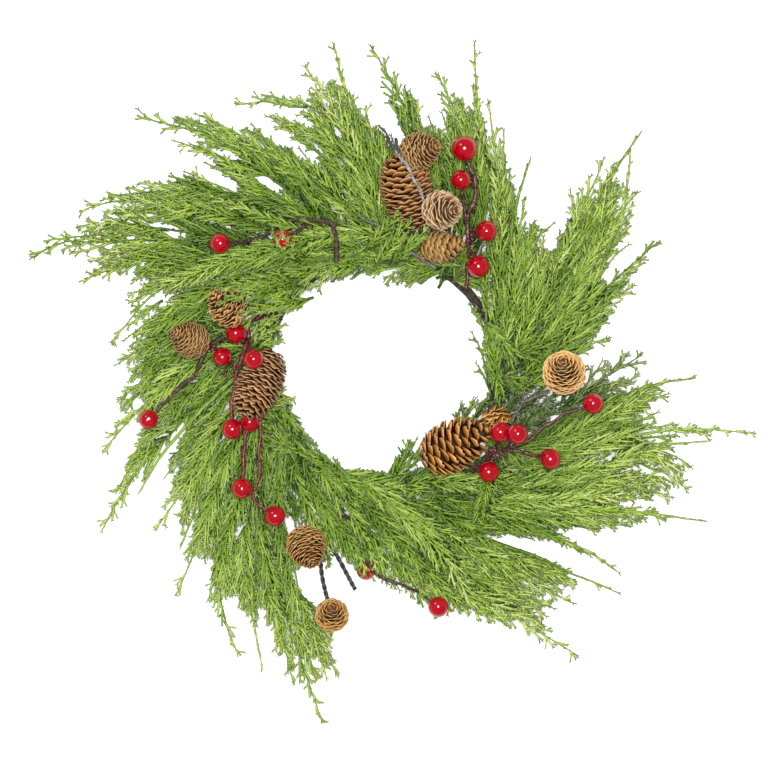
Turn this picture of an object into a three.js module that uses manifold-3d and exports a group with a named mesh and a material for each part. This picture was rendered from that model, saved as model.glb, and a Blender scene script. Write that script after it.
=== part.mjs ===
// Table wreath: a low ring of wrapped strands with eighteen flat cedar sprays fixed to it
// in four overlapping layers, and twelve cones, twenty-one berries and their stems on top.
// Millimetres, +Z up. The ring lies flat on z = 0; the long side of the wreath runs along X.
import * as THREE from "three";
import { mergeVertices } from "three/addons/utils/BufferGeometryUtils.js";
import Module from "manifold-3d";

const wasm = await Module();
wasm.setup();

// ---------------------------------------------------------------- driving dimensions
const RING_RADIUS = 70.8; // centre line of the wrapped ring
const STRAND_RADIUS = 3.2; // half the thickness of the wrapped ring
const RING_SIDES = 8; // flats round the section, one of them underneath
const RING_SEGMENTS = 40;
const SPRAY_THICKNESS = 2; // a pressed spray, as a flat blade
const LAYER_STEP = 5.2; // height from one layer of sprays to the next
const OUTER_SAG = 0.3; // how far the layers close up towards the tips
const SAG_START = 130;
const SAG_LENGTH = 90;
const BLADE_WIDTH = 0.85; // blade width against the full reach of the twigs
// Height of the lowest layer against the distance from the middle of the ring.
const DOME = [[0, 9.0], [71, 9.2], [108, 11.8], [145, 10.5], [185, 6.2], [215, 3.4], [260, 2.4]];
const POST_RADIUS = 1.2; // bound stalk that carries each spray up from the ring
const RIB_RADIUS = 1.1; // stalk from the post to a frond that starts away from it
const SLIVER = 0.1; // features finer than this are closed up after a cut
const EDGE_DETAIL = 0.25; // detail kept along a spray's edge
const CLEARANCE = 0.4; // gap kept where one piece is cut back by its neighbour
const CENTRE_SHIFT = [-5.75, 6.43]; // puts the middle of the wreath over the origin

// Half width of a frond along its length, as a share of its widest.
const WIDTHS = {
  f: [[0, 0.25], [0.2, 0.7], [0.45, 1.0], [0.7, 0.85], [0.88, 0.45], [1, 0.12]],
  d: [[0, 0.25], [0.2, 0.7], [0.45, 1.0], [0.7, 0.85], [0.88, 0.45], [1, 0.12]],
  n: [[0, 0.25], [0.2, 0.75], [0.45, 1.0], [0.65, 0.6], [0.82, 0.25], [1, 0.1]],
  s: [[0, 0.35], [0.2, 1.0], [0.5, 0.9], [0.7, 0.4], [0.85, 0.3], [1, 0.2]],
};
// Radius of a cone from its stalk end to its tip, as a share of its widest.
const CONE_LARGE = [[0, 0], [0.015, 0.42], [0.1, 0.78], [0.25, 0.98], [0.42, 1.0], [0.6, 0.88], [0.78, 0.62], [0.92, 0.3], [1, 0]];
const CONE_SMALL = [[0, 0], [0.02, 0.45], [0.14, 0.82], [0.34, 1.0], [0.56, 0.94], [0.76, 0.68], [0.92, 0.34], [1, 0]];

// Sprays: the layer they lie in, the foot where they are bound to the ring, and their fronds.
// A frond is a centre line with the reach of its twigs to the left and right of it.
const SPRAYS = [
  { name: "left_upper", layer: 0, foot: [-38.4, 59.4], fronds: [
    { axis: [[-38.4, 65.4], [-79.2, 72.6], [-133.2, 78], [-169.2, 78], [-193.2, 78], [-213, 67.8]], left: 13.2, right: 14.4, kind: "f", lift: -0.4, stations: 7 },
    { axis: [[-49.2, 81.6], [-103.2, 95.4], [-139.2, 99.6], [-163.2, 101.4], [-182.4, 96.6]], left: 7.2, right: 7.2, kind: "f", lift: 0.09, stations: 6 },
    { axis: [[-46.2, 85.8], [-73.2, 99.6], [-96, 107.4], [-133.2, 108.6], [-164.4, 105.6]], left: 6, right: 9.6, kind: "f", lift: -0.21, stations: 6 },
    { axis: [[-49.2, 90.6], [-79.2, 104.4], [-100.2, 112.2], [-120, 120.6]], left: 3.6, right: 4.8, kind: "f", lift: 0.28, stations: 4 },
    { axis: [[-49.2, 65.4], [-85.2, 68.4], [-115.2, 69], [-151.2, 65.4], [-180.6, 55.2]], left: 8.4, right: 7.2, kind: "f", lift: -0.02, stations: 6 },
    { axis: [[-61.2, 73.8], [-97.2, 81.6], [-139.2, 87], [-163.2, 89.4], [-185.4, 87.6]], left: 6, right: 8.4, kind: "f", lift: -0.33, stations: 6 },
    { axis: [[-73.2, 65.4], [-103.2, 65.4], [-130.2, 61.8], [-150.6, 54]], left: 6, right: 4.8, kind: "f", lift: 0.17, stations: 4 },
  ] },
  { name: "left_inner", layer: 3, foot: [-26.4, 65.4], fronds: [
    { axis: [[-6, 67.8], [-22.2, 74.4], [-55.2, 69], [-96, 49.8]], left: 8.4, right: 7.2, kind: "f", lift: -0.1, stations: 5 },
    { axis: [[-19.2, 65.4], [-37.2, 61.8], [-58.2, 54.6], [-79.2, 39]], left: 7.2, right: 7.2, kind: "f", lift: 0.39, stations: 4 },
    { axis: [[-10.2, 71.4], [-43.2, 65.4], [-72, 53.4], [-90, 39]], left: 7.2, right: 6, kind: "f", lift: 0.08, stations: 4 },
    { axis: [[7.8, 79.8], [-22.2, 83.4], [-55.2, 75.6], [-94.2, 65.4], [-124.2, 53.4], [-153, 46.2]], left: 8.4, right: 7.2, kind: "f", lift: -0.22, stations: 7 },
    { axis: [[-49.2, 65.4], [-85.2, 63], [-118.2, 55.8], [-139.2, 45], [-154.2, 27.6], [-163.2, 16.2]], left: 7.2, right: 6, kind: "f", lift: 0.27, stations: 6 },
    { axis: [[-49.2, 59.4], [-79.2, 55.8], [-106.2, 47.4], [-133.2, 35.4], [-156, 17.4]], left: 7.2, right: 6, kind: "f", lift: -0.03, stations: 5 },
    { axis: [[6, 70.2], [-13.2, 65.4], [-31.2, 59.4], [-43.8, 47.4]], left: 7.8, right: 6, kind: "f", lift: -0.34, stations: 4 },
    { axis: [[39.6, 65.4], [25.8, 64.2], [10.8, 60.6], [0.6, 54]], left: 8.4, right: 3.6, kind: "f", lift: 0.16, stations: 4 },
  ] },
  { name: "upper_left", layer: 1, foot: [-20.4, 69], fronds: [
    { axis: [[-22.2, 75.6], [-49.2, 102.6], [-79.2, 124.8], [-109.2, 142.8], [-139.2, 151.8], [-148.2, 159]], left: 9.6, right: 10.8, kind: "f", lift: 0.19, stations: 7 },
    { axis: [[-28.2, 93.6], [-55.2, 120.6], [-85.2, 141.6], [-113.4, 155.4]], left: 6, right: 7.2, kind: "f", lift: -0.11, stations: 5 },
    { axis: [[-22.2, 99.6], [-40.2, 114.6], [-58.2, 127.8], [-79.2, 149.4]], left: 4.8, right: 8.4, kind: "f", lift: 0.38, stations: 4 },
    { axis: [[-37.2, 87.6], [-67.2, 108.6], [-100.2, 129.6], [-126.6, 139.2]], left: 6, right: 4.8, kind: "f", lift: 0.08, stations: 5 },
    { axis: [[-34.2, 83.4], [-64.2, 102.6], [-85.2, 114.6], [-107.4, 126]], left: 6, right: 4.8, kind: "f", lift: -0.23, stations: 4 },
  ] },
  { name: "top_left", layer: 2, foot: [-6, 70.2], fronds: [
    { axis: [[-1.2, 79.8], [-18, 120.6], [-36, 151.8], [-55.2, 162], [-88.8, 160.2]], left: 7.2, right: 7.2, kind: "f", lift: -0.31, stations: 6 },
    { axis: [[-6, 90.6], [-22.2, 123.6], [-38.4, 141.6], [-70.8, 153.6]], left: 6, right: 6, kind: "f", lift: 0.18, stations: 5 },
    { axis: [[-7.2, 93.6], [-22.2, 114.6], [-36, 129.6], [-55.2, 141]], left: 4.8, right: 4.8, kind: "f", lift: -0.12, stations: 4 },
    { axis: [[1.8, 81.6], [-13.2, 123.6], [-31.2, 161.4], [-47.4, 184.2]], left: 8.4, right: 7.2, kind: "f", lift: 0.37, stations: 5 },
    { axis: [[3.6, 87.6], [-9.6, 132.6], [-21.6, 165.6], [-29.4, 198.6]], left: 5.4, right: 6, kind: "n", lift: 0.07, stations: 5 },
    { axis: [[3.6, 93.6], [-4.8, 126.6], [-13.2, 144.6], [-19.8, 168.6]], left: 4.8, right: 5.4, kind: "f", lift: -0.24, stations: 4 },
    { axis: [[7.2, 93.6], [1.2, 120.6], [-4.8, 138.6], [-10.8, 158.4]], left: 4.8, right: 6, kind: "f", lift: 0.25, stations: 4 },
    { axis: [[-2.4, 75.6], [-19.2, 95.4], [-36, 114.6], [-50.4, 135]], left: 6, right: 8.4, kind: "f", lift: -0.05, stations: 4 },
    { axis: [[0, 78.6], [-12, 99.6], [-22.2, 114.6], [-31.2, 131.4]], left: 6, right: 7.2, kind: "f", lift: -0.36, stations: 4 },
  ] },
  { name: "top", layer: 1, foot: [13.8, 69], fronds: [
    { axis: [[25.8, 81.6], [25.2, 120.6], [15.6, 153.6], [3.6, 177.6], [-7.8, 197.4]], left: 7.2, right: 7.2, kind: "f", lift: -0.02, stations: 6 },
    { axis: [[28.8, 87.6], [28.8, 123.6], [22.8, 149.4], [16.2, 169.8]], left: 4.8, right: 7.2, kind: "f", lift: -0.32, stations: 4 },
    { axis: [[32.4, 87.6], [34.8, 120.6], [32.4, 138.6], [27.6, 154.2]], left: 4.8, right: 6, kind: "f", lift: 0.17, stations: 4 },
    { axis: [[19.8, 79.8], [13.2, 111.6], [9.6, 129.6], [4.8, 142.8]], left: 4.8, right: 3.6, kind: "f", lift: -0.13, stations: 4 },
  ] },
  { name: "top_right", layer: 2, foot: [43.8, 54.6], fronds: [
    { axis: [[52.8, 75.6], [51.6, 123.6], [43.8, 155.4], [33, 180]], left: 8.4, right: 7.8, kind: "f", lift: 0.28, stations: 5 },
    { axis: [[48, 75.6], [44.4, 108.6], [42, 132.6], [35.4, 156.6]], left: 6, right: 6, kind: "f", lift: -0.03, stations: 4 },
    { axis: [[58.8, 69.6], [61.2, 120.6], [57, 159.6], [55.8, 199.8]], left: 4.2, right: 4.2, kind: "n", lift: -0.33, stations: 6 },
    { axis: [[62.4, 57.6], [69.6, 99.6], [67.2, 132.6], [64.2, 163.2]], left: 6, right: 7.2, kind: "f", lift: 0.16, stations: 5 },
    { axis: [[66, 51.6], [75, 87.6], [73.2, 120.6], [73.2, 146.4]], left: 5.4, right: 6, kind: "f", lift: -0.14, stations: 5 },
    { axis: [[67.8, 48.6], [78, 78.6], [75.6, 99.6], [76.8, 121.8]], left: 5.4, right: 5.4, kind: "f", lift: 0.35, stations: 4 },
  ] },
  { name: "upper_right_inner", layer: 3, foot: [62.4, 29.4], fronds: [
    { axis: [[69.6, 18.6], [75.6, 57.6], [79.2, 93.6], [90, 130.8]], left: 6, right: 1.8, kind: "s", lift: -0.22, stations: 5 },
    { axis: [[72.6, 12.6], [79.2, 54.6], [81.6, 81.6], [85.8, 103.8]], left: 6, right: 6, kind: "f", lift: 0.27, stations: 4 },
    { axis: [[75.6, 12.6], [84, 45.6], [88.8, 73.8], [103.8, 89.4]], left: 3.6, right: 4.8, kind: "n", lift: -0.04, stations: 4 },
    { axis: [[79.8, 9.6], [91.2, 42.6], [96, 65.4], [96.6, 81.6]], left: 6, right: 7.2, kind: "f", lift: -0.34, stations: 4 },
    { axis: [[67.8, 24.6], [70.8, 51.6], [70.8, 72.6], [75, 105.6]], left: 7.2, right: 4.8, kind: "f", lift: 0.15, stations: 4 },
    { axis: [[78, 6.6], [93.6, 30.6], [102, 51.6], [102, 72.6]], left: 6, right: 4.8, kind: "f", lift: -0.15, stations: 4 },
    { axis: [[70.8, -14.4], [67.2, 9.6], [64.8, 27.6], [63, 48.6]], left: 10.8, right: 4.8, kind: "f", lift: 0.34, stations: 4 },
    { axis: [[68.4, -5.4], [64.8, 15.6], [58.8, 29.4], [52.2, 40.2]], left: 4.8, right: 3.6, kind: "f", lift: 0.04, stations: 4 },
  ] },
  { name: "upper_right", layer: 2, foot: [67.2, 11.4], fronds: [
    { axis: [[79.8, 12.6], [106.8, 48.6], [123.6, 87.6], [139.8, 119.4], [157.8, 146.4]], left: 7.2, right: 7.2, kind: "n", lift: 0.07, stations: 7 },
    { axis: [[91.8, 15.6], [121.8, 60.6], [144, 93.6], [150, 135.6]], left: 4.8, right: 3.6, kind: "n", lift: -0.23, stations: 6 },
    { axis: [[85.8, 21.6], [109.8, 63.6], [121.2, 99.6], [133.8, 129]], left: 7.2, right: 7.2, kind: "f", lift: 0.26, stations: 5 },
    { axis: [[82.8, 30.6], [103.8, 63.6], [115.2, 87.6], [112.8, 109.8]], left: 4.8, right: 4.8, kind: "f", lift: -0.04, stations: 4 },
    { axis: [[88.8, 12.6], [115.8, 48.6], [136.8, 85.8], [154.8, 108.6]], left: 7.2, right: 8.4, kind: "f", lift: -0.35, stations: 5 },
    { axis: [[82.8, 18.6], [99.6, 48.6], [105.6, 67.8], [106.8, 85.2]], left: 4.8, right: 4.8, kind: "f", lift: 0.14, stations: 4 },
    { axis: [[88.8, 9.6], [118.8, 39.6], [136.8, 65.4], [149.4, 76.8]], left: 7.2, right: 7.2, kind: "f", lift: -0.16, stations: 4 },
  ] },
  { name: "right", layer: 1, foot: [70.8, -4.2], fronds: [
    { axis: [[79.8, -2.4], [109.8, 24.6], [136.8, 51.6], [153.6, 66.6], [166.8, 78]], left: 9.6, right: 8.4, kind: "f", lift: 0.37, stations: 5 },
    { axis: [[82.8, -5.4], [112.8, 18.6], [133.8, 39.6], [153, 52.2]], left: 7.2, right: 7.2, kind: "f", lift: 0.06, stations: 4 },
    { axis: [[85.8, -8.4], [106.8, 9.6], [121.8, 21.6], [138.6, 35.4]], left: 6, right: 6, kind: "f", lift: -0.24, stations: 4 },
    { axis: [[82.8, -11.4], [106.8, 1.8], [121.8, 13.8], [136.2, 20.4]], left: 4.8, right: 6, kind: "f", lift: 0.25, stations: 4 },
  ] },
  { name: "right_low", layer: 0, foot: [69, -18.6], fronds: [
    { axis: [[76.8, -32.4], [106.8, -20.4], [133.8, -4.2], [157.8, 10.2]], left: 9, right: 8.4, kind: "d", lift: -0.14, stations: 4 },
    { axis: [[79.8, -35.4], [112.8, -22.2], [133.8, -11.4], [153.6, -6]], left: 4.8, right: 5.4, kind: "d", lift: 0.36, stations: 4 },
    { axis: [[73.8, -28.2], [94.8, -20.4], [109.8, -11.4], [123, 1.8]], left: 5.4, right: 5.4, kind: "d", lift: 0.05, stations: 4 },
    { axis: [[70.8, -23.4], [85.8, -17.4], [100.8, -8.4], [117, -12]], left: 4.8, right: 4.8, kind: "d", lift: -0.25, stations: 4 },
  ] },
  { name: "lower_right_upper", layer: 2, foot: [61.2, -36.6], fronds: [
    { axis: [[73.8, -47.4], [106.8, -34.2], [139.8, -18.6], [165.6, -7.8], [189, -4.2]], left: 6, right: 7.2, kind: "n", lift: 0.16, stations: 6 },
    { axis: [[79.8, -50.4], [112.8, -38.4], [142.8, -23.4], [173.4, -13.2]], left: 7.2, right: 7.2, kind: "f", lift: -0.15, stations: 5 },
    { axis: [[82.8, -54.6], [118.8, -41.4], [148.8, -32.4], [167.4, -24]], left: 6, right: 6, kind: "f", lift: 0.35, stations: 4 },
    { axis: [[70.8, -59.4], [106.8, -50.4], [148.8, -39.6], [190.8, -35.4], [225, -37.2]], left: 6, right: 6.6, kind: "n", lift: 0.04, stations: 7 },
    { axis: [[79.8, -59.4], [118.8, -50.4], [154.8, -45.6], [199.8, -42]], left: 1.8, right: 2.4, kind: "s", lift: -0.26, stations: 6 },
    { axis: [[82.8, -54.6], [118.8, -46.2], [148.8, -36.6], [175.8, -31.8]], left: 6, right: 4.8, kind: "f", lift: 0.23, stations: 5 },
  ] },
  { name: "lower_right_mid", layer: 3, foot: [49.4, -50.8], head: [62.4, -64.2], fronds: [
    { axis: [[67.8, -66.6], [106.8, -64.2], [145.8, -52.2], [169.2, -48.6], [187.2, -58.2]], left: 7.2, right: 7.2, kind: "f", lift: -0.34, stations: 6 },
    { axis: [[88.8, -65.4], [130.8, -58.2], [157.8, -48.6], [174, -59.4], [184.2, -73.8]], left: 6, right: 7.2, kind: "f", lift: 0.15, stations: 5 },
    { axis: [[61.8, -71.4], [100.8, -71.4], [136.8, -65.4], [167.4, -70.2]], left: 8.4, right: 7.2, kind: "f", lift: -0.16, stations: 5 },
    { axis: [[64.8, -76.2], [100.8, -78.6], [130.8, -75], [162, -76.2]], left: 6, right: 6, kind: "f", lift: 0.34, stations: 5 },
    { axis: [[58.8, -80.4], [100.8, -82.2], [145.8, -84], [197.4, -90.6]], left: 4.8, right: 5.4, kind: "n", lift: 0.03, stations: 6 },
    { axis: [[58.8, -84.6], [94.8, -87], [124.8, -89.4], [150, -93.6]], left: 4.8, right: 6, kind: "f", lift: -0.27, stations: 4 },
  ] },
  { name: "lower_right", layer: 1, foot: [42, -59.4], fronds: [
    { axis: [[28.8, -71.4], [64.8, -83.4], [97.8, -89.4], [132, -95.4]], left: 6, right: 7.2, kind: "f", lift: -0.05, stations: 5 },
    { axis: [[28.8, -74.4], [64.8, -86.4], [100.8, -98.4], [124.8, -108.6], [144, -122.4]], left: 4.8, right: 5.4, kind: "n", lift: -0.35, stations: 6 },
    { axis: [[22.8, -74.4], [49.8, -84.6], [76.8, -93.6], [97.8, -101.4]], left: 6, right: 6, kind: "f", lift: 0.14, stations: 4 },
    { axis: [[28.8, -68.4], [39.6, -50.4], [48, -34.2], [55.2, -16.2]], left: 6, right: 6, kind: "f", lift: -0.16, stations: 4 },
  ] },
  { name: "bottom_right", layer: 2, foot: [22.8, -68.4], fronds: [
    { axis: [[7.8, -71.4], [40.8, -92.4], [76.8, -106.2], [112.8, -121.2], [144, -134.4]], left: 3.6, right: 6, kind: "n", lift: 0.25, stations: 7 },
    { axis: [[7.8, -74.4], [43.8, -101.4], [82.8, -122.4], [116.4, -140.4]], left: 7.2, right: 7.2, kind: "f", lift: -0.06, stations: 6 },
    { axis: [[4.8, -77.4], [34.8, -110.4], [70.8, -130.2], [105, -143.4]], left: 7.2, right: 7.2, kind: "f", lift: -0.36, stations: 6 },
    { axis: [[1.8, -80.4], [28.8, -118.2], [64.8, -139.2], [97.8, -158.4], [118.8, -172.2]], left: 7.2, right: 8.4, kind: "f", lift: 0.13, stations: 7 },
    { axis: [[10.8, -71.4], [34.8, -86.4], [64.8, -101.4], [97.8, -122.4]], left: 6, right: 6, kind: "f", lift: -0.17, stations: 5 },
  ] },
  { name: "bottom", layer: 3, foot: [-18, -67.8], fronds: [
    { axis: [[-49.2, -47.4], [-43.2, -65.4], [-32.4, -89.4], [-18.6, -116.4]], left: 6, right: 4.8, kind: "f", lift: -0.26, stations: 4 },
    { axis: [[-42, -48.6], [-28.2, -71.4], [-8.4, -101.4], [11.4, -132.6]], left: 6, right: 6.6, kind: "f", lift: 0.24, stations: 5 },
    { axis: [[-37.2, -52.2], [-10.2, -80.4], [16.8, -108.6], [42.6, -144.6]], left: 7.2, right: 7.2, kind: "f", lift: -0.07, stations: 6 },
    { axis: [[-28.2, -56.4], [7.8, -83.4], [37.8, -113.4], [58.8, -149.4]], left: 8.4, right: 7.2, kind: "f", lift: -0.37, stations: 6 },
    { axis: [[-38.4, -58.2], [-16.2, -67.8], [7.8, -69.6], [31.8, -72.6]], left: 10.8, right: 4.8, kind: "f", lift: 0.12, stations: 4 },
    { axis: [[-6, -72.6], [6, -65.4], [10.8, -56.4], [18, -41.4]], left: 6, right: 5.4, kind: "f", lift: -0.18, stations: 4 },
    { axis: [[-25.2, -64.2], [1.8, -77.4], [28.8, -92.4], [58.8, -104.4]], left: 6, right: 6, kind: "f", lift: 0.31, stations: 4 },
  ] },
  { name: "lower_left", layer: 1, foot: [-51.6, -48.6], fronds: [
    { axis: [[-66, -35.4], [-72, -77.4], [-62.4, -131.4], [-48, -176.4], [-36, -212.4]], left: 7.2, right: 8.4, kind: "f", lift: 0.04, stations: 7 },
    { axis: [[-64.2, -41.4], [-61.2, -95.4], [-46.2, -146.4], [-25.8, -184.2]], left: 7.2, right: 7.2, kind: "f", lift: -0.27, stations: 7 },
    { axis: [[-68.4, -41.4], [-72, -89.4], [-64.2, -140.4], [-53.4, -188.4]], left: 6, right: 7.2, kind: "f", lift: 0.23, stations: 7 },
    { axis: [[-72, -41.4], [-78, -89.4], [-78, -143.4], [-72, -180]], left: 2.4, right: 3.6, kind: "s", lift: -0.08, stations: 6 },
    { axis: [[-62.4, -41.4], [-61.2, -77.4], [-54, -110.4], [-49.2, -138.6]], left: 6, right: 4.8, kind: "f", lift: -0.38, stations: 5 },
    { axis: [[-68.4, -12.6], [-60, -35.4], [-43.2, -56.4], [-18, -69]], left: 12, right: 6, kind: "f", lift: 0.11, stations: 4 },
  ] },
  { name: "left_lower", layer: 2, foot: [-63.6, -29.4], fronds: [
    { axis: [[-74.4, -23.4], [-86.4, -65.4], [-97.2, -119.4], [-94.2, -149.4], [-86.4, -171.6]], left: 7.2, right: 7.2, kind: "f", lift: 0.34, stations: 7 },
    { axis: [[-78, -20.4], [-94.2, -56.4], [-109.2, -101.4], [-124.2, -135.6]], left: 7.2, right: 7.2, kind: "f", lift: 0.03, stations: 6 },
    { axis: [[-80.4, -17.4], [-100.2, -53.4], [-112.2, -83.4], [-122.4, -109.2]], left: 1.8, right: 2.4, kind: "s", lift: -0.28, stations: 5 },
    { axis: [[-82.2, -14.4], [-102, -41.4], [-120, -71.4], [-136.2, -95.4]], left: 6, right: 7.2, kind: "f", lift: 0.22, stations: 5 },
    { axis: [[-74.4, -24.6], [-85.2, -71.4], [-96, -110.4], [-105, -139.2]], left: 7.2, right: 6, kind: "f", lift: -0.09, stations: 5 },
    { axis: [[-72, -28.2], [-79.2, -77.4], [-86.4, -119.4], [-81, -148.2]], left: 5.4, right: 6, kind: "f", lift: -0.39, stations: 6 },
  ] },
  { name: "left", layer: 1, foot: [-68.4, 17.4], fronds: [
    { axis: [[-72, 11.4], [-100.2, -11.4], [-139.2, -50.4], [-157.2, -74.4], [-169.8, -97.8]], left: 8.4, right: 7.8, kind: "f", lift: -0.17, stations: 6 },
    { axis: [[-74.4, 7.8], [-103.2, -17.4], [-130.2, -47.4], [-148.2, -76.2]], left: 2.4, right: 3, kind: "s", lift: 0.33, stations: 5 },
    { axis: [[-73.2, 5.4], [-94.2, -14.4], [-115.2, -41.4], [-132.6, -66.6]], left: 2.4, right: 3, kind: "s", lift: 0.02, stations: 4 },
    { axis: [[-74.4, 15.6], [-109.2, 5.4], [-142.2, -20.4], [-169.2, -49.2]], left: 7.2, right: 7.8, kind: "f", lift: -0.28, stations: 5 },
    { axis: [[-76.2, 27.6], [-106.2, 27.6], [-136.2, 17.4], [-161.4, 3]], left: 7.8, right: 7.2, kind: "f", lift: 0.21, stations: 4 },
    { axis: [[-74.4, 19.8], [-109.2, 15.6], [-139.2, -2.4], [-159.6, -18.6]], left: 7.2, right: 7.2, kind: "f", lift: -0.1, stations: 5 },
    { axis: [[-63, 42.6], [-66, 30.6], [-69.6, 18.6], [-72, 5.4]], left: 8.4, right: 4.8, kind: "f", lift: 0.4, stations: 4 },
  ] },
];

const CONES = [
  { name: "cone_large_top", centre: [15, 107.1, 36.6], length: 48, diameter: 31.2, axis: [0.197, -0.965, -0.174] },
  { name: "cone_large_left", centre: [-73.2, -8.4, 36.4], length: 43.8, diameter: 27.6, axis: [0.433, 0.885, -0.174] },
  { name: "cone_large_right", centre: [45.1, -43.7, 30.8], length: 44.4, diameter: 32.4, axis: [-0.865, -0.456, -0.208] },
  { name: "cone_small_top_b", centre: [36.6, 95.4, 49.9], length: 25.2, diameter: 22.8, axis: [0.706, -0.039, 0.707] },
  { name: "cone_small_top_c", centre: [37.2, 74.4, 33.4], length: 25.2, diameter: 19.8, axis: [0.983, 0.120, 0.139] },
  { name: "cone_small_left_a", centre: [-92.4, 39, 40.4], length: 25.2, diameter: 22.8, axis: [-0.752, 0.564, 0.342] },
  { name: "cone_small_left_b", centre: [-115.8, 19.2, 30.1], length: 24, diameter: 21.6, axis: [-0.811, 0.405, 0.423] },
  { name: "cone_small_bottom_a", centre: [-44.7, -106.2, 29.7], length: 26.4, diameter: 22.8, axis: [0.296, -0.795, 0.530] },
  { name: "cone_small_bottom_b", centre: [-30, -145.8, 20.5], length: 20.4, diameter: 19.8, axis: [0.009, 0.469, 0.883] },
  { name: "cone_small_right_a", centre: [108.6, 0, 33], length: 27.6, diameter: 25.2, axis: [-0.094, 0.460, 0.883] },
  { name: "cone_small_top_a", centre: [23.4, 130.8, 48], length: 25.2, diameter: 21.6, axis: [0.856, 0.218, 0.469] },
  { name: "cone_small_right_b", centre: [72.6, -31.2, 25], length: 19.2, diameter: 16.8, axis: [0.411, -0.912, 0.000] },
];

// Berries: name, centre, radius.
const BERRIES = [
  ["berry_left_6", [-79.2, -30.6, 24], 6],
  ["berry_top_1", [49.2, 132.9, 32], 7.5],
  ["berry_top_2", [47.1, 114, 35.1], 6],
  ["berry_top_3", [62.4, 83.4, 37.7], 6.3],
  ["berry_top_4", [57.6, 62.4, 31.8], 6.6],
  ["berry_upper_left_1", [-96.9, 76.2, 30], 6],
  ["berry_upper_left_2", [-59.4, 78.6, 38.5], 5.7],
  ["berry_left_1", [-87.3, 22.5, 30.3], 6.3],
  ["berry_left_2", [-95.4, 8.4, 29.2], 5.64],
  ["berry_left_3", [-76.2, 6.9, 48.2], 6],
  ["berry_left_4", [-140.1, -29.1, 22], 6],
  ["berry_left_5", [-89.4, -34.8, 34], 6.18],
  ["berry_left_7", [-83.7, -70.2, 34.7], 6.18],
  ["berry_left_8", [-63.9, -86.7, 32.1], 6.3],
  ["berry_bottom_1", [-9.6, -119.7, 21], 5.88],
  ["berry_bottom_2", [33.6, -141, 32.6], 6.18],
  ["berry_right_1", [126, -19.5, 37], 6.18],
  ["berry_right_2", [70.8, -36.6, 40.2], 6.18],
  ["berry_right_3", [80.7, -37.5, 48.3], 6.18],
  ["berry_right_4", [63.9, -60.3, 29.4], 6.3],
  ["berry_right_5", [100.4, -52.5, 36.9], 6.18],
];

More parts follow.
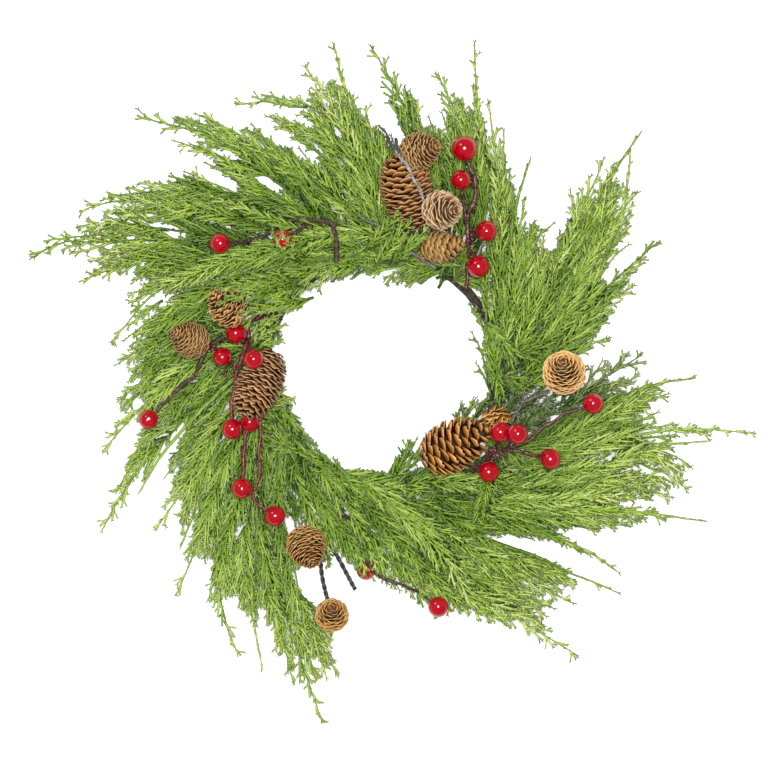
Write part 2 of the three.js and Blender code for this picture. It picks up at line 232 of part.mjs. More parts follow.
// Stems: branched rods. A rooted stem stands on the ring at its first point.
const STEMS = [
  { name: "berry_stem_top", radius: 1.15, rooted: true, colour: "#5a2420", routes: [
    [[50.4, 49.8, 20.8], [52.2, 65.4, 20.8], [51.8, 75.3, 26.3], [51, 89.4, 28.4], [55.2, 102.6, 29.3], [55.8, 111.6, 30], [51.6, 125.1, 31.3]],
    [[51, 89.4, 28.4], [48.6, 98.4, 30.8], [47.7, 107.6, 33.2]],
    [[51.6, 78.6, 26.8], [57.1, 82, 33.3]],
    [[51.9, 72.6, 24.8], [56.4, 69.6, 27.1], [56.6, 68.3, 27.6]],
  ] },
  { name: "berry_stem_upper_left", radius: 1.15, rooted: true, colour: "#5a2420", routes: [
    [[-27.6, 64.8, 29.2], [-27, 75.6, 29.2], [-28.8, 85, 30], [-29.4, 88.2, 28.2], [-49.2, 91.2, 21.5], [-52.4, 90.8, 21.4], [-58.8, 90, 17.8], [-67.2, 83.4, 17.8], [-78, 78.6, 18.4], [-91.2, 76.9, 26.5]],
    [[-43.2, 90.3, 23.5], [-50.4, 83.4, 31.6], [-54.7, 81.1, 34.9]],
  ] },
  { name: "berry_stem_left", radius: 1.2, rooted: true, colour: "#5a2420", routes: [
    [[-63.6, 31.2, 18.4], [-67.2, 32.7, 18.4], [-70.8, 34.2, 16.3], [-79.8, 30, 20.6], [-94.2, 21.6, 21.7], [-106.2, 11.4, 21.9], [-111.6, -2.4, 21.7], [-118.2, -6.6, 21.5], [-135.3, -24.3, 21.8]],
    [[-79.8, 30, 20.6], [-81.6, 15.6, 23.1], [-86.4, 0.6, 25.8], [-88.8, -11.4, 27.8], [-90, -20.4, 29.4], [-89.7, -28.7, 30.8]],
    [[-81.1, 19.8, 20.6], [-77.7, 12, 44]],
    [[-80.6, 23.4, 20.6], [-81.8, 23.2, 25.9]],
    [[-102.3, 14.7, 21.8], [-99.1, 11.8, 25.2]],
  ] },
  { name: "berry_stem_left_lower", radius: 1.15, rooted: true, colour: "#5a2420", routes: [
    [[-68.4, -20.4, 23.6], [-72, -27, 23.6], [-81.6, -39, 26], [-83.1, -60, 28.5], [-83.4, -64.3, 31.1]],
    [[-72, -27, 23.6], [-73.8, -45, 25.1], [-73.2, -63, 26.3], [-77.7, -75, 27.8], [-68.6, -83.8, 27.7]],
    [[-72, -27, 23.6], [-73.2, -27.6, 23.7]],
  ] },
  { name: "berry_stem_bottom", radius: 1.1, rooted: true, colour: "#5a2420", routes: [
    [[-22.2, -67.2, 28.3], [-25.4, -74, 28.3], [-27, -77.4, 26.2], [-24.6, -86.4, 23.5], [-15.6, -89.4, 23.9], [-12, -98.4, 24.4], [-9.6, -111, 24.8], [-4.2, -121.2, 26.9], [1.8, -123.8, 30.5], [10.8, -127.8, 30.9], [22.8, -133.2, 23.6], [28.9, -137.6, 28.7]],
    [[-11.4, -101.4, 24.5], [-14.4, -111, 24.8], [-12.7, -114, 22.3]],
  ] },
  { name: "berry_stem_right", radius: 1.2, rooted: true, colour: "#5a2420", routes: [
    [[28.8, -64.8, 18.8], [35.4, -66, 18.8], [46.2, -63.6, 12.7], [57.6, -58.2, 15.1], [67.8, -48.6, 22.8], [74.4, -46.8, 26.6], [84, -48.6, 27.7], [91.2, -50.4, 29.5], [95.1, -51.3, 32.6]],
    [[74.4, -46.8, 26.6], [87.6, -41.4, 28.2], [99, -32.4, 29.9], [110.4, -25.2, 31.4], [120.8, -21.2, 32.7]],
    [[67.8, -48.6, 22.8], [69.5, -41.8, 35.9]],
    [[74.4, -46.8, 26.6], [77.7, -42, 44]],
    [[64.2, -52.2, 20], [64.1, -54.8, 25]],
    [[74.4, -46.8, 26.6], [78, -30, 17.1], [83.4, -20.4, 16.5], [85.2, -12, 21.2]],
    [[83.7, -19.1, 17.2], [99.6, -12.6, 17.7]],
  ] },
  { name: "bare_twig_top", radius: 1, rooted: false, colour: "#6f6a55", routes: [
    [[22.8, 66.6, 30], [21.6, 78.6, 36], [22.5, 94.8, 46.5], [22.8, 107.4, 52], [18.6, 115.2, 54.2], [15, 120, 55.6], [10.2, 127.5, 54.6], [-1.8, 146.4, 38]],
  ] },
  { name: "stem_wire_bottom", radius: 0.9, rooted: false, colour: "#1f1d20", routes: [
    [[-49.2, -57.4, 4], [-49.8, -66.6, 5], [-49.2, -77.4, 5], [-45, -87, 5], [-31.2, -105, 5], [-16.2, -132, 4]],
    [[-37.8, -96.6, 5], [-36.6, -120.6, 8], [-33.9, -133.8, 10.5]],
  ] },
];

// ---------------------------------------------------------------- small helpers
const smooth = (t) => { const c = Math.min(Math.max(t, 0), 1); return c * c * (3 - 2 * c); };
const onTable = (table, t) => {
  for (let i = 1; i < table.length; i++) {
    if (t <= table[i][0]) {
      const [a, u] = table[i - 1], [b, v] = table[i];
      return u + (v - u) * smooth((t - a) / (b - a));
    }
  }
  return table[table.length - 1][1];
};
const layerHeight = (x, y, layer) => {
  const r = Math.hypot(x, y);
  return onTable(DOME, r) + LAYER_STEP * layer * (1 - OUTER_SAG * smooth((r - SAG_START) / SAG_LENGTH));
};
const ringTop = () => 2 * STRAND_RADIUS * Math.cos(Math.PI / RING_SIDES);

function solid(geometry) {
  const g = geometry.index ? geometry.toNonIndexed() : geometry.clone();
  g.deleteAttribute("normal");
  g.deleteAttribute("uv");
  const merged = mergeVertices(g, 1e-4);
  const made = new wasm.Manifold(new wasm.Mesh({
    numProp: 3,
    vertProperties: merged.attributes.position.array,
    triVerts: new Uint32Array(merged.index.array),
  }));
  return made;
}
function geometryOf(made) {
  const mesh = made.getMesh();
  const g = new THREE.BufferGeometry();
  const xyz = new Float32Array((mesh.vertProperties.length / mesh.numProp) * 3);
  for (let i = 0; i < xyz.length / 3; i++)
    for (let k = 0; k < 3; k++) xyz[3 * i + k] = mesh.vertProperties[mesh.numProp * i + k];
  g.setAttribute("position", new THREE.BufferAttribute(xyz, 3));
  g.setIndex(Array.from(mesh.triVerts));
  const flat = g.toNonIndexed();
  flat.computeVertexNormals();
  return flat;
}
const largest = (made) => made.decompose().reduce((a, b) => (Math.abs(b.volume()) > Math.abs(a.volume()) ? b : a));
const joined = (list) => list.reduce((a, b) => a.add(b));
const tidy = (made, fine = SLIVER) => largest(largest(made).simplify(fine));
const overlaps = (a, b) => {
  const p = a.boundingBox(), q = b.boundingBox();
  for (let k = 0; k < 3; k++) if (p.min[k] > q.max[k] || q.min[k] > p.max[k]) return false;
  return a.intersect(b).volume() > 1e-4;
};

function polygon(radius, sides) {
  const s = new THREE.Shape();
  for (let i = 0; i < sides; i++) {
    const a = (2 * Math.PI * (i + 0.5)) / sides;
    if (i) s.lineTo(radius * Math.cos(a), radius * Math.sin(a));
    else s.moveTo(radius * Math.cos(a), radius * Math.sin(a));
  }
  s.closePath();
  return s;
}
// A straight rod from a to b.
function rod(a, b, radius, sides = 5) {
  const from = new THREE.Vector3(...a), to = new THREE.Vector3(...b);
  const along = to.clone().sub(from);
  const g = new THREE.ExtrudeGeometry(polygon(radius, sides), { depth: along.length(), bevelEnabled: false, steps: 1 });
  g.applyQuaternion(new THREE.Quaternion().setFromUnitVectors(new THREE.Vector3(0, 0, 1), along.normalize()));
  g.translate(from.x, from.y, from.z);
  return solid(g);
}
// A round rod along a smooth curve.
function bentRod(points, radius, sides = 5) {
  const p = points.map((q) => new THREE.Vector3(...q));
  if (p.length === 2) return rod(points[0], points[1], radius, sides);
  const curve = new THREE.CatmullRomCurve3(p, false, "catmullrom", 0.3);
  return solid(new THREE.ExtrudeGeometry(polygon(radius, sides), { steps: Math.ceil(1.25 * (p.length - 1)), extrudePath: curve, bevelEnabled: false }));
}

// ---------------------------------------------------------------- fronds and sprays
// A spray is drawn flat, as the joined outlines of its fronds and stalks, then given its
// thickness and lifted onto the dome of the layer it lies in.
const headOf = (s) => s.head || s.foot;
function slab(edge, low = 0, high = 1) {
  const shape = new THREE.Shape(edge.map(([x, y]) => new THREE.Vector2(x, y)));
  const g = new THREE.ExtrudeGeometry(shape, { depth: high - low, bevelEnabled: false, steps: 1 });
  g.translate(0, 0, low);
  return solid(g);
}
// Evenly spaced stations along a frond's centre line.
function stationsOf(frond, count) {
  const curve = new THREE.CatmullRomCurve3(frond.axis.map(([x, y]) => new THREE.Vector3(x, y, 0)), false, "catmullrom", 0.5);
  curve.arcLengthDivisions = 200;
  return curve.getSpacedPoints(count - 1);
}
function frondEdge(frond, grow = 0) {
  const count = frond.stations;
  const c = stationsOf(frond, count);
  const left = [], right = [];
  for (let i = 0; i < count; i++) {
    const a = c[Math.max(0, i - 1)], b = c[Math.min(count - 1, i + 1)];
    const l = Math.hypot(b.x - a.x, b.y - a.y);
    const tx = (b.x - a.x) / l, ty = (b.y - a.y) / l;
    const share = onTable(WIDTHS[frond.kind], i / (count - 1)) * BLADE_WIDTH;
    const wl = Math.max(0.7, frond.left * share) + grow, wr = Math.max(0.7, frond.right * share) + grow;
    const ex = i === 0 ? -grow : i === count - 1 ? grow : 0;
    left.push([c[i].x - ty * wl + ex * tx, c[i].y + tx * wl + ex * ty]);
    right.push([c[i].x + ty * wr + ex * tx, c[i].y - tx * wr + ex * ty]);
  }
  return [...right, ...left.reverse()];
}
// The stalk that joins a frond to the head of the post, where the frond does not cross it.
function stalkEdge(frond, [x, y], grow = 0) {
  let near = null, far = Infinity;
  for (const q of stationsOf(frond, 40).slice(0, 34)) {
    const d = Math.hypot(q.x - x, q.y - y);
    if (d < far) { far = d; near = q; }
  }
  if (far < 1.2) return null;
  const dx = (near.x - x) / far, dy = (near.y - y) / far;
  const w = RIB_RADIUS + grow, e = far + 0.6 + grow, s = -0.8 - grow;
  return [[x + s * dx + w * dy, y + s * dy - w * dx], [x + e * dx + w * dy, y + e * dy - w * dx], [x + e * dx - w * dy, y + e * dy + w * dx], [x + s * dx - w * dy, y + s * dy + w * dx]];
}
function flatSpray(s, grow = 0) {
  const list = [];
  for (const f of s.fronds) {
    list.push(slab(frondEdge(f, grow)));
    const e = stalkEdge(f, headOf(s), grow);
    if (e) list.push(slab(e));
  }
  return joined(list);
}
// The loops round the upper face of a flat solid, outer edge first.
function loopsOf(flat) {
  const mesh = flat.getMesh(), v = mesh.vertProperties, n = mesh.numProp, t = mesh.triVerts;
  const next = new Map();
  const key = (i) => v[n * i].toFixed(4) + "," + v[n * i + 1].toFixed(4);
  const edges = new Map();
  for (let i = 0; i < t.length; i += 3) {
    if (![0, 1, 2].every((k) => v[n * t[i + k] + 2] > 0.5)) continue;
    for (let k = 0; k < 3; k++) {
      const a = key(t[i + k]), b = key(t[i + ((k + 1) % 3)]);
      if (edges.has(b + "|" + a)) edges.delete(b + "|" + a);
      else edges.set(a + "|" + b, [a, b]);
    }
  }
  for (const [a, b] of edges.values()) next.set(a, b);
  const loops = [];
  while (next.size) {
    const start = next.keys().next().value, loop = [];
    for (let a = start; next.has(a); ) { loop.push(a.split(",").map(Number)); const b = next.get(a); next.delete(a); a = b; }
    if (loop.length > 2) loops.push(loop);
  }
  const area = (l) => l.reduce((s, p, i) => { const q = l[(i + 1) % l.length]; return s + p[0] * q[1] - p[1] * q[0]; }, 0) / 2;
  return loops.map((l) => ({ l: thinned(l), a: area(l) })).filter(({ l, a }) => l.length > 2 && Math.abs(a) > 1.5).sort((p, q) => Math.abs(q.a) - Math.abs(p.a)).map(({ l }) => l);
}
// Drops the points of a loop that lie within EDGE_DETAIL of the line between their neighbours.
function thinned(loop) {
  let l = loop.slice(), again = true;
  while (again && l.length > 3) {
    again = false;
    for (let i = 0; i < l.length; i++) {
      const a = l[(i + l.length - 1) % l.length], p = l[i], b = l[(i + 1) % l.length];
      const d = Math.hypot(b[0] - a[0], b[1] - a[1]);
      const off = d < 1e-6 ? Math.hypot(p[0] - a[0], p[1] - a[1]) : Math.abs((b[0] - a[0]) * (a[1] - p[1]) - (a[0] - p[0]) * (b[1] - a[1])) / d;
      if (off < EDGE_DETAIL && d < 24) { l.splice(i, 1); again = true; break; }
    }
  }
  return l;
}
function lifted(flat, layer) {
  const [outer, ...holes] = loopsOf(flat);
  const shape = new THREE.Shape(outer.map(([x, y]) => new THREE.Vector2(x, y)));
  for (const h of holes) shape.holes.push(new THREE.Path(h.map(([x, y]) => new THREE.Vector2(x, y))));
  const g = new THREE.ExtrudeGeometry(shape, { depth: SPRAY_THICKNESS, bevelEnabled: false, steps: 1 });
  const p = g.attributes.position;
  for (let i = 0; i < p.count; i++)
    p.setZ(i, p.getZ(i) - SPRAY_THICKNESS / 2 + layerHeight(p.getX(i), p.getY(i), layer));
  return solid(g);
}
function post(s, grow = 0) {
  const [x, y] = headOf(s);
  const top = layerHeight(x, y, s.layer) + 0.3;
  return rod([s.foot[0], s.foot[1], ringTop() + 0.35 - grow + (s.head ? POST_RADIUS : 0)], [x, y, top + grow], POST_RADIUS + grow, 6);
}
// A disc through the flat drawing, where something upright passes through the spray.
const disc = ([x, y], radius) => slab(Array.from({ length: 6 }, (_, i) => [x + radius * Math.cos((Math.PI * (2 * i + 1)) / 6), y + radius * Math.sin((Math.PI * (2 * i + 1)) / 6)]), -1, 2);

// ---------------------------------------------------------------- cones, berries, stems
function cone(c, grow = 0) {
  const big = c.length > 34;
  const profile = (big ? CONE_LARGE : CONE_SMALL).map(([t, r], i, all) => {
    const end = i === 0 ? -grow : i === all.length - 1 ? grow : 0;
    return new THREE.Vector2(r ? (r * c.diameter) / 2 + grow : 0, (t - 0.5) * c.length + end);
  });
  const g = new THREE.LatheGeometry(profile, big ? 12 : 9);
  g.applyQuaternion(new THREE.Quaternion().setFromUnitVectors(new THREE.Vector3(0, 1, 0), new THREE.Vector3(...c.axis).normalize()));
  g.translate(...c.centre);
  return solid(g);
}
function berry([, centre, radius], grow = 0) {
  const g = new THREE.SphereGeometry(radius + grow, 9, 7);
  g.rotateX(Math.PI / 2);
  g.translate(...centre);
  return solid(g);
}
function stem(s, grow = 0) {
  const list = s.routes.map((route) => bentRod(route, s.radius + grow, 5));
  if (s.rooted) {
    const [x, y, z] = s.routes[0][0];
    list.push(rod([x, y, ringTop() + 0.35 - grow], [x, y, z + 0.5], s.radius + 0.1 + grow, 6));
  }
  return joined(list);
}

// ---------------------------------------------------------------- the object
const wreath = new THREE.Group();
wreath.name = "table_wreath";
function add(name, made, color, roughness, metalness = 0) {
  const mesh = new THREE.Mesh(geometryOf(made), new THREE.MeshStandardMaterial({ color, roughness, metalness }));
  mesh.name = name;
  wreath.add(mesh);
}

// The ring: strands wrapped into a round cord, flat underneath.
{
  const flatDown = STRAND_RADIUS * Math.cos(Math.PI / RING_SIDES);
  const profile = [];
  for (let i = 0; i <= RING_SIDES; i++) {
    const a = -Math.PI / 2 + (2 * Math.PI * (i + 0.5)) / RING_SIDES;
    profile.push(new THREE.Vector2(RING_RADIUS + STRAND_RADIUS * Math.cos(a), flatDown + STRAND_RADIUS * Math.sin(a)));
  }
  profile[RING_SIDES] = profile[0].clone();
  const g = new THREE.LatheGeometry(profile, RING_SEGMENTS);
  g.rotateX(Math.PI / 2);
  add("ring_frame", solid(g), "#4a3a30", 0.8);
}

const stems = STEMS.map((s) => ({ s, body: tidy(stem(s)), wide: stem(s, CLEARANCE) }));
const cones = CONES.map((c) => ({ c, body: cone(c), wide: cone(c, CLEARANCE) }));
const berries = BERRIES.map((b) => ({ b, body: berry(b), wide: berry(b, CLEARANCE) }));
// Each spray is cut clear of the posts and stems that pass through it and of a neighbour in its own layer.
const sprays = SPRAYS.map((s) => ({ s, flat: flatSpray(s) }));
const pierced = []; // upright pieces: place, radius, lowest and highest point
for (const { s } of sprays) {
  const [x, y] = headOf(s), [u, v] = s.foot, rise = layerHeight(x, y, s.layer) - ringTop();
  const n = s.head ? 8 : 1;
  for (let i = 0; i < n; i++) {
    const a = i / n, b = (i + 1) / n;
    pierced.push({ of: s, at: [u + (x - u) * (a + b) / 2, v + (y - v) * (a + b) / 2], radius: POST_RADIUS / Math.cos(Math.PI / 6) + CLEARANCE + Math.hypot(x - u, y - v) / n / 2, low: ringTop() + rise * a - 2, high: ringTop() + rise * b + 2 });
  }
}
for (const { s } of stems) if (s.rooted) pierced.push({ of: s, at: s.routes[0][0], radius: s.radius / Math.cos(Math.PI / 6) + 0.15 + CLEARANCE, low: 0, high: s.routes[0][0][2] + 1 });
sprays.forEach((a, i) => {
  for (const p of pierced) {
    if (p.of === a.s) continue;
    const z = layerHeight(p.at[0], p.at[1], a.s.layer);
    if (z + SPRAY_THICKNESS / 2 > p.low && z - SPRAY_THICKNESS / 2 < p.high) a.flat = a.flat.subtract(disc(p.at, p.radius));
  }
  sprays.slice(0, i).forEach((b) => {
    if (b.s.layer === a.s.layer && overlaps(a.flat, b.flat)) a.flat = a.flat.subtract(b.wide || (b.wide = flatSpray(b.s, CLEARANCE)));
  });
  a.flat = largest(a.flat);
});
for (const a of sprays) {
  let made = lifted(a.flat, a.s.layer).add(post(a.s));
  for (const t of [...stems, ...cones, ...berries]) if (overlaps(made, t.body)) made = made.subtract(t.wide);
  a.made = tidy(made, 0.02);
  add("cedar_spray_" + a.s.name, a.made, a.s.layer === 0 ? "#3f6330" : "#6f9a3c", 0.6);
}

// Where open scales lie into each other or round a stem, the later piece is cut back.
cones.forEach((a, i) => {
  for (const t of stems) if (overlaps(a.body, t.body)) a.body = a.body.subtract(t.wide);
  cones.slice(0, i).forEach((b) => { if (overlaps(a.body, b.body)) a.body = a.body.subtract(b.wide); });
  a.body = tidy(a.body);
  add(a.c.name, a.body, a.c.length > 34 ? "#9a6430" : "#8f6a3c", 0.75);
});
berries.forEach((a, i) => {
  for (const t of [...stems, ...cones]) if (overlaps(a.body, t.body)) a.body = a.body.subtract(t.wide);
  berries.slice(0, i).forEach((b) => { if (overlaps(a.body, b.body)) a.body = a.body.subtract(b.wide); });
  a.body = tidy(a.body);
  add(a.b[0], a.body, "#b3101c", 0.15);
});
for (const t of stems) add(t.s.name, t.body, t.s.colour, 0.6);

wreath.position.set(CENTRE_SHIFT[0], CENTRE_SHIFT[1], 0);
export default wreath;
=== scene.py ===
"""Table wreath: cedar sprays, pine cones and berries on a ring of wrapped strands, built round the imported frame.
Lengths in the tables are in millimetres from the middle of the ring."""
import math

import bpy
import numpy as np
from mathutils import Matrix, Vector


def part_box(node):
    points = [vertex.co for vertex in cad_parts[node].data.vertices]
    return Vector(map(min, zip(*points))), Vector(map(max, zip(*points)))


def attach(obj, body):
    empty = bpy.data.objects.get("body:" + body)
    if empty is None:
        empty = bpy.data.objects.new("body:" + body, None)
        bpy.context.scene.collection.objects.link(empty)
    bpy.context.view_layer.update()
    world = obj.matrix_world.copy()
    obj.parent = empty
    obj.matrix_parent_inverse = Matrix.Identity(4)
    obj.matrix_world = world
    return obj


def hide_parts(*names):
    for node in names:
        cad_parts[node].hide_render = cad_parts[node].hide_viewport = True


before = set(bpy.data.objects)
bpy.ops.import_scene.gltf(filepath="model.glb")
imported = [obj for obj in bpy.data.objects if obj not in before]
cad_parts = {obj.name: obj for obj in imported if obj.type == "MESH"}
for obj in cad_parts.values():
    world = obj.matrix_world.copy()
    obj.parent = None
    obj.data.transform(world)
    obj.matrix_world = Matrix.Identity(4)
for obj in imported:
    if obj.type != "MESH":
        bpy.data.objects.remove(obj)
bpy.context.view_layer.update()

MM = 0.001
ring_lo, ring_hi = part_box("ring_frame")
ORIGIN = np.array([(ring_lo.x + ring_hi.x) / 2, (ring_lo.y + ring_hi.y) / 2, 0.0])

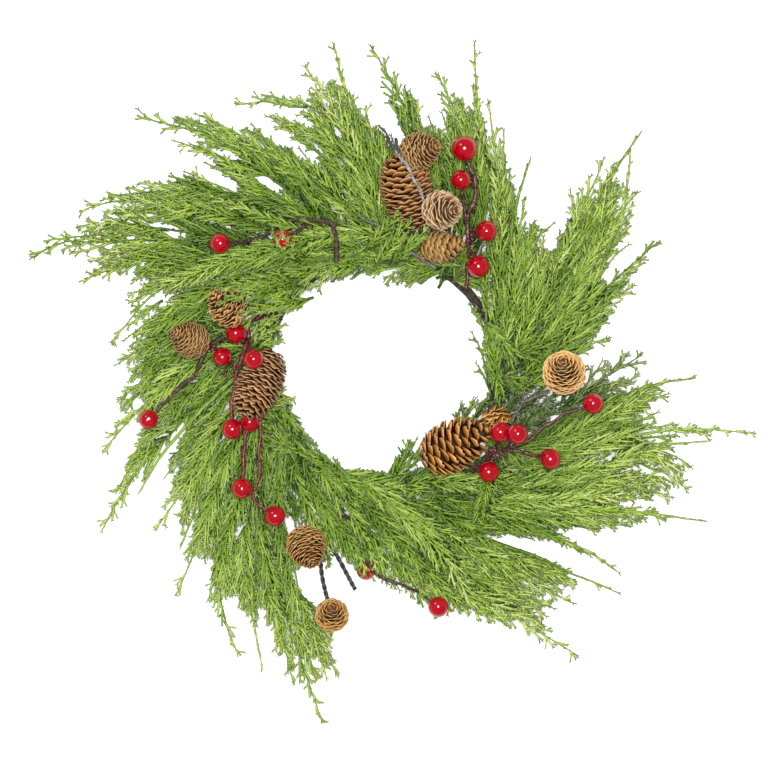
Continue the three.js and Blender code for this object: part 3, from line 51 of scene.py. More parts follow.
# ------------------------------------------------------------------ tables
# name, layer, foot, fronds (centre line, reach to the left and to the right, kind), head
SPRAYS = [
    ('left_upper', 0, [-38.4, 59.4], [
        ('A1', [[-38.4, 65.4], [-79.2, 72.6], [-133.2, 78.0], [-169.2, 78.0], [-193.2, 78.0], [-213.0, 67.8]], 13.2, 14.4, 'f'),
        ('A2', [[-49.2, 81.6], [-103.2, 95.4], [-139.2, 99.6], [-163.2, 101.4], [-182.4, 96.6]], 7.2, 7.2, 'f'),
        ('A3', [[-46.2, 85.8], [-73.2, 99.6], [-96.0, 107.4], [-133.2, 108.6], [-164.4, 105.6]], 6.0, 9.6, 'f'),
        ('A3b', [[-49.2, 90.6], [-79.2, 104.4], [-100.2, 112.2], [-120.0, 120.6]], 3.6, 4.8, 'f'),
        ('A4', [[-49.2, 65.4], [-85.2, 68.4], [-115.2, 69.0], [-151.2, 65.4], [-180.6, 55.2]], 8.4, 7.2, 'f'),
        ('A1b', [[-61.2, 73.8], [-97.2, 81.6], [-139.2, 87.0], [-163.2, 89.4], [-185.4, 87.6]], 6.0, 8.4, 'f'),
        ('A1c', [[-73.2, 65.4], [-103.2, 65.4], [-130.2, 61.8], [-150.6, 54.0]], 6.0, 4.8, 'f'),
    ], None),
    ('left_inner', 3, [-26.4, 65.4], [
        ('A6a', [[-6.0, 67.8], [-22.2, 74.4], [-55.2, 69.0], [-96.0, 49.8]], 8.4, 7.2, 'f'),
        ('A6b', [[-19.2, 65.4], [-37.2, 61.8], [-58.2, 54.6], [-79.2, 39.0]], 7.2, 7.2, 'f'),
        ('A6c', [[-10.2, 71.4], [-43.2, 65.4], [-72.0, 53.4], [-90.0, 39.0]], 7.2, 6.0, 'f'),
        ('A7', [[7.8, 79.8], [-22.2, 83.4], [-55.2, 75.6], [-94.2, 65.4], [-124.2, 53.4], [-153.0, 46.2]], 8.4, 7.2, 'f'),
        ('A5', [[-49.2, 65.4], [-85.2, 63.0], [-118.2, 55.8], [-139.2, 45.0], [-154.2, 27.6], [-163.2, 16.2]], 7.2, 6.0, 'f'),
        ('A8', [[-49.2, 59.4], [-79.2, 55.8], [-106.2, 47.4], [-133.2, 35.4], [-156.0, 17.4]], 7.2, 6.0, 'f'),
        ('M7', [[6.0, 70.2], [-13.2, 65.4], [-31.2, 59.4], [-43.8, 47.4]], 7.8, 6.0, 'f'),
        ('M6', [[39.6, 65.4], [25.8, 64.2], [10.8, 60.6], [0.6, 54.0]], 8.4, 3.6, 'f'),
    ], None),
    ('upper_left', 1, [-20.4, 69.0], [
        ('B1', [[-22.2, 75.6], [-49.2, 102.6], [-79.2, 124.8], [-109.2, 142.8], [-139.2, 151.8], [-148.2, 159.0]], 9.6, 10.8, 'f'),
        ('B1u', [[-28.2, 93.6], [-55.2, 120.6], [-85.2, 141.6], [-113.4, 155.4]], 6.0, 7.2, 'f'),
        ('B1v', [[-22.2, 99.6], [-40.2, 114.6], [-58.2, 127.8], [-79.2, 149.4]], 4.8, 8.4, 'f'),
        ('B2', [[-37.2, 87.6], [-67.2, 108.6], [-100.2, 129.6], [-126.6, 139.2]], 6.0, 4.8, 'f'),
        ('B2b', [[-34.2, 83.4], [-64.2, 102.6], [-85.2, 114.6], [-107.4, 126.0]], 6.0, 4.8, 'f'),
    ], None),
    ('top_left', 2, [-6.0, 70.2], [
        ('B3', [[-1.2, 79.8], [-18.0, 120.6], [-36.0, 151.8], [-55.2, 162.0], [-88.8, 160.2]], 7.2, 7.2, 'f'),
        ('B3b', [[-6.0, 90.6], [-22.2, 123.6], [-38.4, 141.6], [-70.8, 153.6]], 6.0, 6.0, 'f'),
        ('B3c', [[-7.2, 93.6], [-22.2, 114.6], [-36.0, 129.6], [-55.2, 141.0]], 4.8, 4.8, 'f'),
        ('B4', [[1.8, 81.6], [-13.2, 123.6], [-31.2, 161.4], [-47.4, 184.2]], 8.4, 7.2, 'f'),
        ('B5', [[3.6, 87.6], [-9.6, 132.6], [-21.6, 165.6], [-29.4, 198.6]], 5.4, 6.0, 'n'),
        ('B5b', [[3.6, 93.6], [-4.8, 126.6], [-13.2, 144.6], [-19.8, 168.6]], 4.8, 5.4, 'f'),
        ('B6', [[7.2, 93.6], [1.2, 120.6], [-4.8, 138.6], [-10.8, 158.4]], 4.8, 6.0, 'f'),
        ('B7', [[-2.4, 75.6], [-19.2, 95.4], [-36.0, 114.6], [-50.4, 135.0]], 6.0, 8.4, 'f'),
        ('B7b', [[0.0, 78.6], [-12.0, 99.6], [-22.2, 114.6], [-31.2, 131.4]], 6.0, 7.2, 'f'),
    ], None),
    ('top', 1, [13.8, 69.0], [
        ('C1', [[25.8, 81.6], [25.2, 120.6], [15.6, 153.6], [3.6, 177.6], [-7.8, 197.4]], 7.2, 7.2, 'f'),
        ('C1b', [[28.8, 87.6], [28.8, 123.6], [22.8, 149.4], [16.2, 169.8]], 4.8, 7.2, 'f'),
        ('C1c', [[32.4, 87.6], [34.8, 120.6], [32.4, 138.6], [27.6, 154.2]], 4.8, 6.0, 'f'),
        ('C1d', [[19.8, 79.8], [13.2, 111.6], [9.6, 129.6], [4.8, 142.8]], 4.8, 3.6, 'f'),
    ], None),
    ('top_right', 2, [43.8, 54.6], [
        ('C2', [[52.8, 75.6], [51.6, 123.6], [43.8, 155.4], [33.0, 180.0]], 8.4, 7.8, 'f'),
        ('C2b', [[48.0, 75.6], [44.4, 108.6], [42.0, 132.6], [35.4, 156.6]], 6.0, 6.0, 'f'),
        ('C3', [[58.8, 69.6], [61.2, 120.6], [57.0, 159.6], [55.8, 199.8]], 4.2, 4.2, 'n'),
        ('C4', [[62.4, 57.6], [69.6, 99.6], [67.2, 132.6], [64.2, 163.2]], 6.0, 7.2, 'f'),
        ('C5', [[66.0, 51.6], [75.0, 87.6], [73.2, 120.6], [73.2, 146.4]], 5.4, 6.0, 'f'),
        ('C5b', [[67.8, 48.6], [78.0, 78.6], [75.6, 99.6], [76.8, 121.8]], 5.4, 5.4, 'f'),
    ], None),
    ('upper_right_inner', 3, [62.4, 29.4], [
        ('C6', [[69.6, 18.6], [75.6, 57.6], [79.2, 93.6], [90.0, 130.8]], 6.0, 1.8, 's'),
        ('C7', [[72.6, 12.6], [79.2, 54.6], [81.6, 81.6], [85.8, 103.8]], 6.0, 6.0, 'f'),
        ('C8', [[75.6, 12.6], [84.0, 45.6], [88.8, 73.8], [103.8, 89.4]], 3.6, 4.8, 'n'),
        ('C9', [[79.8, 9.6], [91.2, 42.6], [96.0, 65.4], [96.6, 81.6]], 6.0, 7.2, 'f'),
        ('C10', [[67.8, 24.6], [70.8, 51.6], [70.8, 72.6], [75.0, 105.6]], 7.2, 4.8, 'f'),
        ('C11', [[78.0, 6.6], [93.6, 30.6], [102.0, 51.6], [102.0, 72.6]], 6.0, 4.8, 'f'),
        ('M5', [[70.8, -14.4], [67.2, 9.6], [64.8, 27.6], [63.0, 48.6]], 10.8, 4.8, 'f'),
        ('M5b', [[68.4, -5.4], [64.8, 15.6], [58.8, 29.4], [52.2, 40.2]], 4.8, 3.6, 'f'),
    ], None),
    ('upper_right', 2, [67.2, 11.4], [
        ('D1', [[79.8, 12.6], [106.8, 48.6], [123.6, 87.6], [139.8, 119.4], [157.8, 146.4]], 7.2, 7.2, 'n'),
        ('D1b', [[91.8, 15.6], [121.8, 60.6], [144.0, 93.6], [150.0, 135.6]], 4.8, 3.6, 'n'),
        ('D2', [[85.8, 21.6], [109.8, 63.6], [121.2, 99.6], [133.8, 129.0]], 7.2, 7.2, 'f'),
        ('D2b', [[82.8, 30.6], [103.8, 63.6], [115.2, 87.6], [112.8, 109.8]], 4.8, 4.8, 'f'),
        ('D3', [[88.8, 12.6], [115.8, 48.6], [136.8, 85.8], [154.8, 108.6]], 7.2, 8.4, 'f'),
        ('D4', [[82.8, 18.6], [99.6, 48.6], [105.6, 67.8], [106.8, 85.2]], 4.8, 4.8, 'f'),
        ('D5', [[88.8, 9.6], [118.8, 39.6], [136.8, 65.4], [149.4, 76.8]], 7.2, 7.2, 'f'),
    ], None),
    ('right', 1, [70.8, -4.2], [
        ('E1', [[79.8, -2.4], [109.8, 24.6], [136.8, 51.6], [153.6, 66.6], [166.8, 78.0]], 9.6, 8.4, 'f'),
        ('E1b', [[82.8, -5.4], [112.8, 18.6], [133.8, 39.6], [153.0, 52.2]], 7.2, 7.2, 'f'),
        ('E2', [[85.8, -8.4], [106.8, 9.6], [121.8, 21.6], [138.6, 35.4]], 6.0, 6.0, 'f'),
        ('E3', [[82.8, -11.4], [106.8, 1.8], [121.8, 13.8], [136.2, 20.4]], 4.8, 6.0, 'f'),
    ], None),
    ('right_low', 0, [69.0, -18.6], [
        ('F1', [[76.8, -32.4], [106.8, -20.4], [133.8, -4.2], [157.8, 10.2]], 9.0, 8.4, 'd'),
        ('F2', [[79.8, -35.4], [112.8, -22.2], [133.8, -11.4], [153.6, -6.0]], 4.8, 5.4, 'd'),
        ('F3', [[73.8, -28.2], [94.8, -20.4], [109.8, -11.4], [123.0, 1.8]], 5.4, 5.4, 'd'),
        ('F4', [[70.8, -23.4], [85.8, -17.4], [100.8, -8.4], [117.0, -12.0]], 4.8, 4.8, 'd'),
    ], None),
    ('lower_right_upper', 2, [61.2, -36.6], [
        ('G1', [[73.8, -47.4], [106.8, -34.2], [139.8, -18.6], [165.6, -7.8], [189.0, -4.2]], 6.0, 7.2, 'n'),
        ('G1b', [[79.8, -50.4], [112.8, -38.4], [142.8, -23.4], [173.4, -13.2]], 7.2, 7.2, 'f'),
        ('G1c', [[82.8, -54.6], [118.8, -41.4], [148.8, -32.4], [167.4, -24.0]], 6.0, 6.0, 'f'),
        ('G2', [[70.8, -59.4], [106.8, -50.4], [148.8, -39.6], [190.8, -35.4], [225.0, -37.2]], 6.0, 6.6, 'n'),
        ('G3', [[79.8, -59.4], [118.8, -50.4], [154.8, -45.6], [199.8, -42.0]], 1.8, 2.4, 's'),
        ('G2b', [[82.8, -54.6], [118.8, -46.2], [148.8, -36.6], [175.8, -31.8]], 6.0, 4.8, 'f'),
    ], None),
    ('lower_right_mid', 3, [49.4, -50.8], [
        ('G4', [[67.8, -66.6], [106.8, -64.2], [145.8, -52.2], [169.2, -48.6], [187.2, -58.2]], 7.2, 7.2, 'f'),
        ('G5', [[88.8, -65.4], [130.8, -58.2], [157.8, -48.6], [174.0, -59.4], [184.2, -73.8]], 6.0, 7.2, 'f'),
        ('G6', [[61.8, -71.4], [100.8, -71.4], [136.8, -65.4], [167.4, -70.2]], 8.4, 7.2, 'f'),
        ('G7', [[64.8, -76.2], [100.8, -78.6], [130.8, -75.0], [162.0, -76.2]], 6.0, 6.0, 'f'),
        ('H1', [[58.8, -80.4], [100.8, -82.2], [145.8, -84.0], [197.4, -90.6]], 4.8, 5.4, 'n'),
        ('H1b', [[58.8, -84.6], [94.8, -87.0], [124.8, -89.4], [150.0, -93.6]], 4.8, 6.0, 'f'),
    ], [62.4, -64.2]),
    ('lower_right', 1, [42.0, -59.4], [
        ('H2', [[28.8, -71.4], [64.8, -83.4], [97.8, -89.4], [132.0, -95.4]], 6.0, 7.2, 'f'),
        ('H3', [[28.8, -74.4], [64.8, -86.4], [100.8, -98.4], [124.8, -108.6], [144.0, -122.4]], 4.8, 5.4, 'n'),
        ('H4', [[22.8, -74.4], [49.8, -84.6], [76.8, -93.6], [97.8, -101.4]], 6.0, 6.0, 'f'),
        ('M4', [[28.8, -68.4], [39.6, -50.4], [48.0, -34.2], [55.2, -16.2]], 6.0, 6.0, 'f'),
    ], None),
    ('bottom_right', 2, [22.8, -68.4], [
        ('I1', [[7.8, -71.4], [40.8, -92.4], [76.8, -106.2], [112.8, -121.2], [144.0, -134.4]], 3.6, 6.0, 'n'),
        ('I2', [[7.8, -74.4], [43.8, -101.4], [82.8, -122.4], [116.4, -140.4]], 7.2, 7.2, 'f'),
        ('I3', [[4.8, -77.4], [34.8, -110.4], [70.8, -130.2], [105.0, -143.4]], 7.2, 7.2, 'f'),
        ('I4', [[1.8, -80.4], [28.8, -118.2], [64.8, -139.2], [97.8, -158.4], [118.8, -172.2]], 7.2, 8.4, 'f'),
        ('I5', [[10.8, -71.4], [34.8, -86.4], [64.8, -101.4], [97.8, -122.4]], 6.0, 6.0, 'f'),
    ], None),
    ('bottom', 3, [-18.0, -67.8], [
        ('J1', [[-49.2, -47.4], [-43.2, -65.4], [-32.4, -89.4], [-18.6, -116.4]], 6.0, 4.8, 'f'),
        ('J2', [[-42.0, -48.6], [-28.2, -71.4], [-8.4, -101.4], [11.4, -132.6]], 6.0, 6.6, 'f'),
        ('J3', [[-37.2, -52.2], [-10.2, -80.4], [16.8, -108.6], [42.6, -144.6]], 7.2, 7.2, 'f'),
        ('J4', [[-28.2, -56.4], [7.8, -83.4], [37.8, -113.4], [58.8, -149.4]], 8.4, 7.2, 'f'),
        ('M2', [[-38.4, -58.2], [-16.2, -67.8], [7.8, -69.6], [31.8, -72.6]], 10.8, 4.8, 'f'),
        ('M3', [[-6.0, -72.6], [6.0, -65.4], [10.8, -56.4], [18.0, -41.4]], 6.0, 5.4, 'f'),
        ('J5', [[-25.2, -64.2], [1.8, -77.4], [28.8, -92.4], [58.8, -104.4]], 6.0, 6.0, 'f'),
    ], None),
    ('lower_left', 1, [-51.6, -48.6], [
        ('K1', [[-66.0, -35.4], [-72.0, -77.4], [-62.4, -131.4], [-48.0, -176.4], [-36.0, -212.4]], 7.2, 8.4, 'f'),
        ('K2', [[-64.2, -41.4], [-61.2, -95.4], [-46.2, -146.4], [-25.8, -184.2]], 7.2, 7.2, 'f'),
        ('K1b', [[-68.4, -41.4], [-72.0, -89.4], [-64.2, -140.4], [-53.4, -188.4]], 6.0, 7.2, 'f'),
        ('K3', [[-72.0, -41.4], [-78.0, -89.4], [-78.0, -143.4], [-72.0, -180.0]], 2.4, 3.6, 's'),
        ('K3b', [[-62.4, -41.4], [-61.2, -77.4], [-54.0, -110.4], [-49.2, -138.6]], 6.0, 4.8, 'f'),
        ('M1', [[-68.4, -12.6], [-60.0, -35.4], [-43.2, -56.4], [-18.0, -69.0]], 12.0, 6.0, 'f'),
    ], None),
    ('left_lower', 2, [-63.6, -29.4], [
        ('K4', [[-74.4, -23.4], [-86.4, -65.4], [-97.2, -119.4], [-94.2, -149.4], [-86.4, -171.6]], 7.2, 7.2, 'f'),
        ('K5', [[-78.0, -20.4], [-94.2, -56.4], [-109.2, -101.4], [-124.2, -135.6]], 7.2, 7.2, 'f'),
        ('K6', [[-80.4, -17.4], [-100.2, -53.4], [-112.2, -83.4], [-122.4, -109.2]], 1.8, 2.4, 's'),
        ('K7', [[-82.2, -14.4], [-102.0, -41.4], [-120.0, -71.4], [-136.2, -95.4]], 6.0, 7.2, 'f'),
        ('K9', [[-74.4, -24.6], [-85.2, -71.4], [-96.0, -110.4], [-105.0, -139.2]], 7.2, 6.0, 'f'),
        ('K10', [[-72.0, -28.2], [-79.2, -77.4], [-86.4, -119.4], [-81.0, -148.2]], 5.4, 6.0, 'f'),
    ], None),
    ('left', 1, [-68.4, 17.4], [
        ('L1', [[-72.0, 11.4], [-100.2, -11.4], [-139.2, -50.4], [-157.2, -74.4], [-169.8, -97.8]], 8.4, 7.8, 'f'),
        ('L2', [[-74.4, 7.8], [-103.2, -17.4], [-130.2, -47.4], [-148.2, -76.2]], 2.4, 3.0, 's'),
        ('L3', [[-73.2, 5.4], [-94.2, -14.4], [-115.2, -41.4], [-132.6, -66.6]], 2.4, 3.0, 's'),
        ('L4', [[-74.4, 15.6], [-109.2, 5.4], [-142.2, -20.4], [-169.2, -49.2]], 7.2, 7.8, 'f'),
        ('L5', [[-76.2, 27.6], [-106.2, 27.6], [-136.2, 17.4], [-161.4, 3.0]], 7.8, 7.2, 'f'),
        ('L6', [[-74.4, 19.8], [-109.2, 15.6], [-139.2, -2.4], [-159.6, -18.6]], 7.2, 7.2, 'f'),
        ('M8', [[-63.0, 42.6], [-66.0, 30.6], [-69.6, 18.6], [-72.0, 5.4]], 8.4, 4.8, 'f'),
    ], None),
]
# name, centre, length, diameter, axis from base to apex
CONES = [
    ["large_top", [15.0, 107.1, 36.6], 48.0, 31.2, [0.197, -0.965, -0.174]],
    ["large_left", [-73.2, -8.4, 36.4], 43.8, 27.6, [0.433, 0.885, -0.174]],
    ["large_right", [45.1, -43.7, 30.8], 44.4, 32.4, [-0.865, -0.456, -0.208]],
    ["small_top_b", [36.6, 95.4, 49.9], 25.2, 22.8, [0.706, -0.039, 0.707]],
    ["small_top_c", [37.2, 74.4, 33.4], 25.2, 19.8, [0.983, 0.12, 0.139]],
    ["small_left_a", [-92.4, 39.0, 40.4], 25.2, 22.8, [-0.752, 0.564, 0.342]],
    ["small_left_b", [-115.8, 19.2, 30.1], 24.0, 21.6, [-0.811, 0.405, 0.423]],
    ["small_bottom_a", [-44.7, -106.2, 29.7], 26.4, 22.8, [0.296, -0.795, 0.53]],
    ["small_bottom_b", [-30.0, -145.8, 20.5], 20.4, 19.8, [0.009, 0.469, 0.883]],
    ["small_right_a", [108.6, -0.0, 33.0], 27.6, 25.2, [-0.094, 0.46, 0.883]],
    ["small_top_a", [23.4, 130.8, 48.0], 25.2, 21.6, [0.856, 0.218, 0.469]],
    ["small_right_b", [72.6, -31.2, 25.0], 19.2, 16.8, [0.411, -0.912, 0.0]],
]
# name, centre, radius
BERRIES = [
    ["left_6", [-79.2, -30.6, 24.0], 6.0],
    ["top_1", [49.2, 132.9, 32.0], 7.5],
    ["top_2", [47.1, 114.0, 35.1], 6.0],
    ["top_3", [62.4, 83.4, 37.7], 6.3],
    ["top_4", [57.6, 62.4, 31.8], 6.6],
    ["upper_left_1", [-96.9, 76.2, 30.0], 6.0],
    ["upper_left_2", [-59.4, 78.6, 38.5], 5.7],
    ["left_1", [-87.3, 22.5, 30.3], 6.3],
    ["left_2", [-95.4, 8.4, 29.2], 5.64],
    ["left_3", [-76.2, 6.9, 48.2], 6.0],
    ["left_4", [-140.1, -29.1, 22.0], 6.0],
    ["left_5", [-89.4, -34.8, 34.0], 6.18],
    ["left_7", [-83.7, -70.2, 34.7], 6.18],
    ["left_8", [-63.9, -86.7, 32.1], 6.3],
    ["bottom_1", [-9.6, -119.7, 21.0], 5.88],
    ["bottom_2", [33.6, -141.0, 32.6], 6.18],
    ["right_1", [126.0, -19.5, 37.0], 6.18],
    ["right_2", [70.8, -36.6, 40.2], 6.18],
    ["right_3", [80.7, -37.5, 48.3], 6.18],
    ["right_4", [63.9, -60.3, 29.4], 6.3],
    ["right_5", [100.4, -52.5, 36.9], 6.18],
]
# stems: radius and routes
STEMS = {
    'top': (1.15, [[[50.4, 49.8, 20.8], [52.2, 65.4, 20.8], [51.8, 75.3, 26.3], [51.0, 89.4, 28.4], [55.2, 102.6, 29.3], [55.8, 111.6, 30.0], [51.6, 125.1, 31.3]], [[51.0, 89.4, 28.4], [48.6, 98.4, 30.8], [47.7, 107.6, 33.2]], [[51.6, 78.6, 26.8], [57.1, 82.0, 33.3]], [[51.9, 72.6, 24.8], [56.4, 69.6, 27.1], [56.6, 68.3, 27.6]]]),
    'upper_left': (1.15, [[[-27.6, 64.8, 29.2], [-27.0, 75.6, 29.2], [-28.8, 85.0, 30.0], [-29.4, 88.2, 28.2], [-49.2, 91.2, 21.5], [-52.4, 90.8, 21.4], [-58.8, 90.0, 17.8], [-67.2, 83.4, 17.8], [-78.0, 78.6, 18.4], [-91.2, 76.9, 26.5]], [[-43.2, 90.3, 23.5], [-50.4, 83.4, 31.6], [-54.7, 81.1, 34.9]]]),
    'left': (1.2, [[[-63.6, 31.2, 18.4], [-67.2, 32.7, 18.4], [-70.8, 34.2, 16.3], [-79.8, 30.0, 20.6], [-94.2, 21.6, 21.7], [-106.2, 11.4, 21.9], [-111.6, -2.4, 21.7], [-118.2, -6.6, 21.5], [-135.3, -24.3, 21.8]], [[-79.8, 30.0, 20.6], [-81.6, 15.6, 23.1], [-86.4, 0.6, 25.8], [-88.8, -11.4, 27.8], [-90.0, -20.4, 29.4], [-89.7, -28.7, 30.8]], [[-81.1, 19.8, 20.6], [-77.7, 12.0, 44.0]], [[-80.6, 23.4, 20.6], [-81.8, 23.2, 25.9]], [[-102.3, 14.7, 21.8], [-99.1, 11.8, 25.2]]]),
    'left_lower': (1.15, [[[-68.4, -20.4, 23.6], [-72.0, -27.0, 23.6], [-81.6, -39.0, 26.0], [-83.1, -60.0, 28.5], [-83.4, -64.3, 31.1]], [[-72.0, -27.0, 23.6], [-73.8, -45.0, 25.1], [-73.2, -63.0, 26.3], [-77.7, -75.0, 27.8], [-68.6, -83.8, 27.7]], [[-72.0, -27.0, 23.6], [-73.2, -27.6, 23.7]]]),
    'bottom': (1.1, [[[-22.2, -67.2, 28.3], [-25.4, -74.0, 28.3], [-27.0, -77.4, 26.2], [-24.6, -86.4, 23.5], [-15.6, -89.4, 23.9], [-12.0, -98.4, 24.4], [-9.6, -111.0, 24.8], [-4.2, -121.2, 26.9], [1.8, -123.8, 30.5], [10.8, -127.8, 30.9], [22.8, -133.2, 23.6], [28.9, -137.6, 28.7]], [[-11.4, -101.4, 24.5], [-14.4, -111.0, 24.8], [-12.7, -114.0, 22.3]]]),
    'right': (1.2, [[[28.8, -64.8, 18.8], [35.4, -66.0, 18.8], [46.2, -63.6, 12.7], [57.6, -58.2, 15.1], [67.8, -48.6, 22.8], [74.4, -46.8, 26.6], [84.0, -48.6, 27.7], [91.2, -50.4, 29.5], [95.1, -51.3, 32.6]], [[74.4, -46.8, 26.6], [87.6, -41.4, 28.2], [99.0, -32.4, 29.9], [110.4, -25.2, 31.4], [120.8, -21.2, 32.7]], [[67.8, -48.6, 22.8], [69.5, -41.8, 35.9]], [[74.4, -46.8, 26.6], [77.7, -42.0, 44.0]], [[64.2, -52.2, 20.0], [64.1, -54.8, 25.0]], [[74.4, -46.8, 26.6], [78.0, -30.0, 17.1], [83.4, -20.4, 16.5], [85.2, -12.0, 21.2]], [[83.7, -19.1, 17.2], [99.6, -12.6, 17.7]]]),
    'twig': (1.0, [[[22.8, 66.6, 30.0], [21.6, 78.6, 36.0], [22.5, 94.8, 46.5], [22.8, 107.4, 52.0], [18.6, 115.2, 54.2], [15.0, 120.0, 55.6], [10.2, 127.5, 54.6], [-1.8, 146.4, 38.0]]]),
    'wire': (0.9, [[[-49.2, -57.4, 4.0], [-49.8, -66.6, 5], [-49.2, -77.4, 5], [-45.0, -87.0, 5], [-31.2, -105.0, 5], [-16.2, -132.0, 4]], [[-37.8, -96.6, 5], [-36.6, -120.6, 8], [-33.9, -133.8, 10.5]]]),
}
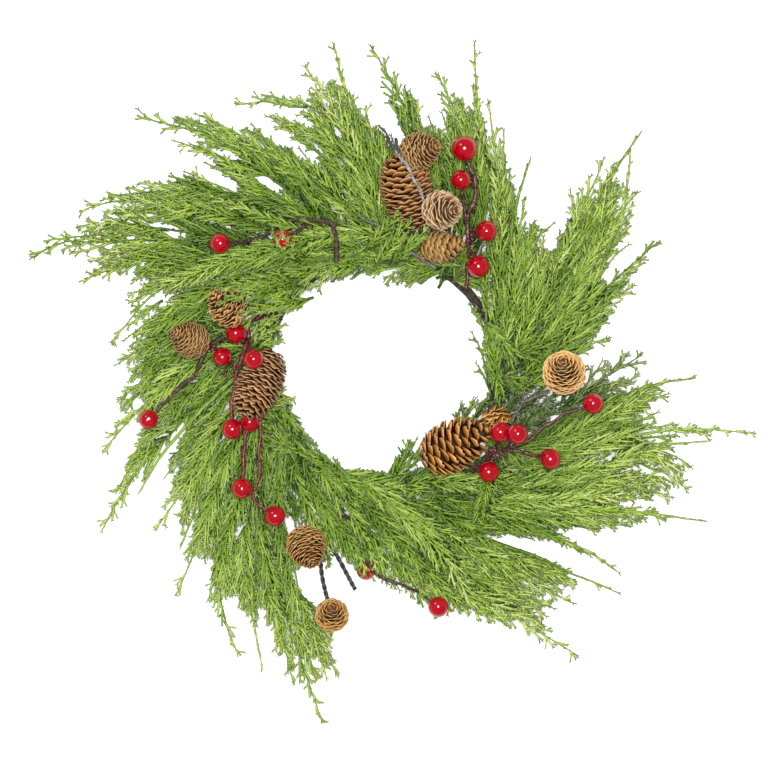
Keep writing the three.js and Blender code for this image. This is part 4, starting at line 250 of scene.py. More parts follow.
# smaller fronds that fill each spray between the main ones
UNDER = {
    'bottom': [
        ('M2_u', [[11.2, -70.0], [26.8, -67.0], [42.8, -67.1], [58.6, -68.6], [74.5, -69.8], [90.5, -69.5]], 7.2, 7.2, 'f'),
        ('J2_u', [[-20.2, -83.7], [-7.8, -95.1], [2.9, -108.1], [13.1, -121.4], [23.5, -134.6], [34.1, -147.7]], 7.2, 7.2, 'f'),
        ('J1_u', [[-43.8, -63.9], [-36.7, -76.9], [-27.7, -88.8], [-19.7, -101.2], [-11.9, -113.9], [-4.1, -126.5]], 7.2, 7.2, 'f'),
        ('J1_u', [[-48.4, -49.9], [-52.6, -61.9], [-48.0, -73.6], [-42.6, -85.1], [-37.3, -96.7], [-31.9, -108.2]], 7.2, 5.9, 'f'),
        ('J3_u', [[24.2, -118.3], [32.2, -127.0], [40.3, -135.4], [48.3, -143.9]], 6.1, 6.4, 'f'),
        ('J4_u', [[44.5, -123.2], [49.7, -132.7], [57.5, -140.1], [66.0, -146.8], [75.1, -152.7]], 5.4, 4.8, 'f'),
        ('J2_u', [[-15.7, -90.3], [-13.3, -101.0], [-7.9, -110.5], [-1.9, -119.6], [4.2, -128.8]], 4.8, 4.8, 'f'),
        ('J1_u', [[-37.5, -78.6], [-36.3, -88.9], [-32.0, -98.3], [-27.2, -107.5]], 5.4, 6.0, 'f'),
        ('J3_u', [[11.1, -102.1], [12.6, -114.8], [20.6, -124.7], [29.0, -134.4], [37.4, -144.1]], 6.0, 5.4, 'f'),
        ('J3_u', [[31.6, -128.8], [39.9, -132.9], [46.8, -139.1], [53.3, -145.7]], 4.8, 4.5, 'f'),
        ('J1_u', [[-34.1, -85.7], [-28.0, -95.0], [-22.4, -104.6], [-16.9, -114.2], [-11.4, -123.8]], 5.4, 5.4, 'f'),
        ('M3_u', [[7.4, -63.7], [13.3, -56.8], [19.4, -50.0], [24.5, -42.5]], 3.3, 3.0, 'f'),
    ],
    'upper_right': [
        ('D3_u', [[123.8, 62.4], [123.6, 73.3], [128.2, 83.0], [132.8, 92.9], [137.5, 102.7], [142.1, 112.5]], 7.2, 7.2, 'f'),
        ('D3_u', [[119.2, 54.0], [127.8, 61.5], [134.5, 70.9], [141.6, 80.0], [148.6, 89.3]], 6.0, 5.8, 'f'),
        ('D3_u', [[128.3, 70.8], [129.2, 81.8], [133.4, 91.9], [138.3, 101.8], [143.0, 111.8]], 7.2, 6.0, 'f'),
        ('D1b_u', [[125.5, 65.9], [134.9, 74.9], [142.4, 85.6], [149.5, 96.5]], 5.4, 6.7, 'f'),
        ('D1_u', [[122.5, 85.0], [127.1, 96.1], [131.3, 107.2], [136.1, 118.2]], 4.8, 7.1, 'f'),
        ('D3_u', [[126.8, 68.0], [128.9, 79.8], [134.5, 90.4], [139.9, 101.1], [145.1, 111.8]], 7.2, 7.2, 'f'),
        ('D5_u', [[120.5, 41.6], [124.3, 53.9], [131.7, 64.6], [139.7, 74.8], [148.0, 84.8]], 4.3, 4.3, 'f'),
        ('D1_u', [[124.8, 90.1], [131.1, 96.7], [135.2, 104.8], [139.0, 113.2]], 3.9, 6.0, 'f'),
    ],
    'lower_left': [
        ('M1_u', [[-64.2, -25.7], [-59.2, -39.8], [-56.3, -54.4], [-52.1, -68.8], [-47.1, -82.8], [-42.0, -96.8]], 7.2, 7.2, 'f'),
        ('K3_u', [[-77.8, -85.8], [-76.3, -97.3], [-76.1, -108.8], [-75.4, -120.4], [-74.0, -131.8], [-72.1, -143.2]], 7.2, 7.2, 'f'),
        ('K2_u', [[-53.6, -125.6], [-52.4, -137.5], [-49.1, -149.0], [-45.0, -160.3], [-40.5, -171.4]], 7.2, 7.2, 'f'),
        ('K2_u', [[-46.2, -146.4], [-42.5, -157.1], [-38.1, -167.5], [-33.4, -177.8]], 7.2, 7.2, 'f'),
        ('M1_u', [[-68.4, -12.6], [-58.9, -17.3], [-55.9, -26.8], [-53.4, -37.2], [-49.9, -47.2], [-45.1, -56.6]], 3.0, 3.0, 'f'),
        ('K1_u', [[-57.5, -148.5], [-50.8, -156.5], [-47.3, -166.3], [-43.6, -176.1], [-40.0, -185.8]], 7.2, 6.0, 'f'),
        ('K1b_u', [[-67.7, -122.3], [-68.9, -134.2], [-66.5, -146.1], [-63.7, -157.9], [-60.5, -169.6]], 5.8, 5.4, 'f'),
        ('K2_u', [[-50.0, -136.4], [-40.6, -142.5], [-36.2, -152.6], [-31.5, -162.7]], 4.1, 4.7, 'f'),
        ('K2_u', [[-44.9, -149.5], [-40.8, -159.3], [-36.5, -169.0], [-32.0, -178.6]], 7.2, 5.0, 'f'),
        ('K3_u', [[-78.7, -117.1], [-77.8, -128.1], [-76.3, -139.0], [-74.3, -149.9]], 4.2, 4.7, 'f'),
        ('K1b_u', [[-63.5, -143.9], [-60.2, -155.9], [-56.8, -167.9], [-53.2, -179.8]], 4.8, 4.6, 'f'),
        ('K2_u', [[-51.2, -132.9], [-43.3, -142.4], [-38.9, -154.1], [-33.7, -165.4], [-28.1, -176.6]], 4.4, 5.4, 'f'),
        ('K1_u', [[-58.6, -145.2], [-51.3, -153.9], [-47.4, -164.6], [-43.4, -175.2], [-39.4, -185.8]], 7.2, 5.2, 'f'),
        ('K3_u', [[-78.7, -117.1], [-79.5, -129.7], [-77.6, -142.3], [-75.1, -154.7]], 4.0, 4.6, 'f'),
        ('M1_u', [[-68.4, -12.6], [-68.4, -24.2], [-69.2, -35.8], [-70.1, -47.5], [-71.2, -59.0], [-72.2, -70.7]], 3.0, 3.0, 'f'),
    ],
    'left': [
        ('L4_u', [[-74.4, 15.6], [-87.5, 8.9], [-100.4, 1.0], [-112.6, -7.9], [-124.0, -17.9], [-134.9, -28.5]], 7.2, 7.2, 'f'),
        ('L5_u', [[-106.2, 27.6], [-115.1, 21.5], [-124.7, 16.8], [-134.0, 11.6], [-142.9, 5.6], [-151.6, -0.6]], 7.2, 7.2, 'f'),
        ('L3_u', [[-94.2, -14.4], [-100.0, -24.1], [-106.6, -33.1], [-113.3, -42.2], [-119.7, -51.4], [-125.9, -60.8]], 6.6, 7.2, 'f'),
        ('L6_u', [[-120.7, 10.1], [-127.8, 0.2], [-137.8, -7.1], [-147.3, -14.9], [-156.6, -23.0]], 6.8, 7.1, 'f'),
        ('L1_u', [[-102.7, -13.7], [-113.2, -10.8], [-121.2, -17.9], [-128.9, -25.7], [-136.4, -33.6], [-143.5, -41.8]], 6.5, 7.2, 'f'),
        ('L1_u', [[-126.4, -36.9], [-138.4, -36.7], [-146.8, -46.8], [-154.7, -57.2]], 7.2, 7.2, 'f'),
        ('L3_u', [[-107.9, -31.6], [-111.2, -43.9], [-118.1, -54.5], [-125.0, -65.3]], 6.0, 5.8, 'f'),
        ('L1_u', [[-134.6, -45.5], [-143.8, -49.5], [-150.0, -57.1], [-155.6, -65.3], [-161.0, -73.7]], 6.7, 5.8, 'f'),
        ('L6_u', [[-118.4, 11.4], [-131.0, 10.6], [-141.7, 3.7], [-151.9, -3.8]], 5.4, 7.0, 'f'),
        ('L6_u', [[-133.5, 1.6], [-140.0, -7.1], [-148.4, -13.9], [-156.6, -21.0]], 3.4, 3.0, 'f'),
        ('L6_u', [[-122.9, 8.8], [-134.6, 6.8], [-144.4, -0.0], [-153.8, -7.1]], 4.8, 4.2, 'f'),
        ('L3_u', [[-74.7, 4.0], [-83.8, -6.1], [-92.8, -16.3], [-101.2, -26.8], [-109.4, -37.6], [-117.2, -48.7]], 3.0, 3.0, 'f'),
        ('L6_u', [[-135.5, 0.2], [-141.2, -8.5], [-148.8, -15.4], [-156.6, -22.2]], 3.0, 3.0, 'f'),
        ('L3_u', [[-104.9, -27.5], [-113.7, -37.1], [-121.4, -47.5], [-128.9, -58.1]], 3.6, 4.8, 'f'),
    ],
    'left_inner': [
        ('A6b_u', [[-38.6, 61.4], [-51.1, 52.3], [-64.7, 44.7], [-75.8, 33.8], [-88.8, 25.4], [-103.9, 21.5]], 7.2, 7.2, 'f'),
        ('A8_u', [[-98.6, 50.2], [-106.0, 39.8], [-118.3, 35.5], [-129.9, 29.9], [-140.8, 22.9], [-150.9, 14.9]], 7.2, 7.2, 'f'),
        ('M6_u', [[39.6, 65.4], [27.4, 70.9], [13.6, 74.3], [1.4, 81.7], [-8.1, 92.2], [-16.0, 104.1]], 4.6, 7.2, 'f'),
        ('M6_u', [[39.6, 65.4], [32.6, 58.1], [23.0, 56.0], [13.4, 53.2]], 6.6, 6.4, 'f'),
        ('M6_u', [[38.6, 65.3], [28.2, 60.6], [17.1, 57.8], [6.3, 54.2]], 5.3, 4.8, 'f'),
        ('M6_u', [[30.8, 64.8], [20.5, 64.7], [10.3, 63.2], [0.1, 61.5], [-10.2, 60.6]], 5.2, 4.8, 'f'),
        ('A7_u', [[-29.0, 82.5], [-45.7, 83.7], [-61.8, 89.0], [-77.5, 95.3], [-93.2, 101.4], [-109.4, 106.2]], 4.8, 3.1, 'f'),
        ('A5_u', [[-116.2, 56.5], [-128.2, 51.8], [-139.9, 46.7], [-150.8, 40.1]], 3.8, 5.4, 'f'),
        ('A8_u', [[-118.0, 42.8], [-127.6, 34.6], [-138.4, 28.0], [-148.3, 20.0]], 5.4, 5.2, 'f'),
        ('M6_u', [[28.9, 64.6], [18.5, 63.8], [8.4, 62.0], [-1.7, 60.2], [-12.0, 59.2]], 4.8, 5.4, 'f'),
        ('M6_u', [[25.8, 64.2], [11.2, 70.0], [-4.3, 73.9], [-19.2, 79.7], [-34.3, 84.9], [-49.1, 91.0]], 3.0, 3.0, 'f'),
    ],
    'right_low': [
        ('F4_u', [[70.8, -23.4], [64.6, -20.2], [73.4, -6.4], [80.3, 8.6], [87.6, 23.3], [95.3, 37.9]], 5.4, 7.2, 'f'),
        ('F4_u', [[70.8, -23.4], [70.6, -20.6], [80.2, -13.2], [89.9, -6.0], [100.0, 0.8], [109.9, 7.9]], 7.2, 5.4, 'f'),
        ('F4_u', [[70.8, -23.4], [58.0, -32.4], [56.0, -29.3], [64.5, -16.3], [70.6, -1.9], [73.6, 13.4]], 3.0, 3.0, 'f'),
        ('F2_u', [[104.2, -25.8], [114.1, -19.3], [124.8, -14.3], [135.4, -9.2], [146.2, -4.4]], 7.2, 6.0, 'f'),
    ],
    'left_lower': [
        ('K6_u', [[-93.7, -41.0], [-101.4, -48.7], [-106.4, -58.4], [-111.2, -68.2], [-115.9, -78.0], [-120.5, -87.8]], 7.2, 7.2, 'f'),
        ('K10_u', [[-82.3, -93.5], [-87.5, -102.7], [-89.2, -113.2], [-90.0, -123.8], [-89.9, -134.4]], 7.2, 7.2, 'f'),
        ('K5_u', [[-97.5, -65.6], [-97.2, -77.8], [-100.6, -89.6], [-104.2, -101.3], [-107.6, -113.1]], 6.6, 7.2, 'f'),
        ('K10_u', [[-82.9, -96.6], [-82.5, -108.7], [-82.8, -120.9], [-82.0, -133.0], [-80.3, -145.1]], 7.2, 7.2, 'f'),
        ('K5_u', [[-100.7, -75.6], [-98.1, -88.3], [-101.6, -100.7], [-105.1, -113.2]], 4.8, 4.0, 'f'),
        ('K6_u', [[-95.1, -43.6], [-101.9, -52.0], [-106.6, -61.7], [-111.2, -71.6], [-115.7, -81.5], [-120.2, -91.3]], 7.2, 6.4, 'f'),
        ('K4_u', [[-95.2, -105.4], [-93.1, -115.5], [-93.5, -125.8], [-93.5, -136.2]], 6.0, 6.2, 'f'),
        ('K7_u', [[-107.3, -49.9], [-115.8, -56.2], [-121.9, -64.7], [-127.3, -73.7]], 4.9, 3.8, 'f'),
        ('K5_u', [[-100.7, -75.6], [-106.4, -84.1], [-110.0, -93.7], [-113.5, -103.3], [-117.1, -112.9]], 7.2, 5.4, 'f'),
        ('K4_u', [[-95.8, -109.2], [-94.3, -118.1], [-94.7, -127.1], [-94.8, -136.2]], 7.2, 6.0, 'f'),
        ('K5_u', [[-102.8, -82.4], [-101.2, -92.6], [-103.4, -102.7], [-106.3, -112.6]], 4.8, 6.6, 'f'),
        ('K10_u', [[-85.7, -111.4], [-86.1, -120.9], [-85.9, -130.4], [-84.9, -139.8]], 7.2, 5.1, 'f'),
    ],
    'top_left': [
        ('B5_u', [[-8.7, 129.8], [-15.9, 140.0], [-21.1, 151.5], [-26.5, 162.9], [-32.2, 174.1]], 6.6, 6.2, 'f'),
        ('B5_u', [[-13.3, 142.9], [-19.7, 152.6], [-24.5, 163.4], [-29.4, 174.0]], 4.4, 4.0, 'f'),
        ('B3c_u', [[-30.7, 124.7], [-38.6, 132.5], [-46.8, 139.8], [-56.0, 145.8], [-65.9, 150.8]], 5.4, 6.0, 'f'),
        ('B6_u', [[4.2, 107.6], [5.9, 120.7], [1.9, 133.3], [-2.6, 145.7]], 4.8, 4.8, 'f'),
        ('B3b_u', [[-25.4, 128.6], [-30.9, 138.4], [-38.3, 146.9], [-47.4, 153.6]], 3.0, 3.0, 'f'),
        ('B4_u', [[-19.5, 138.0], [-27.2, 147.8], [-34.4, 158.0], [-42.8, 167.2]], 4.6, 5.2, 'f'),
        ('B5_u', [[-14.2, 145.3], [-21.4, 154.3], [-26.5, 164.6], [-31.7, 175.0]], 7.2, 5.9, 'f'),
        ('B3_u', [[-24.3, 133.3], [-31.4, 142.0], [-39.1, 150.1], [-48.2, 156.7]], 6.1, 5.5, 'f'),
        ('B6_u', [[2.5, 115.4], [2.2, 126.1], [-0.7, 136.3], [-4.4, 146.2]], 5.5, 4.9, 'f'),
        ('B3_u', [[-44.6, 158.9], [-53.5, 158.9], [-62.0, 160.4], [-70.6, 162.3]], 5.1, 5.1, 'f'),
        ('B3b_u', [[-32.6, 137.3], [-43.2, 141.9], [-52.9, 147.9], [-63.4, 152.7]], 3.4, 4.0, 'f'),
    ],
    'lower_right_mid': [
        ('G6_u', [[154.6, -67.6], [165.5, -62.8], [176.0, -68.4]], 7.2, 7.2, 'f'),
        ('G7_u', [[111.9, -77.6], [123.9, -72.4], [137.0, -71.3], [150.1, -71.4], [163.1, -73.2]], 7.2, 7.2, 'f'),
        ('H1b_u', [[103.9, -87.7], [116.4, -85.7], [129.0, -86.6], [141.6, -87.8], [154.1, -89.3]], 7.2, 7.2, 'f'),
        ('G6_u', [[119.3, -68.1], [129.3, -65.1], [139.5, -63.3], [149.8, -62.4], [160.2, -62.8]], 6.6, 7.2, 'f'),
        ('H1_u', [[129.1, -83.0], [139.6, -83.7], [150.1, -84.7], [160.5, -86.0], [170.8, -87.8]], 7.2, 5.4, 'f'),
        ('G4_u', [[135.8, -55.3], [147.2, -53.2], [158.8, -52.4], [170.2, -54.7], [180.6, -59.9]], 3.8, 4.4, 'f'),
        ('G7_u', [[126.5, -75.3], [138.1, -71.2], [150.4, -71.1], [162.5, -72.8]], 6.6, 7.2, 'f'),
        ('G6_u', [[139.1, -65.4], [150.3, -63.3], [161.5, -64.4], [171.9, -68.9]], 4.6, 7.0, 'f'),
        ('G5_u', [[149.6, -50.6], [159.5, -57.6], [170.9, -61.6], [181.0, -68.4]], 3.4, 3.0, 'f'),
        ('G7_u', [[120.2, -76.2], [133.4, -75.2], [146.5, -75.4], [159.5, -76.8]], 7.2, 7.2, 'f'),
        ('G6_u', [[131.9, -65.8], [142.4, -63.6], [153.1, -63.1], [163.5, -64.9], [173.1, -69.6]], 3.6, 6.0, 'f'),
        ('G4_u', [[141.1, -53.6], [151.1, -52.0], [161.3, -51.8], [171.2, -54.1], [180.5, -58.4]], 4.0, 7.2, 'f'),
        ('H1_u', [[129.1, -83.0], [139.4, -83.8], [149.8, -84.7], [160.0, -86.0], [170.2, -87.8]], 5.6, 6.0, 'f'),
    ],
    'bottom_right': [
        ('I5_u', [[62.6, -100.1], [70.8, -109.7], [82.3, -115.1], [93.7, -120.7], [105.1, -126.3]], 7.2, 7.2, 'f'),
        ('I3_u', [[49.9, -120.2], [59.5, -128.2], [70.1, -134.8], [81.2, -140.6], [92.5, -146.1]], 7.2, 7.2, 'f'),
        ('I5_u', [[83.5, -113.1], [94.6, -117.3], [105.2, -122.4], [115.9, -127.4]], 6.0, 7.2, 'f'),
        ('I3_u', [[63.1, -126.7], [71.5, -136.7], [83.2, -142.7], [94.9, -148.6]], 7.2, 7.2, 'f'),
        ('I2_u', [[46.5, -103.1], [53.9, -112.1], [63.8, -118.1], [74.3, -123.5], [84.7, -128.8], [95.2, -133.9]], 7.2, 7.1, 'f'),
        ('I2_u', [[74.8, -118.2], [86.8, -121.3], [98.0, -126.8], [109.3, -132.3]], 6.6, 6.5, 'f'),
        ('I1_u', [[89.9, -111.5], [98.4, -117.7], [107.8, -122.5], [117.4, -127.0]], 4.4, 6.2, 'f'),
        ('I4_u', [[72.3, -143.5], [81.4, -145.4], [89.9, -149.2], [98.1, -153.5]], 3.3, 4.2, 'f'),
        ('I3_u', [[65.7, -127.9], [78.4, -131.0], [90.1, -136.7], [101.9, -142.3]], 4.9, 3.7, 'f'),
        ('I1_u', [[89.9, -111.5], [98.3, -117.5], [107.5, -122.0], [116.8, -126.4]], 4.9, 6.1, 'f'),
        ('I5_u', [[42.8, -90.5], [52.8, -92.2], [62.3, -95.4], [71.9, -98.6]], 4.3, 4.2, 'f'),
        ('I4_u', [[64.8, -139.2], [76.7, -142.6], [87.7, -148.3], [98.7, -154.1]], 3.2, 4.0, 'f'),
    ],
    'lower_right_upper': [
        ('G1_u', [[121.3, -27.4], [133.0, -23.6], [144.4, -19.1], [156.0, -14.8], [167.6, -11.0]], 6.0, 7.2, 'f'),
        ('G1b_u', [[125.8, -31.9], [137.6, -29.1], [149.0, -25.1], [160.6, -21.3]], 4.8, 4.8, 'f'),
        ('G3_u', [[79.8, -59.4], [84.4, -61.1], [95.5, -59.0], [106.6, -56.6], [117.6, -53.9], [128.6, -51.1]], 3.6, 4.2, 'f'),
        ('G1_u', [[130.9, -22.8], [142.4, -16.5], [154.8, -11.8], [167.3, -7.7]], 3.0, 3.0, 'f'),
        ('G1b_u', [[121.6, -34.2], [134.5, -31.5], [146.9, -27.2], [159.4, -23.2]], 5.6, 5.4, 'f'),
        ('G1b_u', [[132.2, -28.5], [142.5, -24.1], [153.1, -20.2], [163.7, -16.6]], 6.4, 5.3, 'f'),
        ('G1_u', [[135.5, -20.6], [145.8, -16.7], [156.2, -13.0], [166.7, -9.5]], 4.1, 4.7, 'f'),
        ('G3_u', [[134.0, -48.0], [143.9, -46.6], [153.9, -44.9], [163.9, -44.3], [174.0, -45.3]], 6.8, 4.2, 'f'),
        ('G2_u', [[145.8, -40.2], [156.4, -40.4], [167.0, -39.5], [177.6, -39.7]], 4.1, 4.6, 'f'),
        ('G2_u', [[176.4, -36.2], [187.8, -36.4], [199.2, -36.7]], 4.1, 4.2, 'f'),
    ],
    'upper_right_inner': [
        ('C8_u', [[83.0, 41.2], [83.9, 53.0], [86.3, 64.7], [88.6, 76.4], [91.0, 88.1]], 6.4, 7.2, 'f'),
        ('C8_u', [[85.6, 56.5], [87.0, 67.0], [88.9, 77.3], [91.1, 87.5]], 5.5, 6.1, 'f'),
        ('C9_u', [[91.2, 42.6], [92.9, 52.7], [95.4, 62.6], [97.7, 72.5]], 5.5, 5.4, 'f'),
        ('C8_u', [[86.0, 60.8], [87.6, 69.5], [89.3, 78.3], [91.2, 87.0]], 5.1, 3.0, 'f'),
        ('M5b_u', [[65.8, 11.6], [63.2, 25.0], [62.0, 38.5], [61.6, 52.0], [62.9, 65.5], [64.5, 79.0]], 3.0, 3.0, 'f'),
    ],
    'top_right': [
        ('C3_u', [[61.2, 113.9], [57.4, 124.2], [55.7, 135.0], [53.9, 145.8], [51.7, 156.5]], 5.4, 6.0, 'f'),
        ('C2b_u', [[44.6, 106.5], [40.2, 115.7], [38.5, 125.7], [36.7, 135.7], [34.2, 145.7]], 4.4, 4.4, 'f'),
        ('C3_u', [[60.7, 129.7], [59.3, 140.5], [57.7, 151.3], [56.0, 162.0], [54.2, 172.8]], 4.2, 3.6, 'f'),
        ('C2_u', [[50.9, 129.1], [51.2, 140.6], [49.0, 151.9], [46.2, 163.0]], 5.3, 3.5, 'f'),
        ('C2b_u', [[43.5, 119.5], [44.7, 131.9], [42.3, 144.0], [38.9, 155.9]], 3.0, 3.0, 'f'),
        ('C2_u', [[49.9, 134.1], [50.7, 144.3], [48.8, 154.4], [46.2, 164.3]], 4.2, 5.5, 'f'),
    ],
    'left_upper': [
        ('A2_u', [[-109.4, 96.5], [-121.8, 94.3], [-134.4, 95.2], [-147.0, 95.9], [-159.6, 96.0]], 7.2, 7.2, 'f'),
        ('A4_u', [[-125.2, 68.5], [-136.0, 70.3], [-146.6, 69.0], [-157.3, 67.1], [-167.9, 64.9]], 6.6, 7.2, 'f'),
        ('A4_u', [[-146.3, 66.3], [-155.6, 65.3], [-164.8, 63.4], [-173.9, 61.2]], 4.8, 4.8, 'f'),
        ('A3_u', [[-96.0, 107.4], [-108.2, 106.7], [-120.2, 109.0], [-132.4, 110.3], [-144.6, 110.6]], 6.4, 3.0, 'f'),
        ('A1c_u', [[-101.2, 65.5], [-111.1, 62.8], [-121.1, 60.4], [-131.0, 57.6], [-140.7, 54.2]], 5.4, 4.0, 'f'),
        ('A1_u', [[-110.6, 76.1], [-125.3, 79.4], [-140.6, 79.3], [-155.9, 79.0], [-171.2, 78.4], [-186.5, 77.1]], 6.2, 5.4, 'f'),
        ('A1c_u', [[-119.2, 63.8], [-128.7, 63.1], [-137.9, 61.0], [-146.9, 58.1]], 5.4, 4.2, 'f'),
        ('A2_u', [[-115.1, 97.4], [-125.1, 102.7], [-136.4, 103.6], [-147.7, 103.8], [-159.0, 103.7]], 7.2, 7.2, 'f'),
        ('A1b_u', [[-128.3, 85.7], [-140.8, 85.4], [-153.2, 85.7], [-165.7, 85.5], [-178.2, 84.7]], 6.8, 7.2, 'f'),
        ('A1_u', [[-129.8, 77.8], [-139.4, 74.3], [-149.5, 72.9], [-159.7, 71.8], [-169.8, 70.5]], 6.6, 7.2, 'f'),
        ('A2_u', [[-65.2, 85.8], [-77.3, 93.7], [-91.0, 98.6], [-104.9, 102.8], [-119.2, 105.8], [-133.6, 107.5]], 4.8, 4.4, 'f'),
        ('A1_u', [[-153.1, 78.4], [-165.1, 82.7], [-178.0, 81.8], [-190.7, 80.3]], 7.2, 5.4, 'f'),
        ('A2_u', [[-130.3, 98.9], [-139.6, 97.3], [-149.0, 97.3], [-158.4, 97.2]], 6.0, 3.3, 'f'),
        ('A4_u', [[-141.2, 67.0], [-152.5, 65.8], [-163.6, 63.4], [-174.5, 60.6]], 5.8, 5.3, 'f'),
        ('A1c_u', [[-119.2, 63.8], [-128.8, 62.3], [-138.2, 59.9], [-147.5, 56.8]], 7.2, 6.3, 'f'),
        ('A2_u', [[-134.8, 99.2], [-144.1, 96.3], [-153.5, 95.7], [-163.2, 95.4]], 4.2, 3.0, 'f'),
    ],
    'lower_right': [
        ('H4_u', [[46.0, -83.2], [53.9, -89.8], [63.3, -93.8], [73.2, -96.8], [83.0, -100.0]], 4.8, 4.2, 'f'),
        ('H2_u', [[28.8, -71.4], [39.7, -71.5], [50.4, -73.9], [61.1, -76.4], [71.9, -78.2], [82.7, -79.4]], 3.0, 3.0, 'f'),
        ('H3_u', [[104.9, -99.9], [114.6, -105.9], [125.0, -110.5]], 6.0, 4.8, 'f'),
        ('H4_u', [[49.8, -84.6], [59.0, -91.3], [69.8, -94.9], [80.8, -98.2], [91.7, -101.5]], 3.6, 4.8, 'f'),
    ],
    'top': [
        ('C1_u', [[21.8, 135.7], [13.3, 143.5], [9.5, 154.5], [5.3, 165.4]], 4.6, 4.8, 'f'),
        ('C1c_u', [[34.6, 114.5], [37.2, 124.9], [36.2, 135.4], [33.6, 145.7]], 4.9, 5.0, 'f'),
    ],
    'upper_left': [
        ('B1_u', [[-74.9, 121.9], [-83.3, 130.1], [-93.2, 136.3], [-103.7, 141.5], [-114.5, 146.2], [-125.5, 150.3]], 4.4, 4.2, 'f'),
        ('B1u_u', [[-70.1, 131.9], [-81.5, 135.1], [-91.7, 141.1], [-102.3, 146.3], [-113.2, 150.9]], 7.2, 5.4, 'f'),
        ('B1v_u', [[-47.8, 119.9], [-55.7, 127.5], [-64.2, 134.3], [-73.1, 140.7], [-82.5, 146.4]], 3.0, 3.0, 'f'),
        ('B1_u', [[-94.2, 134.6], [-102.5, 143.6], [-113.6, 148.6], [-125.1, 152.9]], 7.2, 5.8, 'f'),
        ('B2_u', [[-83.9, 119.8], [-94.0, 127.1], [-105.2, 132.6], [-116.6, 137.4]], 6.6, 6.6, 'f'),
    ],
}
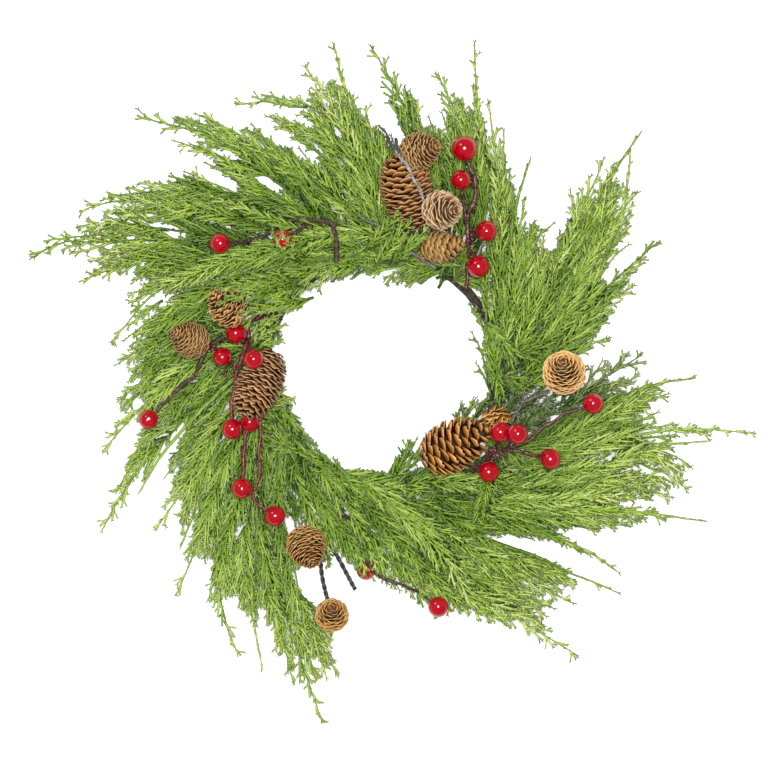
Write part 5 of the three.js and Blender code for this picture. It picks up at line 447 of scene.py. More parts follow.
# sprigs that lie over cones and berries: centre line with its height, and reach
OVER = {
    'left_upper': [
        ('M3', [[-156.0, 89.4, 8], [-165.0, 90.0, 8], [-173.4, 87.6, 7.5], [-181.8, 83.4, 7]], 3.6, 3.6, 'f', 0.62),
        ('M7', [[-147.6, 72.6, 8], [-157.8, 72.0, 8], [-167.4, 69.6, 7.5], [-177.0, 65.4, 7]], 3.6, 3.6, 'f', 0.6),
        ('M10', [[-139.2, 89.4, 8], [-150.0, 94.2, 8], [-159.0, 96.6, 7.5], [-168.6, 96.0, 7]], 3.6, 3.6, 'f', 0.6),
    ],
    'upper_right': [
        ('M4', [[130.8, 92.4, 9], [134.4, 103.2, 9], [137.4, 114.0, 8.5], [140.4, 124.2, 8]], 4.2, 4.2, 'f', 0.62),
    ],
    'lower_right': [
        ('M5', [[75.6, -130.2, 9], [83.4, -136.2, 9], [91.8, -142.2, 8.5], [100.2, -148.8, 8]], 4.2, 4.2, 'f', 0.62),
        ('S1', [[63.6, -100.8, 20], [78.0, -106.2, 22], [95.4, -112.2, 22], [112.2, -121.2, 20]], 1.2, 1.2, 's', 0.25),
    ],
    'lower_right_mid': [
        ('M9', [[150.0, -70.8, 9], [159.6, -72.6, 9], [168.0, -74.4, 8.5], [176.4, -76.8, 8]], 3.0, 3.0, 'f', 0.62),
    ],
    'left_lower': [
        ('M1', [[-122.4, 27.0, 9], [-133.2, 20.4, 9], [-143.4, 13.2, 8.5], [-153.6, 4.2, 8]], 4.2, 4.2, 'f', 0.58),
        ('M2', [[-132.0, 42.6, 9], [-139.8, 37.2, 9], [-146.4, 32.4, 8.5], [-153.6, 26.4, 8]], 2.4, 2.4, 'f', 0.58),
    ],
    'lower_left': [
        ('M6', [[-114.0, -65.4, 9], [-116.4, -77.4, 9], [-118.8, -88.2, 8.5], [-120.6, -99.0, 8]], 3.0, 3.0, 'f', 0.6),
        ('M8', [[-42.0, -161.4, 9], [-38.4, -170.4, 9], [-35.4, -178.2, 8.5], [-33.0, -186.6, 8]], 3.0, 2.4, 'f', 0.6),
    ],
    'left_inner': [
        ('O1', [[-46.8, 49.8, 34], [-64.8, 48.0, 45], [-81.6, 44.4, 54], [-97.8, 40.2, 54.5]], 7.2, 6.6, 'f', 0.54),
        ('O2', [[-40.8, 43.8, 33], [-56.4, 40.2, 43], [-72.0, 36.6, 51], [-86.4, 34.2, 53]], 4.8, 4.2, 'f', 0.5),
        ('O3', [[-50.4, 54.6, 36], [-67.2, 54.0, 45], [-82.8, 51.0, 53], [-96.0, 48.0, 54]], 5.4, 5.4, 'f', 0.56),
        ('O4', [[-49.2, 65.4, 32], [-58.8, 72.6, 40], [-63.6, 78.6, 45], [-66.0, 83.4, 46]], 1.8, 1.8, 'f', 0.6),
        ('O5', [[-45.6, 67.8, 32], [-54.0, 74.4, 40], [-58.2, 79.8, 45], [-60.6, 85.8, 46]], 1.8, 1.8, 'f', 0.6),
    ],
    'left': [
        ('Q1', [[-78.0, 12.6, 30], [-72.0, 19.8, 33], [-64.8, 25.2, 32], [-56.4, 27.6, 26]], 2.4, 2.4, 'f', 0.6),
        ('Q2', [[-79.2, 16.2, 30], [-74.4, 24.6, 33], [-67.2, 30.6, 33], [-58.8, 34.2, 28]], 2.4, 2.4, 'f', 0.6),
        ('Q3', [[-75.6, 11.4, 30], [-69.6, 15.0, 32], [-63.6, 16.8, 30], [-58.2, 17.4, 26]], 2.4, 2.4, 'f', 0.6),
        ('Q4', [[-73.2, -19.8, 22], [-66.0, -16.2, 26], [-61.2, -12.6, 24], [-58.2, -9.0, 20]], 2.4, 2.4, 'f', 0.6),
        ('Q5', [[-72.0, -24.6, 22], [-63.6, -19.8, 26], [-57.6, -17.4, 24], [-51.6, -15.6, 18]], 2.4, 2.4, 'f', 0.6),
    ],
    'top_left': [
        ('O6', [[-4.8, 61.8, 36], [3.6, 72.6, 45], [10.8, 81.0, 51], [16.8, 90.0, 55]], 5.4, 4.8, 'f', 0.5),
        ('O7', [[-10.8, 71.4, 34], [-3.0, 79.2, 38], [3.6, 85.8, 44], [10.2, 94.2, 50]], 4.8, 4.8, 'f', 0.48),
        ('O8', [[4.8, 63.0, 36], [13.2, 71.4, 44], [20.4, 78.6, 49], [27.6, 84.0, 51]], 4.8, 4.2, 'f', 0.5),
        ('R1', [[4.8, 61.8, 22], [7.8, 71.4, 23], [10.2, 79.8, 23], [12.0, 90.0, 22]], 4.8, 4.8, 'f', 0.25),
        ('R1b', [[12.0, 61.8, 22], [14.4, 71.4, 23], [16.2, 79.8, 23], [17.4, 88.2, 22]], 4.2, 4.2, 'f', 0.25),
    ],
    'top_right': [
        ('R2', [[33.6, 61.8, 15], [38.4, 71.4, 16], [40.8, 81.0, 16], [42.0, 93.0, 16]], 4.8, 4.8, 'f', 0.22),
        ('R3', [[32.4, 55.8, 17], [37.8, 58.2, 17], [43.8, 61.8, 17], [50.4, 66.0, 17]], 3.6, 3.6, 'f', 0.25),
        ('R7', [[52.8, 60.6, 15], [54.6, 70.2, 16], [56.4, 79.8, 16], [57.6, 94.2, 16]], 4.8, 4.8, 'f', 0.25),
        ('R4', [[33.6, 49.8, 15], [37.8, 57.6, 15], [42.0, 65.4, 15], [46.2, 75.0, 15]], 4.8, 4.8, 'f', 0.25),
    ],
    'upper_right_inner': [
        ('P1', [[64.8, -10.2, 22], [62.4, 3.0, 23], [58.8, 13.8, 22], [53.4, 24.0, 20]], 1.2, 1.2, 'd', 0.4),
        ('P3', [[66.0, -16.2, 20], [63.6, -9.0, 21], [60.0, -1.8, 20], [55.8, 6.0, 18]], 1.2, 1.2, 'd', 0.38),
        ('P5', [[61.2, 24.6, 22], [57.6, 31.8, 22], [54.6, 36.6, 21], [52.2, 40.8, 20]], 1.8, 1.2, 'f', 0.42),
    ],
    'bottom': [
        ('O9', [[-18.0, -106.2, 28], [-13.2, -112.2, 30], [-10.8, -117.0, 30], [-9.6, -123.0, 28]], 1.8, 1.8, 'f', 0.6),
        ('O9b', [[-9.6, -106.2, 28], [-6.0, -112.2, 30], [-3.6, -117.6, 29], [-2.4, -123.6, 27]], 1.8, 1.8, 'f', 0.6),
        ('O9c', [[-24.0, -95.4, 28], [-18.6, -101.4, 29], [-13.8, -107.4, 29], [-10.2, -114.0, 28]], 3.0, 3.0, 'f', 0.45),
        ('O9d', [[-28.8, -91.8, 27], [-23.4, -99.0, 28], [-19.2, -106.2, 28], [-16.8, -113.4, 26]], 3.0, 3.0, 'f', 0.4),
        ('R9', [[-57.6, -69.0, 14], [-54.6, -77.4, 14], [-51.6, -85.8, 13], [-49.2, -93.6, 12]], 3.6, 3.6, 'f', 0.3),
        ('R10', [[-38.4, -94.2, 12], [-36.0, -102.0, 12], [-33.6, -110.4, 11], [-30.6, -117.6, 10]], 3.0, 3.0, 'f', 0.3),
    ],
    'bottom_right': [
        ('R5', [[42.0, -70.2, 11], [52.8, -64.8, 12], [63.0, -60.0, 12], [74.4, -54.6, 12]], 4.8, 4.8, 'f', 0.25),
        ('R6', [[62.4, -73.8, 13], [69.6, -66.0, 13], [76.2, -58.2, 13], [84.0, -50.4, 13]], 4.8, 4.8, 'f', 0.25),
        ('O10', [[3.6, -67.8, 18], [10.8, -58.2, 20], [16.8, -48.6, 20], [21.6, -39.6, 19]], 1.8, 1.2, 'f', 0.3),
        ('O11', [[1.2, -65.4, 18], [7.8, -58.2, 20], [12.6, -50.4, 20], [16.2, -42.0, 19]], 1.8, 1.2, 'f', 0.3),
        ('O13', [[13.2, -61.8, 19], [19.8, -54.6, 20], [25.2, -48.6, 20], [29.4, -43.2, 19]], 1.2, 1.2, 'f', 0.3),
        ('R11', [[8.4, -67.8, 15], [16.8, -64.2, 16], [25.8, -60.6, 16], [36.0, -57.6, 15]], 3.6, 3.6, 'f', 0.34),
        ('R12', [[40.8, -66.6, 10], [48.0, -60.6, 11], [55.2, -55.2, 12], [64.8, -48.6, 12]], 4.8, 4.8, 'f', 0.2),
    ],
    'right_low': [
        ('R8', [[72.6, -45.0, 12], [81.0, -37.8, 13], [89.4, -30.6, 13], [99.6, -22.2, 13]], 5.4, 5.4, 'f', 0.3),
        ('R8b', [[76.8, -39.0, 12], [85.2, -31.8, 13], [93.0, -24.6, 13], [102.0, -16.2, 13]], 4.2, 4.2, 'f', 0.3),
        ('F6', [[115.2, -18.6, 15], [122.4, -9.0, 16], [128.4, -1.2, 16], [133.2, 7.2, 15]], 4.2, 4.2, 'd', 0.5),
        ('F7', [[123.6, -13.2, 15], [133.2, -4.8, 16], [140.4, 1.2, 16], [147.0, 9.0, 15]], 4.2, 4.2, 'd', 0.5),
        ('F0', [[82.8, -23.4, 14], [89.4, -18.6, 15], [95.4, -13.8, 15], [101.4, -10.2, 15]], 3.0, 3.0, 'f', 0.35),
        ('F1', [[81.6, -37.8, 13], [90.0, -33.0, 14], [97.8, -27.6, 14], [104.4, -22.2, 14]], 4.2, 4.2, 'f', 0.35),
        ('F2', [[70.8, -31.8, 13], [75.6, -24.0, 14], [80.4, -15.0, 14], [84.0, -6.6, 15]], 3.6, 3.6, 'f', 0.33),
        ('F3', [[43.8, -32.4, 14], [46.2, -25.2, 16], [48.0, -17.4, 17]], 2.4, 2.4, 'd', 0.35),
        ('F4', [[49.2, -31.2, 14], [52.8, -23.4, 16], [57.0, -15.0, 17]], 2.4, 2.4, 'd', 0.35),
        ('F5', [[55.2, -28.8, 14], [59.4, -21.6, 16], [64.2, -13.8, 17]], 2.4, 2.4, 'd', 0.35),
        ('F8', [[127.2, -16.8, 14], [136.8, -11.4, 15], [146.4, -7.2, 15], [155.4, -2.4, 14]], 4.2, 3.6, 'd', 0.5),
    ],
}
# openings between the fronds: centre, half length, half width, angle
OPENINGS = [
    (-110.7, -118.8, 8.4, 7.3, 2.6), (111.5, -112.4, 8.1, 6.9, 2.95), (97.5, -107.2, 9.0, 6.3, 2.93), (-26.0, -131.3, 7.8, 6.9, 2.47),
    (-30.2, -119.5, 8.3, 6.1, -1.56), (148.0, 72.6, 8.4, 6.6, -1.16), (0.3, 151.6, 9.2, 6.0, -2.76), (-45.0, -124.9, 7.7, 6.1, -2.97),
    (-41.9, -134.9, 7.1, 6.5, -3.01), (7.5, 142.6, 7.2, 6.5, -1.3), (-84.8, -151.0, 7.5, 5.6, -2.91), (-105.6, 121.5, 7.6, 5.3, -1.14),
    (-90.4, -142.4, 7.5, 5.5, -1.52), (-94.7, 112.9, 8.6, 4.4, 2.74), (-154.1, -44.4, 7.5, 5.4, -1.67), (-70.5, 156.9, 7.1, 4.5, 3.02),
    (126.1, 7.8, 6.2, 5.1, -1.96), (122.9, -100.4, 6.1, 5.1, -1.54), (123.6, -115.7, 6.4, 4.8, -3.05), (-78.3, 152.1, 8.7, 3.6, -1.13),
    (-133.9, -58.4, 7.2, 4.3, -2.23), (-60.9, 140.9, 7.4, 4.0, 3.01), (-174.7, 66.3, 6.2, 5.2, -1.91), (-70.5, 148.1, 5.8, 4.5, -1.52),
    (-51.3, 134.8, 8.1, 3.6, -1.03), (-148.5, 30.5, 5.7, 4.5, -3.01), (-69.9, -158.0, 5.6, 4.4, -2.8), (-129.0, -48.5, 6.5, 3.7, -2.11),
    (143.1, 66.0, 7.5, 3.2, 2.5), (168.3, -79.5, 6.3, 3.8, -0.8), (-123.1, -37.2, 7.4, 3.1, -2.18), (83.6, -103.7, 6.8, 3.3, 2.88),
    (70.3, -101.4, 9.3, 2.7, 2.91), (97.8, -147.4, 6.3, 3.7, -1.07), (-152.0, -35.6, 6.7, 3.6, -2.6), (-136.9, 43.2, 5.1, 3.8, -2.97),
    (-151.9, 21.5, 6.3, 3.3, -1.43), (125.0, -4.3, 7.1, 2.9, -1.7), (34.3, 149.6, 5.8, 3.3, -0.84), (161.4, -79.7, 4.6, 4.3, 3.11),
    (124.2, -124.6, 5.9, 3.4, -2.25), (26.5, 151.8, 5.2, 3.6, -3.11), (134.7, 121.7, 5.6, 3.0, -2.15), (-146.8, 51.4, 6.3, 3.0, -2.54),
    (-116.8, -98.5, 7.8, 2.2, -1.63), (159.4, -59.7, 7.3, 2.6, 2.68), (116.0, -98.9, 5.6, 2.9, -1.93), (-51.0, 167.0, 6.8, 2.6, -3.04),
    (-165.0, 97.7, 5.6, 3.2, -2.9), (-117.2, 140.3, 5.2, 3.1, 2.78), (177.3, -49.7, 5.2, 3.2, -1.35), (150.8, -9.3, 7.1, 2.1, -2.97),
    (-58.6, 155.7, 5.7, 3.2, 2.58), (-64.5, 109.9, 6.5, 2.2, -0.91), (35.4, 55.3, 5.1, 2.9, 2.94), (118.7, -122.0, 6.3, 4.4, -1.64),
    (-51.9, 156.3, 4.9, 3.5, -2.06), (-135.4, -65.0, 6.3, 2.2, -2.9), (-86.2, -97.6, 5.2, 2.4, -1.7), (149.3, -79.8, 7.3, 1.8, 3.08),
    (-16.5, -124.4, 4.2, 2.8, -1.54), (51.7, 163.1, 4.7, 2.5, -1.91), (-56.2, -93.1, 4.7, 2.4, -1.51), (-173.3, 97.0, 3.9, 2.7, -2.93),
    (-125.4, -81.7, 4.3, 2.8, -2.33), (-128.3, -64.4, 3.3, 3.2, -2.82), (135.3, 58.6, 4.1, 2.7, -2.65), (17.4, -57.0, 5.0, 2.1, -2.66),
    (4.2, -58.1, 4.7, 2.4, -2.8), (-19.1, -119.1, 3.5, 3.0, -0.88), (63.1, -12.1, 5.0, 2.0, -1.67), (-46.6, 150.6, 5.6, 2.4, 2.92),
    (137.9, 63.8, 4.9, 2.1, -1.08), (163.5, -23.4, 4.3, 2.3, -1.49), (-157.5, -62.4, 5.8, 1.8, -2.11), (-83.1, 150.3, 5.7, 2.6, -1.6),
    (142.2, -2.8, 4.0, 2.4, -2.1), (-72.4, -146.6, 3.8, 2.4, -1.23), (134.9, 0.2, 3.9, 2.3, -2.31), (-90.8, 147.8, 6.1, 1.9, 2.99),
    (-122.5, 83.9, 4.3, 2.1, -2.26), (-15.7, 58.9, 5.0, 1.7, -2.65), (-140.6, 38.4, 3.8, 2.3, -1.01), (13.8, -52.7, 4.4, 1.9, -1.89),
    (-182.5, 83.9, 3.5, 2.4, 2.99), (-62.5, 14.3, 4.2, 2.1, -1.01), (163.3, -41.3, 4.9, 1.8, 3.0), (-128.3, 83.1, 4.0, 2.0, 2.86),
    (102.1, 81.2, 3.8, 2.1, -2.74), (-39.6, -176.8, 5.4, 1.6, -1.5), (-9.0, -120.0, 5.4, 5.1, 0.0), (-20.1, -87.3, 3.6, 1.8, -0.31),
    (-72.6, 34.5, 6.6, 1.9, 0.65), (59.4, 29.4, 12.6, 5.1, -1.12), (56.7, 8.4, 13.2, 5.4, -1.43), (-69.6, 113.4, 10.2, 2.7, -0.61),
    (-94.8, 114.0, 6.6, 2.2, -0.38), (-94.2, 131.4, 8.4, 2.4, -0.35), (-124.2, -41.4, 10.8, 2.4, 1.08), (-146.4, -16.8, 4.8, 2.2, -0.87),
    (-148.2, -67.8, 4.8, 2.0, 1.05), (-53.4, -76.8, 5.4, 2.4, -0.96), (25.8, -73.2, 10.8, 2.2, 0.21), (159.6, -37.8, 8.4, 2.0, 0.09),
    (136.8, -51.6, 5.4, 1.4, 0.26), (65.4, 149.4, 6.0, 2.4, -1.31), (78.6, 119.4, 6.0, 2.4, -1.05), (-36.0, 129.0, 5.4, 2.4, -0.52),
    (-26.4, 143.4, 4.8, 2.4, -1.05), (-22.2, 123.6, 4.8, 2.1, -0.7), (-140.4, 93.6, 4.2, 2.4, -0.35), (-125.4, 84.6, 7.8, 2.7, -0.26),
    (82.8, -104.4, 20.4, 4.8, -0.21), (7.2, 62.4, 6.0, 2.7, -0.35), (-44.4, 42.6, 4.8, 3.6, 0.7), (-30.6, -55.8, 10.2, 3.0, -0.56),
    (12.0, -52.8, 4.2, 2.4, 1.05), (21.6, -45.6, 4.8, 2.4, 1.05), (75.6, 132.6, 9.6, 3.0, -1.22),
]

# ------------------------------------------------------------------ heights of the layers (as in the CAD source)
DOME_R = np.array([0, 71, 108, 145, 185, 215, 260.0])
DOME_Z = np.array([9.0, 9.2, 11.8, 10.5, 6.2, 3.4, 2.4])
LAYER_STEP = 5.2


def smooth(t):
    t = np.clip(t, 0, 1)
    return t * t * (3 - 2 * t)


def dome(r):
    i = np.clip(np.searchsorted(DOME_R, r) - 1, 0, len(DOME_R) - 2)
    t = (r - DOME_R[i]) / (DOME_R[i + 1] - DOME_R[i])
    return DOME_Z[i] + (DOME_Z[i + 1] - DOME_Z[i]) * smooth(t)


def layer_height(x, y, layer):
    r = np.hypot(x, y)
    return dome(r) + LAYER_STEP * layer * (1 - 0.30 * smooth((r - 130) / 90))


# ------------------------------------------------------------------ mesh building
class Bag:
    """Collects closed tubes, plates and other faces, and makes one mesh from them."""

    def __init__(self):
        self.co, self.faces, self.uv, self.mat, self.n = [], [], [], [], 0

    def add(self, co, faces, uv, mat=0):
        """co (n,3) mm; faces (f,k) indices; uv (f,k,2)."""
        self.co.append(np.asarray(co, float))
        self.faces.append(np.asarray(faces) + self.n)
        self.uv.append(np.asarray(uv, float))
        self.mat.append(np.full(len(faces), mat))
        self.n += len(co)

    def tubes(self, P, R, up, U, V, sides=3, flat=0.8, mat=0, dv=0.03, turn=0.25):
        """N closed tubes of K rings. P (N,K,3), R (N,K) half widths, up (N,3) or (3,), U (N,K) tipness, V (N,) tone."""
        P = np.asarray(P, float)
        N, K, _ = P.shape
        if N == 0:
            return
        T = np.gradient(P, axis=1)
        T /= np.maximum(np.linalg.norm(T, axis=2, keepdims=True), 1e-9)
        up = np.broadcast_to(np.asarray(up, float), (N, 3))[:, None, :]
        S = np.cross(np.broadcast_to(up, P.shape), T)
        S /= np.maximum(np.linalg.norm(S, axis=2, keepdims=True), 1e-9)
        W = np.cross(T, S)
        a = 2 * np.pi * (np.arange(sides) / sides + turn)
        flat = np.broadcast_to(np.asarray(flat, float), (N,))[:, None, None, None]
        ring = P[:, :, None, :] + R[:, :, None, None] * (
            S[:, :, None, :] * np.cos(a)[None, None, :, None] + W[:, :, None, :] * np.sin(a)[None, None, :, None] * flat)
        co = ring.reshape(-1, 3)
        base = (np.arange(N) * K * sides)[:, None, None]
        k = np.arange(K - 1)[None, :, None] * sides
        j = np.arange(sides)[None, None, :]
        j1 = (j + 1) % sides
        q = np.stack([base + k + j, base + k + j1, base + k + sides + j1, base + k + sides + j], -1).reshape(-1, 4)
        U = np.broadcast_to(U, (N, K))
        vj = V[:, None, None] + dv * (np.arange(sides + 1) / sides - 0.5)[None, None, :]
        u0 = np.broadcast_to(U[:, :-1, None], (N, K - 1, sides))
        u1 = np.broadcast_to(U[:, 1:, None], (N, K - 1, sides))
        v0 = np.broadcast_to(vj[:, :, :-1], (N, K - 1, sides))
        v1 = np.broadcast_to(vj[:, :, 1:], (N, K - 1, sides))
        uv = np.stack([np.stack([u0, v0], -1), np.stack([u0, v1], -1), np.stack([u1, v1], -1), np.stack([u1, v0], -1)], -2)
        self.co.append(co)
        self.faces.append(q + self.n)
        self.uv.append(uv.reshape(-1, 4, 2))
        self.mat.append(np.full(len(q), mat))
        cap0 = (base[:, :, 0] + np.arange(sides)[None, ::-1])
        cap1 = (base[:, :, 0] + (K - 1) * sides + np.arange(sides)[None, :])
        cu = 0.008 * np.cos(2 * np.pi * np.arange(sides) / sides)
        cv = dv * 0.4 * np.sin(2 * np.pi * np.arange(sides) / sides)
        for cap, col in ((cap0, 0), (cap1, K - 1)):
            uvc = np.stack([U[:, col, None] + cu[None, :], V[:, None] + cv[None, :]], -1)
            self.faces.append(cap + self.n)
            self.uv.append(uvc)
            self.mat.append(np.full(N, mat))
        self.n += len(co)

    def wedges(self, A, B, r0, r1, u0, u1, v, mat=0):
        """Short blunt prongs of nearly even width: four-faced wedges from A to B, their two end edges crossed."""
        N = len(A)
        D = B - A
        D /= np.maximum(np.linalg.norm(D, axis=1, keepdims=True), 1e-9)
        S = np.cross(np.array([0, 0, 1.0]), D)
        S /= np.maximum(np.linalg.norm(S, axis=1, keepdims=True), 1e-9)
        W = np.cross(D, S)
        e0, e1 = (S + W) * r0[:, None], (S - W) * r1[:, None]
        co = np.stack([A + e0, A - e0, B + e1, B - e1], 1).reshape(-1, 3)
        f = np.array([[0, 2, 1], [0, 1, 3], [0, 3, 2], [1, 2, 3]])
        faces = (np.arange(N) * 4)[:, None, None] + f[None]
        cu = np.stack([u0, u0, u1, u1], 1)
        cv = np.stack([v + 0.012, v - 0.012, v + 0.012, v - 0.012], 1)
        uv = np.stack([cu[:, f], cv[:, f]], -1)
        self.co.append(co)
        self.faces.append(faces.reshape(-1, 3) + self.n)
        self.uv.append(uv.reshape(-1, 3, 2))
        self.mat.append(np.full(N * 4, mat))
        self.n += len(co)

    def object(self, name, materials, smooth_shade=True, uv_name="OFBake"):
        co = np.concatenate(self.co) * MM + ORIGIN
        loops, starts, uvs, mats, at = [], [], [], [], 0
        for f, uv, m in zip(self.faces, self.uv, self.mat):
            n, k = f.shape
            loops.append(f.reshape(-1))
            starts.append(at + np.arange(n) * k)
            uvs.append(uv.reshape(-1, 2))
            mats.append(m)
            at += n * k
        loops, starts, uvs, mats = np.concatenate(loops), np.concatenate(starts), np.concatenate(uvs), np.concatenate(mats)
        me = bpy.data.meshes.new(name)
        me.vertices.add(len(co))
        me.vertices.foreach_set("co", co.astype(np.float32).ravel())
        me.loops.add(len(loops))
        me.loops.foreach_set("vertex_index", loops.astype(np.int32))
        me.polygons.add(len(starts))
        me.polygons.foreach_set("loop_start", starts.astype(np.int32))
        me.polygons.foreach_set("material_index", mats.astype(np.int32))
        me.polygons.foreach_set("use_smooth", np.full(len(starts), smooth_shade))
        if uv_name:
            layer = me.uv_layers.new(name=uv_name)
            layer.data.foreach_set("uv", np.clip(uvs, 0.001, 0.999).astype(np.float32).ravel())
        for m in materials:
            me.materials.append(m)
        me.update(calc_edges=True)
        me.validate()
        ob = bpy.data.objects.new(name, me)
        bpy.context.scene.collection.objects.link(ob)
        return ob


def place(ob, slot, *nodes):
    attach(ob, "root")
    if nodes:
        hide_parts(*nodes)
    return ob


def spline(points, n):
    """n points evenly spaced on a Catmull-Rom curve through points, and its length."""
    P = np.asarray(points, float)
    Q = np.vstack([2 * P[0] - P[1], P, 2 * P[-1] - P[-2]])
    out = []
    t = np.linspace(0, 1, 12, endpoint=False)[:, None]
    for i in range(1, len(Q) - 2):
        a, b, c, d = Q[i - 1], Q[i], Q[i + 1], Q[i + 2]
        out.append(0.5 * (2 * b + (c - a) * t + (2 * a - 5 * b + 4 * c - d) * t * t + (3 * b - a - 3 * c + d) * t ** 3))
    out.append(P[-1:])
    C = np.vstack(out)
    s = np.r_[0, np.cumsum(np.linalg.norm(np.diff(C, axis=0), axis=1))]
    at = np.linspace(0, s[-1], n)
    return np.stack([np.interp(at, s, C[:, k]) for k in range(C.shape[1])], 1), s[-1]


# ------------------------------------------------------------------ materials
def nodes_of(name):
    m = bpy.data.materials.new(name)
    m.use_nodes = True
    nt = m.node_tree
    b = nt.nodes.get("Principled BSDF")
    return m, nt, b


def ramp(nt, fac, stops, interp="LINEAR"):
    r = nt.nodes.new("ShaderNodeValToRGB")
    r.color_ramp.interpolation = interp
    e = r.color_ramp.elements
    while len(e) > 1:
        e.remove(e[-1])
    e[0].position, e[0].color = stops[0][0], (*stops[0][1], 1)
    for p, c in stops[1:]:
        x = e.new(p)
        x.color = (*c, 1)
    nt.links.new(fac, r.inputs["Fac"])
    return r.outputs["Color"]


def math_node(nt, op, a, b=None, clamp=False):
    m = nt.nodes.new("ShaderNodeMath")
    m.operation, m.use_clamp = op, clamp
    for i, v in enumerate((a, b)):
        if v is None:
            continue
        if isinstance(v, (int, float)):
            m.inputs[i].default_value = v
        else:
            nt.links.new(v, m.inputs[i])
    return m.outputs[0]


def mix_colour(nt, fac, a, b, blend="MIX"):
    m = nt.nodes.new("ShaderNodeMix")
    m.data_type, m.blend_type = "RGBA", blend
    for sock, v in ((m.inputs[0], fac), (m.inputs[6], a), (m.inputs[7], b)):
        if isinstance(v, (int, float)):
            sock.default_value = v
        elif isinstance(v, tuple):
            sock.default_value = (*v, 1)
        else:
            nt.links.new(v, sock)
    return m.outputs[2]


def noise(nt, scale, detail=2.0, rough=0.5, coord="Object", vector=None):
    n = nt.nodes.new("ShaderNodeTexNoise")
    n.inputs["Scale"].default_value = scale
    n.inputs["Detail"].default_value = detail
    n.inputs["Roughness"].default_value = rough
    if vector is None:
        c = nt.nodes.new("ShaderNodeTexCoord")
        vector = c.outputs[coord]
    nt.links.new(vector, n.inputs["Vector"])
    return n.outputs["Fac"]


def bump(nt, bsdf, height, strength=0.4, distance=0.0005):
    b = nt.nodes.new("ShaderNodeBump")
    b.inputs["Strength"].default_value = strength
    b.inputs["Distance"].default_value = distance
    nt.links.new(height, b.inputs["Height"])
    nt.links.new(b.outputs["Normal"], bsdf.inputs["Normal"])


def lin(r, g, b):
    """sRGB 0-255 to linear."""
    return tuple(((v / 255 + 0.055) / 1.055) ** 2.4 if v > 10 else v / 255 / 12.92 for v in (r, g, b))


def foliage_material(name, ramp_stops, tip):
    m, nt, b = nodes_of(name)
    uv = nt.nodes.new("ShaderNodeUVMap")
    uv.uv_map = "OFBake"
    sep = nt.nodes.new("ShaderNodeSeparateXYZ")
    nt.links.new(uv.outputs["UV"], sep.inputs["Vector"])
    u, v = sep.outputs["X"], sep.outputs["Y"]
    base = ramp(nt, v, ramp_stops)
    # neighbouring tones lean to yellow or to blue, so that twigs differ in hue and not only in lightness
    lean = math_node(nt, "SINE", math_node(nt, "MULTIPLY", v, 71.0))
    lean = math_node(nt, "ADD", math_node(nt, "MULTIPLY", lean, 0.5), 0.5)
    base = mix_colour(nt, math_node(nt, "MULTIPLY", lean, 0.5), base, mix_colour(nt, 1.0, base, (1.18, 1.0, 0.55), "MULTIPLY"))
    # pairs of scale leaves along a twig
    wave = math_node(nt, "SINE", math_node(nt, "MULTIPLY", u, 150.0))
    wave = math_node(nt, "ADD", math_node(nt, "MULTIPLY", wave, 0.5), 0.5)
    base = mix_colour(nt, math_node(nt, "MULTIPLY", wave, 0.35), base, mix_colour(nt, 1.0, base, (0.62, 0.7, 0.6), "MULTIPLY"))
    def between(lo, hi):
        r = nt.nodes.new("ShaderNodeMapRange")
        r.interpolation_type = "SMOOTHSTEP"
        r.inputs["From Min"].default_value = lo
        r.inputs["From Max"].default_value = hi
        nt.links.new(u, r.inputs["Value"])
        return r.outputs[0]

    # painted shade: each twig is darkened near where it leaves its branch, fading out towards its end
    painted_shade_near_base = mix_colour(nt, 1.0, base, (0.36, 0.48, 0.26), "MULTIPLY")
    base = mix_colour(nt, between(0.15, 0.62), painted_shade_near_base, base)
    col = mix_colour(nt, math_node(nt, "MULTIPLY", between(0.78, 0.98), 0.78), base, tip)
    nt.links.new(col, b.inputs["Base Color"])
    b.inputs["Roughness"].default_value = 0.46
    b.inputs["Specular IOR Level"].default_value = 0.30
    return m


def bark_material(name, dark, light, scale=900.0, rough=0.75):
    m, nt, b = nodes_of(name)
    n1 = noise(nt, scale, 4.0, 0.6)
    nt.links.new(ramp(nt, n1, [(0.3, dark), (0.7, light)]), b.inputs["Base Color"])
    b.inputs["Roughness"].default_value = rough
    bump(nt, b, noise(nt, scale * 1.7, 3.0), 0.6, 0.0004)
    return m


GREEN_STOPS = [(0.0, lin(20, 43, 2)), (0.2, lin(62, 98, 12)), (0.45, lin(125, 158, 50)), (0.7, lin(168, 190, 97)), (1.0, lin(200, 214, 152))]
GREEN = foliage_material("cedar_green", GREEN_STOPS, lin(112, 132, 76))
PALE = foliage_material("cedar_green_pale_tips", GREEN_STOPS, lin(148, 166, 106))
DARK = foliage_material("cedar_dark", [
    (0.0, lin(30, 50, 14)), (0.3, lin(76, 102, 44)), (0.6, lin(124, 150, 76)), (1.0, lin(180, 200, 130))], lin(150, 154, 130))
TWIG = bark_material("spray_stalk", lin(50, 62, 22), lin(86, 104, 40))

# ------------------------------------------------------------------ cedar sprays
PROFILE = {
    "f": ([0, 0.2, 0.45, 0.7, 0.88, 1], [0.35, 0.75, 1.0, 0.88, 0.52, 0.16]),
    "d": ([0, 0.2, 0.45, 0.7, 0.88, 1], [0.4, 0.8, 1.0, 1.0, 0.85, 0.45]),
    "n": ([0, 0.2, 0.45, 0.65, 0.82, 1], [0.35, 0.8, 1.0, 0.62, 0.28, 0.12]),
    "s": ([0, 0.2, 0.5, 0.7, 0.85, 1], [0.4, 1.0, 0.9, 0.45, 0.3, 0.2]),
}


def reach(kind, t):
    a, b = PROFILE[kind]
    return np.interp(t, a, b)


